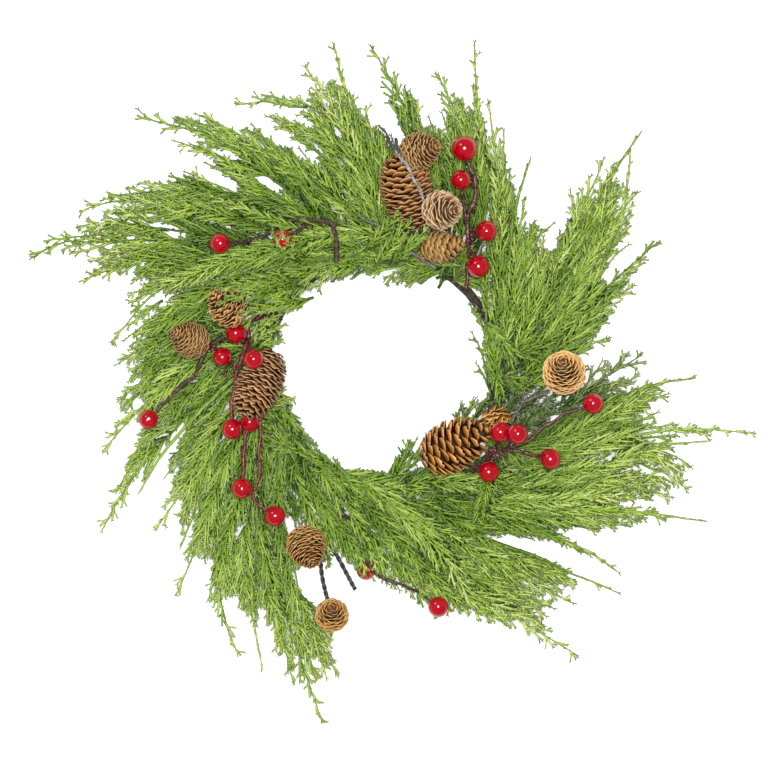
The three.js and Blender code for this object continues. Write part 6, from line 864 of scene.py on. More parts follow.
class Spray:
    """Twigs of one spray by number of rings, in frond coordinates until they are laid on the layer."""

    def __init__(self, layer, rng):
        self.layer, self.rng, self.sets, self.prongs = layer, rng, {}, {}

    def put(self, sides, P, R, U, V, mat, flat=0.75):
        self.sets.setdefault((len(P), sides, mat), []).append((P, R, U, V, flat))

    def prong(self, A, B, r0, r1, u0, u1, v, mat):
        self.prongs.setdefault(mat, []).append((A, B, r0, r1, u0, u1, v))

    def fill(self, bag):
        for (k, sides, mat), items in self.sets.items():
            P = np.array([i[0] for i in items])
            R = np.array([i[1] for i in items])
            U = np.array([i[2] for i in items])
            V = np.clip(np.array([i[3] for i in items]), 0.03, 0.97)
            bag.tubes(P, R, (0.0, 0.0, 1.0), U, V, sides=sides, flat=np.array([i[4] for i in items]), mat=mat)
        for mat, items in self.prongs.items():
            A, B, r0, r1, u0, u1, v = (np.concatenate([i[k] for i in items]) for k in range(7))
            bag.wedges(A, B, r0, r1, u0, u1, np.clip(v, 0.03, 0.97), mat)


class Laid:
    """Takes frond coordinates (along, across, height) to the spray's layer."""

    def __init__(self, pts, layer, lift, rng, kind, close=0.0, calm=1.0):
        self.C, self.L = spline(pts, 60)
        self.own = self.C[:, 2] if self.C.shape[1] > 2 else None
        self.C = self.C[:, :2]
        T = np.gradient(self.C, axis=0)
        self.T = T / np.linalg.norm(T, axis=1)[:, None]
        self.S = np.linspace(0, self.L, 60)
        if self.own is not None:
            calm = 0.25
        self.layer, self.lift, self.kind, self.close = layer, lift, kind, close
        self.roll = rng.uniform(-0.2, 0.2) * calm
        self.waves = [(rng.uniform(0.5, 1.3) * calm, rng.uniform(25, 60), rng.uniform(0, 6.28)) for _ in range(2)]
        self.droop = rng.uniform(-1.2, 1.6) * calm
        self.tip = rng.uniform(-1.5, 4.0) * calm
        self.side = rng.choice([-1, 1])

    def __call__(self, q):
        q = np.atleast_2d(q)
        s, n, h = q[:, 0], q[:, 1], q[:, 2]
        sc = np.clip(s, 0, self.L)
        x = np.interp(sc, self.S, self.C[:, 0]); y = np.interp(sc, self.S, self.C[:, 1])
        tx = np.interp(sc, self.S, self.T[:, 0]); ty = np.interp(sc, self.S, self.T[:, 1])
        over = s - sc
        if self.kind == "s":
            across, rise = n * 0.3, n * 0.5 * self.side
        elif self.kind == "n":
            k = 1 - self.close * smooth((s / self.L - 0.55) / 0.25)
            across, rise = n * k, n * (1 - k) * 0.7 * self.side + n * self.roll
        else:
            across, rise = n, n * self.roll - self.droop * (n / 9.0) ** 2 * 0.5
        X = x + tx * over - ty * across
        Y = y + ty * over + tx * across
        ground = layer_height(X, Y, self.layer) if self.own is None else np.interp(sc, self.S, self.own)
        z = ground + self.lift + h + rise + self.tip * smooth((s / self.L - 0.6) / 0.5)
        for amp, wl_, ph in self.waves:
            z = z + amp * np.sin(s / wl_ * 6.28 + ph) * np.minimum(1, s / 12)
        return np.stack([X, Y, np.maximum(z, 0.9)], 1)


def prongs_on(spray, lay, q, r, u, tone, mat, every, length, rng, start=1.2, stop=0.8, fork=0.0):
    """Short prongs along a twig, to alternate sides, that lean towards its end; the long ones are forked."""
    seg = np.diff(q, axis=0)
    d = np.r_[0, np.cumsum(np.linalg.norm(seg, axis=1))]
    L = d[-1]
    at = np.arange(start + rng.uniform(0, 0.8), L - stop, every)
    n = len(at)
    if n == 0:
        return
    at = np.clip(at + rng.uniform(-0.25, 0.25, n) * every, 0.2, L - 0.2)
    c = np.stack([np.interp(at, d, q[:, k]) for k in range(3)], 1)
    i = np.clip(np.searchsorted(d, at) - 1, 0, len(seg) - 1)
    ang = np.arctan2(seg[i, 1], seg[i, 0])
    side = np.where(np.arange(n) % 2 == 0, 1, -1) * rng.choice([-1, 1])
    rr = np.interp(at, d, r)
    turn = ang + side * rng.uniform(0.44, 0.76, n)
    ln = rr * 0.6 + length * rng.uniform(0.65, 1.25, n) * np.interp(at / L, [0, 0.3, 1], [0.9, 1.0, 0.6])
    tip = c + np.stack([ln * np.cos(turn), ln * np.sin(turn), ln * rng.uniform(-0.25, 0.4, n)], 1)
    uu = np.interp(at, d, u)
    v = tone + rng.uniform(0.0, 0.12, n)
    end = np.minimum(rr * 0.56, 0.42) if not fork else np.minimum(rr * 0.6, 0.5)
    spray.prong(lay(c), lay(tip), rr * 0.68, end, uu, np.minimum(uu + 0.16, 1.0), v, mat)
    if fork:
        for k in (-1, 1):
            way = turn + k * rng.uniform(0.25, 0.8, n)
            l2 = fork * rng.uniform(0.7, 1.2, n)
            out = np.stack([np.cos(way), np.sin(way), 0.1 * np.ones(n)], 1)
            spray.prong(lay(tip - 0.15 * out), lay(tip + l2[:, None] * out), end * 0.95, end * 0.72, np.minimum(uu + 0.1, 0.92), np.ones(n), v, mat)


def forked(spray, lay, q, r, u, tone, mat, rng, lf, ang):
    """A twig whose end divides in two short prongs."""
    ts = rng.choice([-1, 1])
    p = q[-1]
    a1, a2 = ang + ts * rng.uniform(0.2, 0.5), ang - ts * rng.uniform(0.5, 0.85)
    l1, l2 = lf * rng.uniform(0.9, 1.2), lf * rng.uniform(0.65, 1.0)
    end = p + [l1 * math.cos(a1), l1 * math.sin(a1), 0.1 * l1]
    two = np.array([p - [0.2 * math.cos(ang), 0.2 * math.sin(ang), 0], p + [l2 * math.cos(a2), l2 * math.sin(a2), 0.12 * l2]])
    q = np.vstack([q, end])
    r = np.r_[r, 0.46]
    u = np.r_[u, 1.0]
    X = lay(np.vstack([q, two]))
    spray.put(3, X[:-2], r, u, tone, mat)
    spray.prong(X[-2:-1], X[-1:], np.array([r[-2] * 0.62]), np.array([0.33]), np.array([min(0.9, u[-2])]), np.array([1.0]), np.array([tone + 0.03]), mat)


GAP = np.array(OPENINGS)
GAP_C, GAP_S = np.cos(GAP[:, 4]), np.sin(GAP[:, 4])


def in_opening(X, grow=0.0):
    """Which points lie in one of the openings between the fronds."""
    dx, dy = X[:, 0, None] - GAP[None, :, 0], X[:, 1, None] - GAP[None, :, 1]
    a = (dx * GAP_C + dy * GAP_S) / (GAP[:, 2] + grow)
    b = (-dx * GAP_S + dy * GAP_C) / (GAP[:, 3] + grow)
    return ((a * a + b * b) < 1).any(1)


def zone(lay, s):
    """0 in the thick middle of the wreath, 1 at its open outer fringe."""
    x, y = np.interp(s, lay.S, lay.C[:, 0]), np.interp(s, lay.S, lay.C[:, 1])
    return float(smooth((math.hypot(x, y) - 131.0) / 52.0))


CLOSED = {"D1": 0.65, "D1b": 0.6, "G1": 0.5, "H1": 0.8}       # fronds whose end is seen from the edge


def frond(spray, row, tone, lift, mat=0, dense=1.0, every=2.3, simple=False):
    """One frond: a main twig with alternate side branches, each with twiglets and prongs and a forked end."""
    fid, pts, wl, wr, kind = row
    rng = spray.rng
    lay = Laid(pts, spray.layer, lift, rng, kind, CLOSED.get(fid, 0.15))
    blocked = in_opening if lay.own is None else (lambda X: np.zeros(len(X), bool))
    L = lay.L
    n_main = max(6, int(L / 5.5))
    s_main = np.linspace(0, L - 1.8, n_main)
    wob = np.cumsum(rng.normal(0, 0.22, n_main)); wob -= np.linspace(0, wob[-1], n_main)
    main = np.stack([s_main, wob, np.zeros(n_main)], 1)
    shape = {"f": ([0, 0.5, 1], [1.05, 0.82, 0.52]), "d": ([0, 0.5, 1], [0.95, 0.72, 0.45]),
             "n": ([0, 0.45, 0.66, 0.8, 1], [1.05, 0.95, 0.95, 0.8, 0.5]), "s": ([0, 0.3, 0.6, 0.8, 1], [0.95, 1.15, 1.05, 0.8, 0.4])}[kind]
    if fid in CLOSED:
        shape = ([0, 0.45, 0.66, 0.8, 1], [1.0, 0.95, 1.15, 0.9, 0.45])
    r_main = np.interp(s_main / L, *shape) * (1 + 0.10 * np.where(np.arange(n_main) % 2 == 0, 1, -1))
    u_main = np.linspace(0.05, 0.93, n_main)
    if kind == "s" or fid in CLOSED:
        spray.put(5, lay(main), r_main, np.linspace(0.05, 1.0, n_main), tone - 0.04, mat, 0.9)
    else:
        forked(spray, lay, main, r_main, u_main, tone - 0.03, mat, rng, 2.2, 0.0)
    if kind != "s":
        prongs_on(spray, lay, main, r_main, u_main, tone, mat, every * 1.6, 1.8, rng, 5.0)

    pitch = {"f": 5.7, "d": 6.4, "n": 5.6, "s": 5.0}[kind] / 2 / dense
    th0, th1 = {"f": (0.56, 0.25), "d": (0.66, 0.32), "n": (0.48, 0.17), "s": (0.42, 0.2)}[kind]
    s0, side = 1.5 + rng.uniform(0, 2), rng.choice([-1, 1])
    while s0 < L - 3.5:
        w = wl if side > 0 else wr
        t0, t1 = th0 * rng.uniform(0.8, 1.2), th1 * rng.uniform(0.7, 1.25)
        ta = 0.35 * t0 + 0.65 * t1
        Lb = 10.0
        for _ in range(4):
            Lb = w * float(reach(kind, min(1, (s0 + Lb * math.cos(ta)) / L))) / math.sin(ta)
        Lb = min(Lb * rng.uniform(0.72, 1.12), 34.0, max(3.6, (L - s0) * rng.uniform(0.78, 1.0)))
        n0 = float(np.interp(s0, s_main, wob))
        kb = max(3, int(Lb / 4.8) + 1)
        d = np.linspace(0, Lb, kb)
        ang = t1 + (t0 - t1) * np.exp(-d / (0.35 * Lb + 1e-6)) + rng.normal(0, 0.05, kb)
        step = np.r_[0, np.diff(d)]
        bs = s0 + np.cumsum(step * np.cos(ang))
        bn = n0 + side * np.cumsum(step * np.sin(ang))
        rise = rng.uniform(-0.10, 0.16)
        bh = rise * d + rng.uniform(-0.5, 0.5) * np.sin(d / Lb * 3.1) * 2
        outer = zone(lay, min(s0 + 0.5 * Lb, L))
        open_out = max(float(smooth((s0 / L - 0.45) / 0.4)), 0.9 * outer, 0.8 if kind == "d" else 0.0)
        away = float(np.hypot(*lay(np.array([[s0 + 0.5 * Lb, 0.0, 0.0]]))[0, :2]))
        # painted light and shade in the branch tone: besides a random spread, a branch is lighter where it rises, far
        # from the middle of the wreath and at the open outer fringe, and darker in the thick middle
        branch_tone_with_shade = tone + rng.normal(0, 0.08) + 0.4 * rise - 0.06 + 0.14 * float(smooth((away - 92.0) / 70.0)) + 0.14 * outer + 0.05 * open_out
        B = np.stack([bs, bn, bh], 1)
        hit = np.flatnonzero(blocked(lay(B)))
        if len(hit):
            keep = hit[0] - 1
            if keep < 1 or d[keep] < 3.0:
                s0 += pitch * 0.6
                side = -side
                continue
            Lb = float(d[keep])
            d, ang = np.linspace(0, Lb, max(3, keep + 1)), np.interp(np.linspace(0, Lb, max(3, keep + 1)), d, ang)
            B = np.stack([np.interp(d, np.linspace(0, d[-1], keep + 1), B[:keep + 1, k]) for k in range(3)], 1)
            kb = len(d)
        thin = 1.16 - 0.02 * open_out
        rb = np.interp(d / Lb, [0, 0.5, 1], [0.86, 0.82, 0.70]) * thin
        ub = np.linspace(0.25 + 0.30 * open_out, 0.90, kb)
        forked(spray, lay, B, rb, ub, branch_tone_with_shade, mat, rng, 1.7, side * float(ang[-1]))
        prongs_on(spray, lay, B, rb, ub, branch_tone_with_shade, mat, every * (1.9 - 0.3 * open_out), 2.0 + 1.8 * open_out, rng, fork=1.2 + 0.3 * open_out)
        e, ts = 2.2 + rng.uniform(0, 1.5), rng.choice([-1, 1])
        gap = {"f": 3.3, "d": 5.0, "n": 3.6, "s": 3.4}[kind] / dense * (1 + 0.8 * open_out)
        far = Lb * (0.85 - 0.70 * open_out)
        while e < far and Lb > 5:
            lt = min(12.0, max(2.6, 0.50 * (Lb - e) + 1.0)) * rng.uniform(0.75, 1.2)
            if kind in "ns":
                lt *= 0.8
            a0 = float(np.interp(e, d, ang))
            ps, pn, ph = (float(np.interp(e, d, B[:, k])) for k in range(3))
            da = rng.uniform(0.20, 0.38) * (0.7 if kind in "ns" else 1.0)
            aa = side * a0 + ts * da
            ab = side * a0 * 0.8 + ts * da * 0.45
            dh = rng.uniform(-0.20, 0.14)
            ph -= 0.2
            h = lt * 0.5
            q = np.array([[ps, pn, ph],
                          [ps + h * math.cos(aa), pn + h * math.sin(aa), ph + dh * h],
                          [ps + h * (math.cos(aa) + math.cos(ab)), pn + h * (math.sin(aa) + math.sin(ab)), ph + 2 * dh * h]])
            # painted shade: a twiglet is darker than its branch, darker where it dips down and lighter where it rises
            tt = branch_tone_with_shade - 0.09 + rng.normal(0, 0.075) + 0.4 * dh
            if blocked(lay(q[2:]))[0]:
                e += gap
                continue
            if lt > 3.2:
                rq = np.array([0.68, 0.70, 0.60]) * thin
                uq = np.array([0.50, 0.70, 0.88])
                forked(spray, lay, q, rq, uq, tt, mat, rng, 1.6, ab)
                if lt > 5.0 and not simple and rng.random() < 0.4 + open_out:
                    prongs_on(spray, lay, q, rq, uq, tt, mat, every * 1.6, 1.6, rng)
            else:
                X = lay(q[[0, 2]])
                spray.prong(X[:1], X[1:], np.array([0.42]), np.array([0.34]), np.array([0.6]), np.array([1.0]), np.array([tt]), mat)
            e += gap * rng.uniform(0.75, 1.3)
            ts = -ts
        s0 += pitch * (1.0 + (2.0 if simple else 1.9) * open_out) * rng.uniform(0.8, 1.22)
        side = -side


def undergrowth(spray, row, lift, mat=0):
    """The inner twigs below a frond, given dark tones as painted shade."""
    fid, pts, wl, wr, kind = row
    if kind in "sd":
        return
    rng = spray.rng
    lay = Laid(pts, spray.layer, lift, rng, "f", 0.0, 0.35)
    L = lay.L
    s0, side = 2.0 + rng.uniform(0, 2), rng.choice([-1, 1])
    while s0 < L * 0.62 and zone(lay, s0) < 0.45:
        w = (wl if side > 0 else wr) * 0.85
        ta = rng.uniform(0.28, 0.45)
        Lb = min(w * float(reach(kind, min(1, s0 / L))) / math.sin(ta), 20.0, (L * 0.75 - s0)) * rng.uniform(0.8, 1.1)
        if Lb > 4:
            h = Lb * 0.5
            a1, a2 = side * ta * 1.3, side * ta * 0.7
            q = np.array([[s0, 0, 0], [s0 + h * math.cos(a1), h * math.sin(a1), rng.uniform(-0.6, 0.4)],
                          [s0 + h * (math.cos(a1) + math.cos(a2)), h * (math.sin(a1) + math.sin(a2)), rng.uniform(-1.0, 0.8)]])
            # painted shade: these low twigs get only the darkest tones
            tt = rng.uniform(0.05, 0.22)
            u = np.array([0.45, 0.6, 0.72])
            r = np.array([0.85, 0.95, 0.5])
            if not in_opening(lay(q), 1.0).any():
                spray.put(3, lay(q), r, u, tt, mat)
                prongs_on(spray, lay, q, r, u, tt, mat, 2.8, 2.4, rng)
        s0 += 1.9 * rng.uniform(0.8, 1.2)
        side = -side


PALE_TIPS = ("left", "left_lower", "lower_left")
faces_made = 0
for index, (name, layer, foot, fronds, head) in enumerate(SPRAYS):
    rng = np.random.default_rng(1000 + index)
    spray = Spray(layer, rng)
    dark = name in ("left_upper", "right_low")
    for i, row in enumerate(fronds):
        lift = ((i * 0.618) % 1 - 0.5) * 3.0
        # painted light and shade: fronds on higher layers and lifted higher get lighter tones, lower ones darker,
        # besides a random spread
        tone = 0.36 + 0.045 * layer + rng.uniform(-0.07, 0.07) + 0.06 * lift
        if row[4] == "d":
            tone += 0.05
        frond(spray, row, tone, lift)
        undergrowth(spray, row, lift - 2.6)
    for i, row in enumerate(UNDER.get(name, [])):
        lift = -0.6 - ((i * 0.618) % 1) * 1.8
        # painted shade: the smaller fronds that lie lower start a little darker than the main fronds, and get lighter
        # on higher layers
        tone = 0.34 + 0.045 * layer + rng.uniform(-0.07, 0.07)
        frond(spray, row, tone, lift, every=2.9, simple=True)
    for row in OVER.get(name, []):
        frond(spray, row[:5], row[5] + rng.uniform(-0.05, 0.05), 0.0, every=2.3)
    bag = Bag()
    spray.fill(bag)
    # stalks from the ring to the start of each frond, set with short twigs
    fx, fy = foot
    hx, hy = head if head else foot
    stalks = Spray(layer, rng)
    for row in fronds:
        px, py = row[1][0]
        qx, qy = row[1][1]
        z1 = float(layer_height(hx, hy, layer)); z2 = float(layer_height(px, py, layer))
        path = [[fx, fy, 5.5], [hx, hy, z1 - 1.5]] if head else [[fx, fy, 5.5], [fx, fy, z1 - 1.5]]
        d = math.hypot(px - hx, py - hy)
        if d > 2:
            path.append([(hx + px) / 2, (hy + py) / 2, (z1 + z2) / 2 - 0.5])
        path.append([px, py, z2 - 0.3])
        path.append([px + (qx - px) * 0.2, py + (qy - py) * 0.2, z2 - 0.2])
        P, _ = spline(path, 10)
        bag.tubes(P[None], np.linspace(1.25, 0.9, 10)[None], (0.3, 0.1, 1), np.linspace(0.1, 0.9, 10)[None], np.array([0.5]), sides=5, flat=1.0, mat=1)
        if d > 4:
            lay = Laid([[hx, hy], [(hx + px) / 2, (hy + py) / 2], [px, py]], layer, -0.4, rng, "f")
            s, side = 0.5, rng.choice([-1, 1])
            while s < lay.L:
                l, a0 = rng.uniform(5, 9), rng.uniform(0.3, 0.55) * side
                q = np.array([[s, 0, 0], [s + 0.5 * l * math.cos(a0), 0.5 * l * math.sin(a0), rng.uniform(0, 1)], [s + l * math.cos(a0 * 0.8), l * math.sin(a0 * 0.8), rng.uniform(0, 2)]])
                forked(stalks, lay, q, np.array([0.8, 0.8, 0.64]), np.array([0.3, 0.6, 0.9]), 0.4 + rng.normal(0, 0.1), 0, rng, 1.6, a0)
                prongs_on(stalks, lay, q, np.array([0.8, 0.8, 0.64]), np.array([0.3, 0.6, 0.9]), 0.42, 0, 2.4, 1.5, rng)
                s += rng.uniform(1.2, 2.0)
                side = -side
    stalks.fill(bag)
    ob = bag.object("spray_" + name, [DARK if name == "right_low" else PALE if name in PALE_TIPS else GREEN, TWIG])
    place(ob, "cedar_dark" if dark else "cedar_green", "cedar_spray_" + name)
    tris = sum(len(p.vertices) - 2 for p in ob.data.polygons)
    faces_made += tris
    print("SPRAY", name, len(fronds), tris)
print("FOLIAGE TRIANGLES", faces_made)

# ------------------------------------------------------------------ pine cones
def cone_material(name, dark, face, rim, half_shaded_face, at=(0.45, 0.66, 0.84, 0.93)):
    m, nt, b = nodes_of(name)
    uv = nt.nodes.new("ShaderNodeUVMap")
    uv.uv_map = "OFBake"
    sep = nt.nodes.new("ShaderNodeSeparateXYZ")
    nt.links.new(uv.outputs["UV"], sep.inputs["Vector"])
    u, v = sep.outputs["X"], sep.outputs["Y"]
    # painted shade: the inner part of each scale, down between the scales, is very dark and turns through a darkened
    # face to the scale's own face colour and its pale rim
    along = ramp(nt, u, [(0.0, dark), (at[0], dark), (at[1], half_shaded_face), (at[2], face), (at[3], face), (0.975, rim), (1.0, rim)])
    # fine streaks that run along a scale, and scales that differ in tone
    st = math_node(nt, "SINE", math_node(nt, "MULTIPLY", v, 900.0))
    st = math_node(nt, "ADD", math_node(nt, "MULTIPLY", st, 0.5), 0.5)
    col = mix_colour(nt, math_node(nt, "MULTIPLY", st, 0.30), along, mix_colour(nt, 1.0, along, (0.55, 0.5, 0.45), "MULTIPLY"))
    tone = ramp(nt, v, [(0.0, (0.55, 0.52, 0.48)), (0.5, (1.0, 1.0, 1.0)), (1.0, (1.35, 1.3, 1.2))])
    col = mix_colour(nt, 1.0, col, tone, "MULTIPLY")
    nt.links.new(col, b.inputs["Base Color"])
    b.inputs["Roughness"].default_value = 0.5
    b.inputs["Specular IOR Level"].default_value = 0.27
    bump(nt, b, noise(nt, 1400.0, 3.0), 0.35, 0.0003)
    return m


CONE_TOP = cone_material("cone_gold_brown", lin(26, 10, 2), lin(144, 88, 32), lin(184, 148, 102), lin(60, 30, 6), (0.50, 0.70, 0.86, 0.94))
CONE_LEFT = cone_material("cone_dark_brown", lin(26, 11, 3), lin(128, 82, 36), lin(186, 150, 110), lin(62, 33, 9), (0.54, 0.74, 0.88, 0.95))
CONE_GOLD = cone_material("cone_gold", lin(14, 5, 1), lin(166, 102, 30), lin(194, 150, 94), lin(66, 33, 6), (0.44, 0.64, 0.80, 0.93))
CONE_AMBER = cone_material("cone_amber", lin(82, 50, 17), lin(162, 122, 64), lin(184, 150, 100), lin(118, 78, 32))
CONE_TAN = cone_material("cone_tan", lin(84, 51, 13), lin(146, 107, 54), lin(182, 152, 107), lin(114, 75, 27))
CONE_STRAW = cone_material("cone_straw_dark", lin(74, 45, 12), lin(134, 97, 49), lin(178, 146, 100), lin(102, 67, 23))
CONE_PINK = cone_material("cone_pinkish", lin(104, 71, 39), lin(172, 138, 98), lin(210, 183, 150), lin(140, 105, 66), (0.45, 0.68, 0.84, 0.92))
CONE_BROWN = cone_material("cone_brown", lin(50, 27, 6), lin(156, 106, 48), lin(206, 168, 116), lin(98, 58, 18))
CONE_UMBER = cone_material("cone_umber", lin(40, 21, 3), lin(144, 96, 36), lin(202, 162, 104), lin(86, 50, 12))
CONE_RUST = cone_material("cone_rust", lin(48, 27, 5), lin(154, 108, 46), lin(202, 163, 106), lin(94, 57, 16))
CONE_RIGHT = cone_material("cone_straw", lin(82, 49, 14), lin(208, 154, 80), lin(234, 202, 148), lin(146, 97, 38))
CONE_PIECE = cone_material("cone_piece", lin(24, 10, 3), lin(136, 88, 30), lin(210, 164, 94), lin(60, 31, 8), (0.50, 0.70, 0.86, 0.94))
CORE = bark_material("cone_core", lin(34, 20, 12), lin(66, 40, 22), 700.0, 0.85)

CONE_PROFILE = {
    "right": ([0, 0.02, 0.1, 0.25, 0.42, 0.6, 0.78, 0.92, 1], [0.36, 0.54, 0.80, 0.96, 1.0, 0.93, 0.75, 0.46, 0.12]),
    "top": ([0, 0.02, 0.1, 0.25, 0.42, 0.6, 0.78, 0.92, 1], [0.3, 0.5, 0.7, 0.86, 0.97, 1, 0.93, 0.66, 0.16]),
    "left": ([0, 0.015, 0.1, 0.25, 0.42, 0.6, 0.78, 0.92, 1], [0.28, 0.44, 0.68, 0.88, 0.97, 0.96, 0.84, 0.6, 0.2]),
    "large": ([0, 0.015, 0.1, 0.25, 0.42, 0.6, 0.78, 0.92, 1], [0.30, 0.52, 0.80, 0.98, 1, 0.9, 0.66, 0.38, 0.06]),
    "small": ([0, 0.02, 0.14, 0.34, 0.56, 0.76, 0.92, 1], [0.35, 0.55, 0.84, 1, 0.95, 0.72, 0.42, 0.08]),
}


def scales(bag, centre, axis, L, D, kind, count, width, length, lean, rng, nu, nw, thick, flare=0.0, wave=0.5, mat=0, spin=0.0, point=0.0, profile=None):
    """Overlapping scales of a cone in a golden-angle spiral, from its base to its apex."""
    a = np.array(axis, float); a /= np.linalg.norm(a)
    p = np.cross(a, [0, 0, 1.0]); p /= np.linalg.norm(p)
    q = np.cross(a, p)
    tt, rr = CONE_PROFILE[profile or kind]
    fine = np.linspace(0, 1, 400)
    dens = np.maximum(np.interp(fine, tt, rr), 0.34 + 0.30 * smooth((fine - 0.7) / 0.2))
    cum = np.cumsum(dens); cum /= cum[-1]
    ts = np.interp((np.arange(count) + 0.5) / count, cum, fine)
    s = np.linspace(0, 1, nu)[:, None]
    w = np.linspace(-1, 1, nw)[None, :]
    half = np.where(s < 0.7, 0.34 + 0.66 * smooth(s / 0.7), np.sqrt(np.maximum(0, 1 - (np.maximum(s - 0.7, 0) / 0.335) ** 2)))
    sharp = np.where(s < 0.5, 0.45 + 0.55 * smooth(s / 0.5), np.maximum(0.10, 1 - (np.maximum(s - 0.5, 0) / 0.54) ** 1.7))
    half = half * (1 - point) + sharp * point
    idx = np.arange(2 * nu * nw).reshape(2, nu, nw)
    faces = []
    for i in range(nu - 1):
        for j in range(nw - 1):
            faces.append((idx[0, i, j], idx[0, i, j + 1], idx[0, i + 1, j + 1], idx[0, i + 1, j]))
            faces.append((idx[1, i, j], idx[1, i + 1, j], idx[1, i + 1, j + 1], idx[1, i, j + 1]))
    for i in range(nu - 1):
        faces.append((idx[0, i, 0], idx[0, i + 1, 0], idx[1, i + 1, 0], idx[1, i, 0]))
        faces.append((idx[0, i, -1], idx[1, i, -1], idx[1, i + 1, -1], idx[0, i + 1, -1]))
    for j in range(nw - 1):
        faces.append((idx[0, 0, j], idx[1, 0, j], idx[1, 0, j + 1], idx[0, 0, j + 1]))
        faces.append((idx[0, -1, j], idx[0, -1, j + 1], idx[1, -1, j + 1], idx[1, -1, j]))
    faces = np.array(faces)
    for k in range(count):
        t = float(ts[k])
        R = float(np.interp(t, tt, rr)) * D / 2
        size = (0.62 + 0.38 * R / (D / 2)) * rng.uniform(0.93, 1.07)
        e = math.radians(float(np.interp(t, *lean)) + rng.uniform(-4, 4))
        phi0 = spin + k * 2.39996 + rng.uniform(-0.05, 0.05)
        ln = length * size * (1.0 if t < 0.8 else 1 - 0.35 * (t - 0.8) / 0.2)
        zt = (t - 0.5) * L
        r_tip = R * rng.uniform(0.97, 1.03)
        r_in = min(max(0.12 * D / 2, r_tip - ln * math.cos(e)), 0.55 * r_tip)
        z_in = zt - ln * math.sin(e) * 0.9
        # middle line: bows outwards, and its end flares a little
        bow = 0.13 * ln
        r = r_in + (r_tip - r_in) * s + bow * np.sin(np.pi * s) * math.sin(e) + flare * ln * smooth((s - 0.7) / 0.3) * 0.2
        z = z_in + (zt - z_in) * s - bow * np.sin(np.pi * s) * math.cos(e)
        W = width * size
        ph = rng.uniform(0, 6.28)
        z = z + wave * smooth((s - 0.45) / 0.5) * np.sin(w * 2.6 + ph) * size
        cup = 0.10 * W * w ** 2                     # a scale's sides curl towards the apex
        z = z + cup * s
        x = half * W * w
        rad = np.maximum(r, 0.3)
        ang = phi0 + x / np.maximum(rad, 0.45 * D / 2 * size)
        rad = rad - 0.05 * W * w ** 2
        th = thick * size * (0.35 + 0.65 * smooth(s / 0.75)) * np.where(s > 0.9, 0.8, 1.0) * (1 - 0.45 * w ** 4)
        nr, nz = -math.sin(e), math.cos(e)           # towards the apex side of the scale
        sides = []
        for sign in (-0.5, 0.5):
            R_ = rad + sign * th * nr
            Z_ = z + sign * th * nz
            sides.append((p[None, None, :] * (R_ * np.cos(ang))[..., None] + q[None, None, :] * (R_ * np.sin(ang))[..., None] + a[None, None, :] * (Z_ + np.zeros_like(ang))[..., None]))
        co = np.stack(sides).reshape(-1, 3) + np.array(centre)
        tone = float(np.clip(0.5 + rng.normal(0, 0.16), 0.06, 0.94))
        uu = np.clip(s + 0.28 * np.abs(w) ** 5 * smooth((s - 0.4) / 0.3) + np.zeros_like(w), 0, 1)
        # painted shade: the side towards the apex, facing the next scale, is shifted towards the dark inner colours
        inner = np.clip(uu * 0.93, 0, 1)             # the side towards the apex is duller
        vv = tone + 0.02 * w + np.zeros_like(s)
        U = np.stack([uu, np.where(s > 0.93, uu, inner)]).reshape(-1)
        Vv = np.stack([vv, vv]).reshape(-1)
        uv = np.stack([U[faces], Vv[faces]], -1)
        bag.add(co, faces, uv, mat)


def core(bag, centre, axis, L, D, kind, share, mat):
    a = np.array(axis, float); a /= np.linalg.norm(a)
    p = np.cross(a, [0, 0, 1.0]); p /= np.linalg.norm(p)
    q = np.cross(a, p)
    tt, rr = CONE_PROFILE[kind]
    n, m = 11, 14
    ts = np.linspace(0.01, 0.93, n)
    ring = []
    for t in ts:
        R = float(np.interp(t, tt, rr)) * D / 2 * share
        for j in range(m):
            f = 2 * math.pi * j / m
            ring.append(np.array(centre) + a * ((t - 0.5) * L) + (p * math.cos(f) + q * math.sin(f)) * R)
    f, cap = [], []
    for i in range(n - 1):
        for j in range(m):
            f.append((i * m + j, i * m + (j + 1) % m, (i + 1) * m + (j + 1) % m, (i + 1) * m + j))
    f = np.array(f)
    uv = np.zeros((len(f), 4, 2)) + np.array([[0.1, 0.1], [0.2, 0.1], [0.2, 0.2], [0.1, 0.2]])
    bag.add(np.array(ring), f, uv, mat)
    at = bag.n - len(ring)
    for ids in (np.arange(m)[::-1], (n - 1) * m + np.arange(m)):
        bag.faces.append((ids + at)[None])
        g = np.stack([0.15 + 0.05 * np.cos(2 * np.pi * np.arange(m) / m), 0.15 + 0.05 * np.sin(2 * np.pi * np.arange(m) / m)], -1)
        bag.uv.append(g[None])
        bag.mat.append(np.array([mat]))


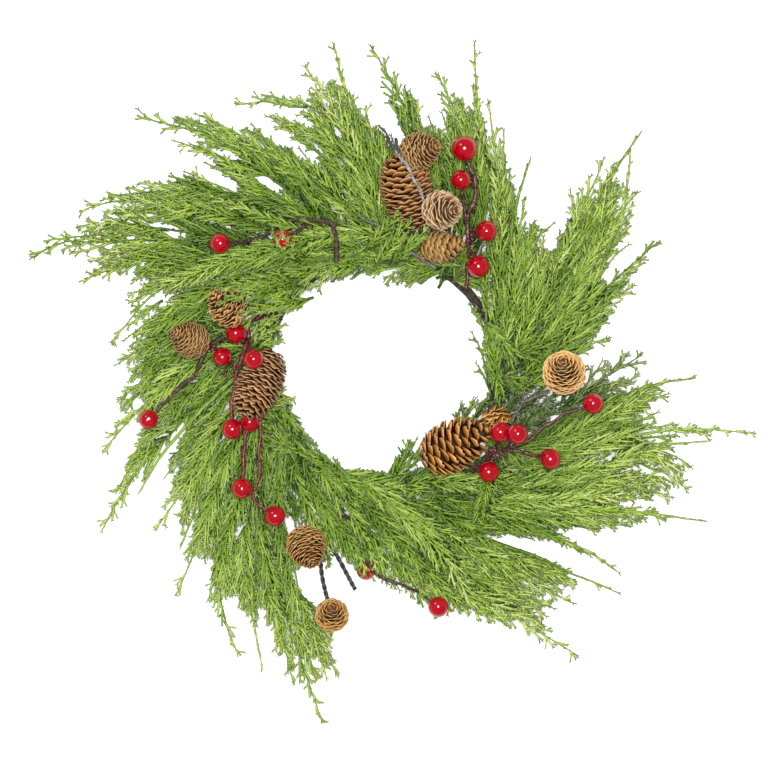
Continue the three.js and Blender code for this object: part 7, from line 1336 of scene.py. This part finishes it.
CONE_LOOK = {
    # name: material, scales, half width, length, lean table, flare, wave, pointedness, thickness
    "large_top": (CONE_TOP, 128, 5.8, 9.4, ([0, 0.1, 0.3, 0.52, 0.66, 0.8, 0.9, 1], [-4, 2, 8, 13, 32, 50, 62, 76]), 0.35, 0.4, 0.0, 0.66),
    "large_left": (CONE_LEFT, 160, 4.7, 8.4, ([0, 0.1, 0.3, 0.6, 0.75, 0.86, 0.94, 1], [-4, 0, 8, 15, 32, 50, 62, 76]), 0.35, 0.45, 0.0, 0.66),
    "large_right": (CONE_GOLD, 92, 5.2, 11.0, ([0, 0.1, 0.3, 0.6, 0.82, 1], [6, 18, 25, 28, 38, 64]), 0.2, 0.3, 0.6, 0.85),
    "small_top_a": (CONE_TAN, 108, 4.3, 6.8, ([0, 0.3, 0.7, 1], [14, 34, 46, 72]), 0.6, 0.45, 0.0, 0.52),
    "small_top_b": (CONE_PINK, 76, 5.2, 7.6, ([0, 0.3, 0.7, 1], [-6, 14, 36, 70]), 0.9, 0.9, 0.0, 0.55),
    "small_top_c": (CONE_AMBER, 62, 4.9, 7.0, ([0, 0.3, 0.7, 1], [22, 48, 60, 76]), 0.2, 0.3, 0.0, 0.6),
    "small_left_a": (CONE_BROWN, 88, 4.4, 6.6, ([0, 0.3, 0.7, 1], [8, 28, 46, 74]), 0.7, 0.7, 0.0, 0.55),
    "small_left_b": (CONE_STRAW, 158, 3.5, 5.8, ([0, 0.3, 0.7, 1], [16, 36, 50, 74]), 0.4, 0.25, 0.0, 0.48),
    "small_bottom_a": (CONE_UMBER, 160, 3.8, 6.2, ([0, 0.3, 0.7, 1], [8, 34, 50, 72]), 0.5, 0.3, 0.0, 0.46),
    "small_bottom_b": (CONE_RUST, 108, 3.8, 6.2, ([0, 0.3, 0.7, 1], [4, 26, 44, 70]), 0.8, 0.6, 0.0, 0.5),
    "small_right_a": (CONE_RIGHT, 176, 3.7, 6.4, ([0, 0.3, 0.7, 1], [4, 38, 56, 76]), 0.5, 0.3, 0.0, 0.46),
    "small_right_b": (CONE_PIECE, 44, 4.6, 7.4, ([0, 0.3, 0.7, 1], [-8, 6, 30, 70]), 1.2, 1.2, 0.0, 0.6),
}
CORE_PALE = bark_material("cone_core_pale", lin(66, 40, 13), lin(104, 68, 26), 700.0, 0.85)
for index, (name, centre, length, diameter, axis) in enumerate(CONES):
    rng = np.random.default_rng(3000 + index)
    material, count, half, plate, lean, flare, wave, point, thick = CONE_LOOK[name]
    big = name.startswith("large")
    if name == "small_right_b":                               # mostly hidden below the berries
        centre, diameter = (centre[0] - 3.6, centre[1] + 0.4, centre[2]), diameter * 0.9
    if name in ("small_bottom_b", "small_top_b"):
        length, diameter = length * 0.95, diameter * 0.95
    if big:
        axis = [-v for v in axis]                             # the tips of the three large cones are their higher ends
    kind = "large" if big else "small"
    bag = Bag()
    scales(bag, centre, axis, length, diameter, kind, count, half, plate, lean, rng,
           7 if big else 6, 6 if big else 5, thick, flare, wave, spin=index * 1.3, point=point,
           profile={"large_left": "left", "large_right": "right", "large_top": "top"}.get(name))
    core(bag, centre, axis, length, diameter, kind, 0.50, 1)
    ob = bag.object("pine_cone_" + name, [material, CORE_PALE if name in ("small_top_a", "small_top_b", "small_top_c", "small_left_b", "small_right_a", "small_bottom_a", "small_bottom_b") else CORE])
    place(ob, "cone_scale", "cone_" + name)

# ------------------------------------------------------------------ berries
BERRY, nt, b = nodes_of("berry_red")
n1 = noise(nt, 220.0, 2.0)
nt.links.new(ramp(nt, n1, [(0.3, lin(144, 0, 14)), (0.7, lin(170, 0, 24))]), b.inputs["Base Color"])
b.inputs["Roughness"].default_value = 0.06
b.inputs["Specular IOR Level"].default_value = 0.42
bump(nt, b, noise(nt, 260.0, 1.0), 0.05, 0.0003)
CALYX = bark_material("berry_calyx", lin(60, 26, 20), lin(96, 50, 36), 900.0)


def ball(bag, centre, radius, rng, m=26, n=17, mat=0, pole=(0, 0, 1)):
    """A berry: a slightly uneven ball with a dimple at the far end."""
    a = np.array(pole, float); a /= np.linalg.norm(a)
    h = np.array([1.0, 0, 0]) if abs(a[0]) < 0.9 else np.array([0, 1.0, 0])
    p = np.cross(a, h); p /= np.linalg.norm(p)
    q = np.cross(a, p)
    th = np.linspace(0.0, math.pi, n)[1:-1]
    f = 2 * np.pi * np.arange(m) / m
    k1, k2 = rng.uniform(0, 6.28, 2)
    T, F = np.meshgrid(th, f, indexing="ij")
    R = radius * (1 + 0.012 * np.sin(2 * F + k1) * np.sin(T) + 0.010 * np.sin(3 * T + k2)) - 0.5 * np.exp(-((T / 0.22) ** 2)) - 0.25 * np.exp(-(((math.pi - T) / 0.2) ** 2))
    P = (a * (R * np.cos(T))[..., None] + p * (R * np.sin(T) * np.cos(F))[..., None] + q * (R * np.sin(T) * np.sin(F))[..., None]).reshape(-1, 3)
    ends = np.array([a * (radius - 0.55), -a * (radius - 0.3)])
    co = np.vstack([P, ends]) + np.array(centre)
    rows = n - 2
    quads, tris = [], []
    for i in range(rows - 1):
        for j in range(m):
            quads.append((i * m + j, (i + 1) * m + j, (i + 1) * m + (j + 1) % m, i * m + (j + 1) % m))
    for j in range(m):
        tris.append((rows * m, j, (j + 1) % m))
        tris.append((rows * m + 1, (rows - 1) * m + (j + 1) % m, (rows - 1) * m + j))
    at = bag.n
    quads, tris = np.array(quads), np.array(tris)
    jj = np.arange(len(quads)) % m; ii = np.arange(len(quads)) // m
    uv = np.stack([np.stack([jj / m, (ii + 1) / n], -1), np.stack([jj / m, (ii + 2) / n], -1), np.stack([(jj + 1) / m, (ii + 2) / n], -1), np.stack([(jj + 1) / m, (ii + 1) / n], -1)], 1)
    bag.add(co, quads, uv, mat)
    bag.faces.append(tris + at)
    bag.uv.append(np.tile(np.array([[[0.5, 0.01], [0.4, 0.05], [0.6, 0.05]]]), (len(tris), 1, 1)))
    bag.mat.append(np.full(len(tris), mat))


for index, (name, centre, radius) in enumerate(BERRIES):
    rng = np.random.default_rng(5000 + index)
    bag = Bag()
    pole = rng.normal(0, 1, 3); pole[2] = -abs(pole[2]) * 0.6
    pole /= np.linalg.norm(pole)
    ball(bag, centre, radius, rng, pole=pole)
    c = np.array(centre)
    for k in range(5):                                   # the dried calyx in the dimple
        f = 2 * math.pi * k / 5
        h = np.cross(pole, [0.3, 0.5, 0.8]); h /= np.linalg.norm(h)
        g = np.cross(pole, h)
        out = h * math.cos(f) + g * math.sin(f)
        start = c + pole * (radius - 0.9)
        bag.tubes(np.array([[start, start + pole * 0.7 + out * 0.5, start + pole * 0.9 + out * 1.3]]), np.array([[0.4, 0.35, 0.12]]), tuple(out + 0.01), np.array([[0.3, 0.5, 0.9]]), np.array([0.5]), sides=4, flat=0.6, mat=1)
    ob = bag.object("berry_ball_" + name, [BERRY, CALYX], uv_name=None)
    place(ob, "berry_red", "berry_" + name)

# ------------------------------------------------------------------ stems, twig and wire
def wrap_material(name, dark, mid, light, scale=650.0, rough=0.55):
    m, nt, b = nodes_of(name)
    n1 = noise(nt, scale, 4.0, 0.65)
    n2 = noise(nt, scale * 0.22, 2.0, 0.5)
    # painted highlights: the light stop, scattered by the noise, stands partly for the pale mottling of the wrapping
    # and partly for glints
    c = ramp(nt, n1, [(0.30, dark), (0.5, mid), (0.72, light)])
    c = mix_colour(nt, math_node(nt, "MULTIPLY", n2, 0.5), c, mix_colour(nt, 1.0, c, (0.5, 0.45, 0.45), "MULTIPLY"))
    nt.links.new(c, b.inputs["Base Color"])
    b.inputs["Roughness"].default_value = rough
    b.inputs["Specular IOR Level"].default_value = 0.5
    bump(nt, b, noise(nt, scale * 1.6, 3.0), 0.7, 0.0004)
    return m


STEM_RED = wrap_material("stem_red", lin(50, 10, 14), lin(98, 22, 30), lin(172, 88, 88), rough=0.34)
STEM_DARK = wrap_material("stem_dark", lin(38, 13, 13), lin(78, 31, 30), lin(164, 116, 106), rough=0.34)
STEM_BROWN = wrap_material("stem_brown", lin(28, 18, 13), lin(58, 40, 29), lin(130, 108, 88), 520.0, 0.65)
TWIG_GREY = wrap_material("twig_grey", lin(66, 65, 62), lin(138, 137, 130), lin(214, 212, 204), 900.0, 0.6)
TWIG_DULL = wrap_material("twig_dull", lin(48, 44, 38), lin(96, 90, 80), lin(160, 154, 140), 700.0, 0.7)
TWIG_BLACK = wrap_material("twig_charcoal", lin(26, 28, 30), lin(50, 52, 54), lin(104, 106, 106), 700.0, 0.7)
WIRE = wrap_material("wire_black", lin(14, 14, 16), lin(28, 28, 31), lin(104, 108, 116), 900.0, 0.34)


def wound(bag, path, radius, mat, rng, tape=1.5, rib=0.12, sides=8, taper=None, step=0.7, uneven=1.0):
    """A stem wound with tape: a tube with a helical rib."""
    P0, L = spline(path, 8)
    n = max(6, int(L / step))
    P, L = spline(path, n)
    T = np.gradient(P, axis=0); T /= np.linalg.norm(T, axis=1)[:, None]
    up = np.array([0.13, 0.21, 0.97])
    S = np.cross(up, T); S /= np.linalg.norm(S, axis=1)[:, None]
    W = np.cross(T, S)
    f = 2 * np.pi * np.arange(sides) / sides
    s = np.linspace(0, L, n)
    sway = np.minimum(1, np.minimum(s, L - s) / 4.0) * uneven
    k = rng.uniform(0, 6.28, 4)
    P = P + S * (sway * (0.32 * np.sin(s / 2.6 + k[0]) + 0.28 * np.sin(s / 5.3 + k[1])))[:, None] + W * (sway * 0.3 * np.sin(s / 3.7 + k[2]))[:, None]
    lumps = 1 + uneven * (0.12 * np.sin(s / 1.15 + k[3]) + 0.10 * np.sin(s / 2.9 + k[0]))
    phase = (s[:, None] / tape - f[None, :] / (2 * np.pi)) % 1.0
    R = radius * (1 + rib * (1 - phase * 1.6)) * lumps[:, None]
    if taper is not None:
        R = R * np.interp(s / L, [0, 1], taper)[:, None]
    co = (P[:, None, :] + S[:, None, :] * (R * np.cos(f))[..., None] + W[:, None, :] * (R * np.sin(f))[..., None]).reshape(-1, 3)
    i = np.arange(n - 1)[:, None] * sides; j = np.arange(sides)[None, :]; j1 = (j + 1) % sides
    q = np.stack([i + j, i + j1, i + sides + j1, i + sides + j], -1).reshape(-1, 4)
    uv = np.stack([np.stack([s[:-1, None] / L + 0 * j, j / sides + 0 * i], -1), np.stack([s[:-1, None] / L + 0 * j, (j + 1) / sides + 0 * i], -1),
                   np.stack([s[1:, None] / L + 0 * j, (j + 1) / sides + 0 * i], -1), np.stack([s[1:, None] / L + 0 * j, j / sides + 0 * i], -1)], 2).reshape(-1, 4, 2)
    at = bag.n
    bag.add(co, q, uv, mat)
    for ids in (np.arange(sides)[::-1], (n - 1) * sides + np.arange(sides)):
        bag.faces.append((ids + at)[None]); bag.uv.append(np.full((1, sides, 2), 0.5)); bag.mat.append(np.array([mat]))


def bud(bag, at, r, mat, rng):
    """A small pointed bud on a stem."""
    at = np.array(at, float)
    d = rng.normal(0, 1, 3); d[2] = abs(d[2]); d /= np.linalg.norm(d)
    bag.tubes(np.array([[at - d * r * 0.6, at + d * r * 0.3, at + d * r * 1.1, at + d * r * 1.7]]), np.array([[r * 0.6, r * 0.85, r * 0.6, 0.12]]), (0.31, 0.2, 0.9), np.array([[0.2, 0.5, 0.7, 0.9]]), np.array([0.5]), sides=6, flat=1.0, mat=mat)


NODE_OF = {"top": "berry_stem_top", "upper_left": "berry_stem_upper_left", "left": "berry_stem_left", "left_lower": "berry_stem_left_lower",
           "bottom": "berry_stem_bottom", "right": "berry_stem_right"}
for index, (key, node) in enumerate(NODE_OF.items()):
    rng = np.random.default_rng(7000 + index)
    radius, routes = STEMS[key]
    bag = Bag()
    for k, route in enumerate(routes):
        if (key, k) == ("bottom", 0):                         # its first stretch lies below the foliage
            route = [[route[0][0], route[0][1], 14.0], [route[1][0], route[1][1], 17.0]] + list(route[2:])
        thick = {("left", 0): (1.55, 0.82), ("left", 1): (1.3, 1.2), ("top", 0): (1.35, 1.0), ("bottom", 0): (1.5, 0.7)}.get((key, k), (1.05, 0.82))
        if (key, k) == ("left", 0):
            wound(bag, route[:4], radius, 0, rng, taper=(1.6, 1.25))
            wound(bag, route[3:], radius, 1, rng, taper=(1.25, 0.82))
        else:
            brown = key == "upper_left" or (key, k) == ("bottom", 0)
            grey = (key, k) in (("right", 5), ("right", 6))          # a bare grey twig between the red branches
            wound(bag, route, radius * (1.0 if k == 0 else 0.86) * (1.2 if key == "upper_left" else 1.0), 3 if grey else 1 if brown else 0, rng, taper=thick)
        P, L = spline(route, max(4, int(0.6 * len(route)) + 3))
        P, L = spline(route, max(4, int(L / 7)))
        for c in P[1:-1]:
            bud(bag, c + np.array([rng.uniform(-0.8, 0.8), rng.uniform(-0.8, 0.8), 0.5]), rng.uniform(0.55, 0.95),
                1 if key == "upper_left" else 3 if key == "right" and k in (5, 6) else 0, rng)
    # tape ends bunched round the places where the branches meet
    for x0, y0, z0, dx, dy, many in {"right": [(495, 454, 30.0, 11, 6, 24), (478, 466, 20.0, 8, 5, 10)], "top": [(469, 236, 28.0, 4, 9, 12)],
                                     "left": [(214, 348, 26.0, 3, 3, 4), (235, 368, 31.0, 2.5, 4, 5), (226, 373, 28.0, 3, 2, 3)],
                                     "bottom": [(345, 516, 24.5, 3, 2, 4), (355, 519, 24.5, 2, 2, 3)]}.get(key, []):
        for k in range(many):
            c = np.array([(x0 + rng.uniform(-dx, dx) - 382) * 0.6, -(y0 + rng.uniform(-dy, dy) - 371) * 0.6, z0 + rng.uniform(-2, 3)])
            bud(bag, c, rng.uniform(0.8, 1.5), 1 if key == "bottom" else 0, rng)
    if key == "top":                                         # a thin pale stalk between two berries
        wound(bag, [[(484 - 382) * 0.6, -(243 - 371) * 0.6, 33.0], [(481 - 382) * 0.6, -(248 - 371) * 0.6, 35.0], [(477 - 382) * 0.6, -(256 - 371) * 0.6, 33.0]], 0.5, 2, rng)
    ob = bag.object("stem_" + key, [STEM_RED if key in ("left", "left_lower", "bottom", "upper_left") else STEM_DARK, STEM_BROWN, TWIG_GREY, TWIG_DULL], uv_name=None)
    place(ob, "stem_red", node)

rng = np.random.default_rng(7100)
radius, routes = STEMS["twig"]
bag = Bag()
# the foot goes in under the small cones
route = np.vstack([[[29.4, 65.4, 19.0], [28.8, 77.4, 22.0], [27.3, 88.2, 30.0], [26.1, 97.8, 45.0], [23.4, 105.6, 51.5]], np.array(routes[0])[4:]])
full, L = spline(route, 60)
dark_from = 46
wound(bag, full[:dark_from + 1], 0.9, 0, rng, tape=2.4, rib=0.14, taper=(0.9, 1.0), uneven=1.7)
wound(bag, full[dark_from:], 1.05, 1, rng, tape=2.4, rib=0.14, taper=(1.0, 0.75), uneven=1.8)
wound(bag, [[(402 - 382) * 0.6, -(163 - 371) * 0.6, 54.0], [(398 - 382) * 0.6, -(153 - 371) * 0.6, 53.5], [(395.5 - 382) * 0.6, -(141 - 371) * 0.6, 50.0]], 0.9, 1, rng, uneven=1.5, taper=(1.0, 0.9))
T = np.gradient(full, axis=0); T /= np.linalg.norm(T, axis=1)[:, None]
for k in range(8, 59, 3):
    side = 1 if (k // 3) % 2 else -1
    n = np.cross([0, 0, 1.0], T[k]); n /= np.linalg.norm(n)
    reach_ = rng.uniform(1.2, 2.2) * (1.7 if k in (26, 35) else 1.0)
    tip = full[k] + T[k] * reach_ * 0.8 + n * side * reach_ + np.array([0, 0, rng.uniform(-0.2, 0.9)])
    bag.tubes(np.array([[full[k], (full[k] + tip) / 2 + n * side * 0.2, tip]]), np.array([[0.62, 0.55, 0.26]]), (0.1, 0.1, 1), np.array([[0.3, 0.5, 0.9]]), np.array([0.5]), sides=5, flat=0.9, mat=0 if k < dark_from else 1)
# the rest of the same twig, which comes out of the foliage below the cones
low = [[(360 - 382) * 0.6, -(216 - 371) * 0.6, 29.0], [(383 - 382) * 0.6, -(230 - 371) * 0.6, 31.5], [(404 - 382) * 0.6, -(246 - 371) * 0.6, 31.5], [(420 - 382) * 0.6, -(259 - 371) * 0.6, 30.5], [(436 - 382) * 0.6, -(268 - 371) * 0.6, 27.0]]
wound(bag, low, 1.0, 2, rng, tape=2.0, rib=0.16, taper=(0.8, 1.1), uneven=1.2)
P, L = spline(low, 16)
for c in P[1:-1]:
    bud(bag, c + np.array([rng.uniform(-1, 1), rng.uniform(-1, 1), 0.4]), rng.uniform(0.5, 0.9), 2, rng)
c = P[12]
for k in range(6):                                        # a husk of thin tan scales where it is tied on
    f = 2 * math.pi * k / 6 + 0.3
    d = np.array([math.cos(f), math.sin(f), 0.25])
    bag.tubes(np.array([[c + d * 0.6, c + d * 2.0 + [0, 0, 0.4], c + d * 3.4]]), np.array([[0.7, 0.8, 0.15]]), (0, 0.1, 1), np.array([[0.3, 0.5, 0.9]]), np.array([0.5]), sides=4, flat=0.35, mat=3)
ob = bag.object("bare_twig", [TWIG_GREY, TWIG_BLACK, wrap_material("twig_mottled_with_glints", lin(60, 60, 52), lin(104, 102, 90), lin(168, 164, 148), 700.0, 0.75), bark_material("twig_husk", lin(118, 90, 62), lin(168, 136, 100), 900.0)], uv_name=None)
place(ob, "twig_grey", "bare_twig_top")

rng = np.random.default_rng(7200)
radius, routes = STEMS["wire"]
bag = Bag()
for number, route in enumerate(routes):
    if number == 1:                                        # it goes on under the lowest cone and shows again beyond it
        route = route + [[(328 - 382) * 0.6, -(604 - 371) * 0.6, 7.5], [(329 - 382) * 0.6, -(620 - 371) * 0.6, 5.0], [(330 - 382) * 0.6, -(641 - 371) * 0.6, 5.0]]
    P, L = spline(route, 60)
    T = np.gradient(P, axis=0); T /= np.linalg.norm(T, axis=1)[:, None]
    S = np.cross([0, 0, 1.0], T); S /= np.linalg.norm(S, axis=1)[:, None]
    W = np.cross(T, S)
    s = np.linspace(0, L, 60)
    for ph in (0, math.pi):                                # two strands twisted round each other
        a_ = (s + 0.5 * np.sin(s / 3.1)) / 8.5 * 2 * math.pi + ph
        C = P + (S * np.cos(a_)[:, None] + W * np.sin(a_)[:, None]) * 0.56 * radius
        C[:, 2] = np.maximum(C[:, 2], 1.05)
        bag.tubes(C[None], np.full((1, 60), 1.16 * radius), (0.07, 0.11, 0.99), np.linspace(0, 1, 60)[None], np.array([0.5]), sides=6, flat=1.0)
ob = bag.object("stem_wires", [WIRE], uv_name=None)
place(ob, "wire_black", "stem_wire_bottom")

# ------------------------------------------------------------------ ring of wrapped strands
RING = wrap_material("ring_strands", lin(26, 18, 14), lin(52, 38, 30), lin(104, 82, 66), 420.0, 0.7)
bag = Bag()
rng = np.random.default_rng(7300)
ring_r = (ring_hi.x - ring_lo.x) / 2 * 1000 - 3.2
mid_z = (ring_lo.z + ring_hi.z) / 2 * 1000 + 0.35
n = 180
f = 2 * np.pi * np.arange(n) / n
layouts = [(0.0, 0.0, 1)] + [(1.95, 2 * math.pi * k / 7, 7) for k in range(7)]
for off, ph, _ in layouts:
    turns = 5
    jit = 0.18 * np.sin(3 * f + rng.uniform(0, 6)) + 0.12 * np.sin(7 * f + rng.uniform(0, 6))
    a_ = ph + turns * f
    r = ring_r + (off + jit) * np.cos(a_)
    z = mid_z + (off + jit) * np.sin(a_)
    rad = 1.05 * (1 + 0.07 * np.sin(11 * f + rng.uniform(0, 6)))
    sides = 7
    T = np.stack([-np.sin(f), np.cos(f), 0 * f], 1); O = np.stack([np.cos(f), np.sin(f), 0 * f], 1); Z = np.array([0, 0, 1.0])
    C = O * r[:, None] + Z * z[:, None]
    g = 2 * np.pi * np.arange(sides) / sides
    co = C[:, None, :] + rad[:, None, None] * (O[:, None, :] * np.cos(g)[None, :, None] + Z[None, None, :] * np.sin(g)[None, :, None])
    co = co.reshape(-1, 3)
    co[:, 2] = np.maximum(co[:, 2], 0.02)
    i = np.arange(n)[:, None]; j = np.arange(sides)[None, :]
    q = np.stack([i * sides + j, ((i + 1) % n) * sides + j, ((i + 1) % n) * sides + (j + 1) % sides, i * sides + (j + 1) % sides], -1).reshape(-1, 4)
    uv = np.zeros((len(q), 4, 2)) + 0.5
    bag.add(co, q, uv, 0)
# binding turns of thin wire round the bundle
for k in range(26):
    c = 2 * math.pi * (k + rng.uniform(-0.2, 0.2)) / 26
    turn = np.linspace(0, 2 * math.pi, 15)[:-1]
    ang = c + 0.035 * np.linspace(0, 1, 14)
    rr_, zz = ring_r + 3.08 * np.cos(turn), mid_z + 3.0 * np.sin(turn)
    C = np.stack([rr_ * np.cos(ang), rr_ * np.sin(ang), zz], 1)
    bag.tubes(C[None], np.full((1, 14), 0.34), (0.3, 0.2, 0.93), np.linspace(0, 1, 14)[None], np.array([0.5]), sides=4, flat=1.0, mat=1)
ob = bag.object("ring_of_strands", [RING, WIRE], uv_name=None)
place(ob, "ring_wrap", "ring_frame")


# ------------------------------------------------------------------ floor, light, camera
floor_m, nt, b = nodes_of("studio_floor")
nt.links.new(ramp(nt, noise(nt, 3.0, 2.0), [(0.3, (0.86, 0.86, 0.865)), (0.7, (0.88, 0.88, 0.885))]), b.inputs["Base Color"])
b.inputs["Roughness"].default_value = 0.9
b.inputs["Specular IOR Level"].default_value = 0.1
b.inputs["Emission Color"].default_value = (1, 1, 1, 1)
b.inputs["Emission Strength"].default_value = 0.45
me = bpy.data.meshes.new("floor")
me.from_pydata([(-4, -4, 0), (4, -4, 0), (4, 4, 0), (-4, 4, 0)], [], [(0, 1, 2, 3)])
me.materials.append(floor_m)
floor = bpy.data.objects.new("floor", me)
bpy.context.scene.collection.objects.link(floor)
floor.location.z = -0.0002

world = bpy.data.worlds.new("studio")
bpy.context.scene.world = world
world.use_nodes = True
world.node_tree.nodes["Background"].inputs["Color"].default_value = (1, 1, 1, 1)
world.node_tree.nodes["Background"].inputs["Strength"].default_value = 0.36


def area(name, where, at, size, power):
    d = bpy.data.lights.new(name, "AREA")
    d.shape, d.size, d.size_y, d.energy = "RECTANGLE", size[0], size[1], power
    o = bpy.data.objects.new(name, d)
    o.location = where
    o.rotation_euler = (Vector(at) - Vector(where)).to_track_quat("-Z", "Y").to_euler()
    bpy.context.scene.collection.objects.link(o)
    return o


area("softbox_key", (-0.03, 0.05, 3.2), (0, 0, 0.02), (0.95, 0.95), 88)
area("softbox_wide", (0.0, 0.1, 3.3), (0, 0, 0.02), (1.5, 1.5), 36)
area("softbox_side", (-1.3, 1.5, 1.7), (0, 0, 0.02), (0.8, 0.8), 14)

camera_data = bpy.data.cameras.new("camera")
camera = bpy.data.objects.new("camera", camera_data)
bpy.context.scene.collection.objects.link(camera)
bpy.context.scene.camera = camera
camera_data.sensor_fit = "HORIZONTAL"
camera_data.sensor_width = 36.0
camera_data.lens = 200.0
VIEW_WIDTH = 0.4626          # what the frame takes in at the height of the foliage
VIEW_AT = ORIGIN + np.array([2.1, -7.8, 22.0]) * MM
camera.location = (VIEW_AT[0], VIEW_AT[1], VIEW_AT[2] + VIEW_WIDTH * camera_data.lens / camera_data.sensor_width)
camera_data.clip_end = 20
bpy.context.scene.view_settings.view_transform = "Standard"
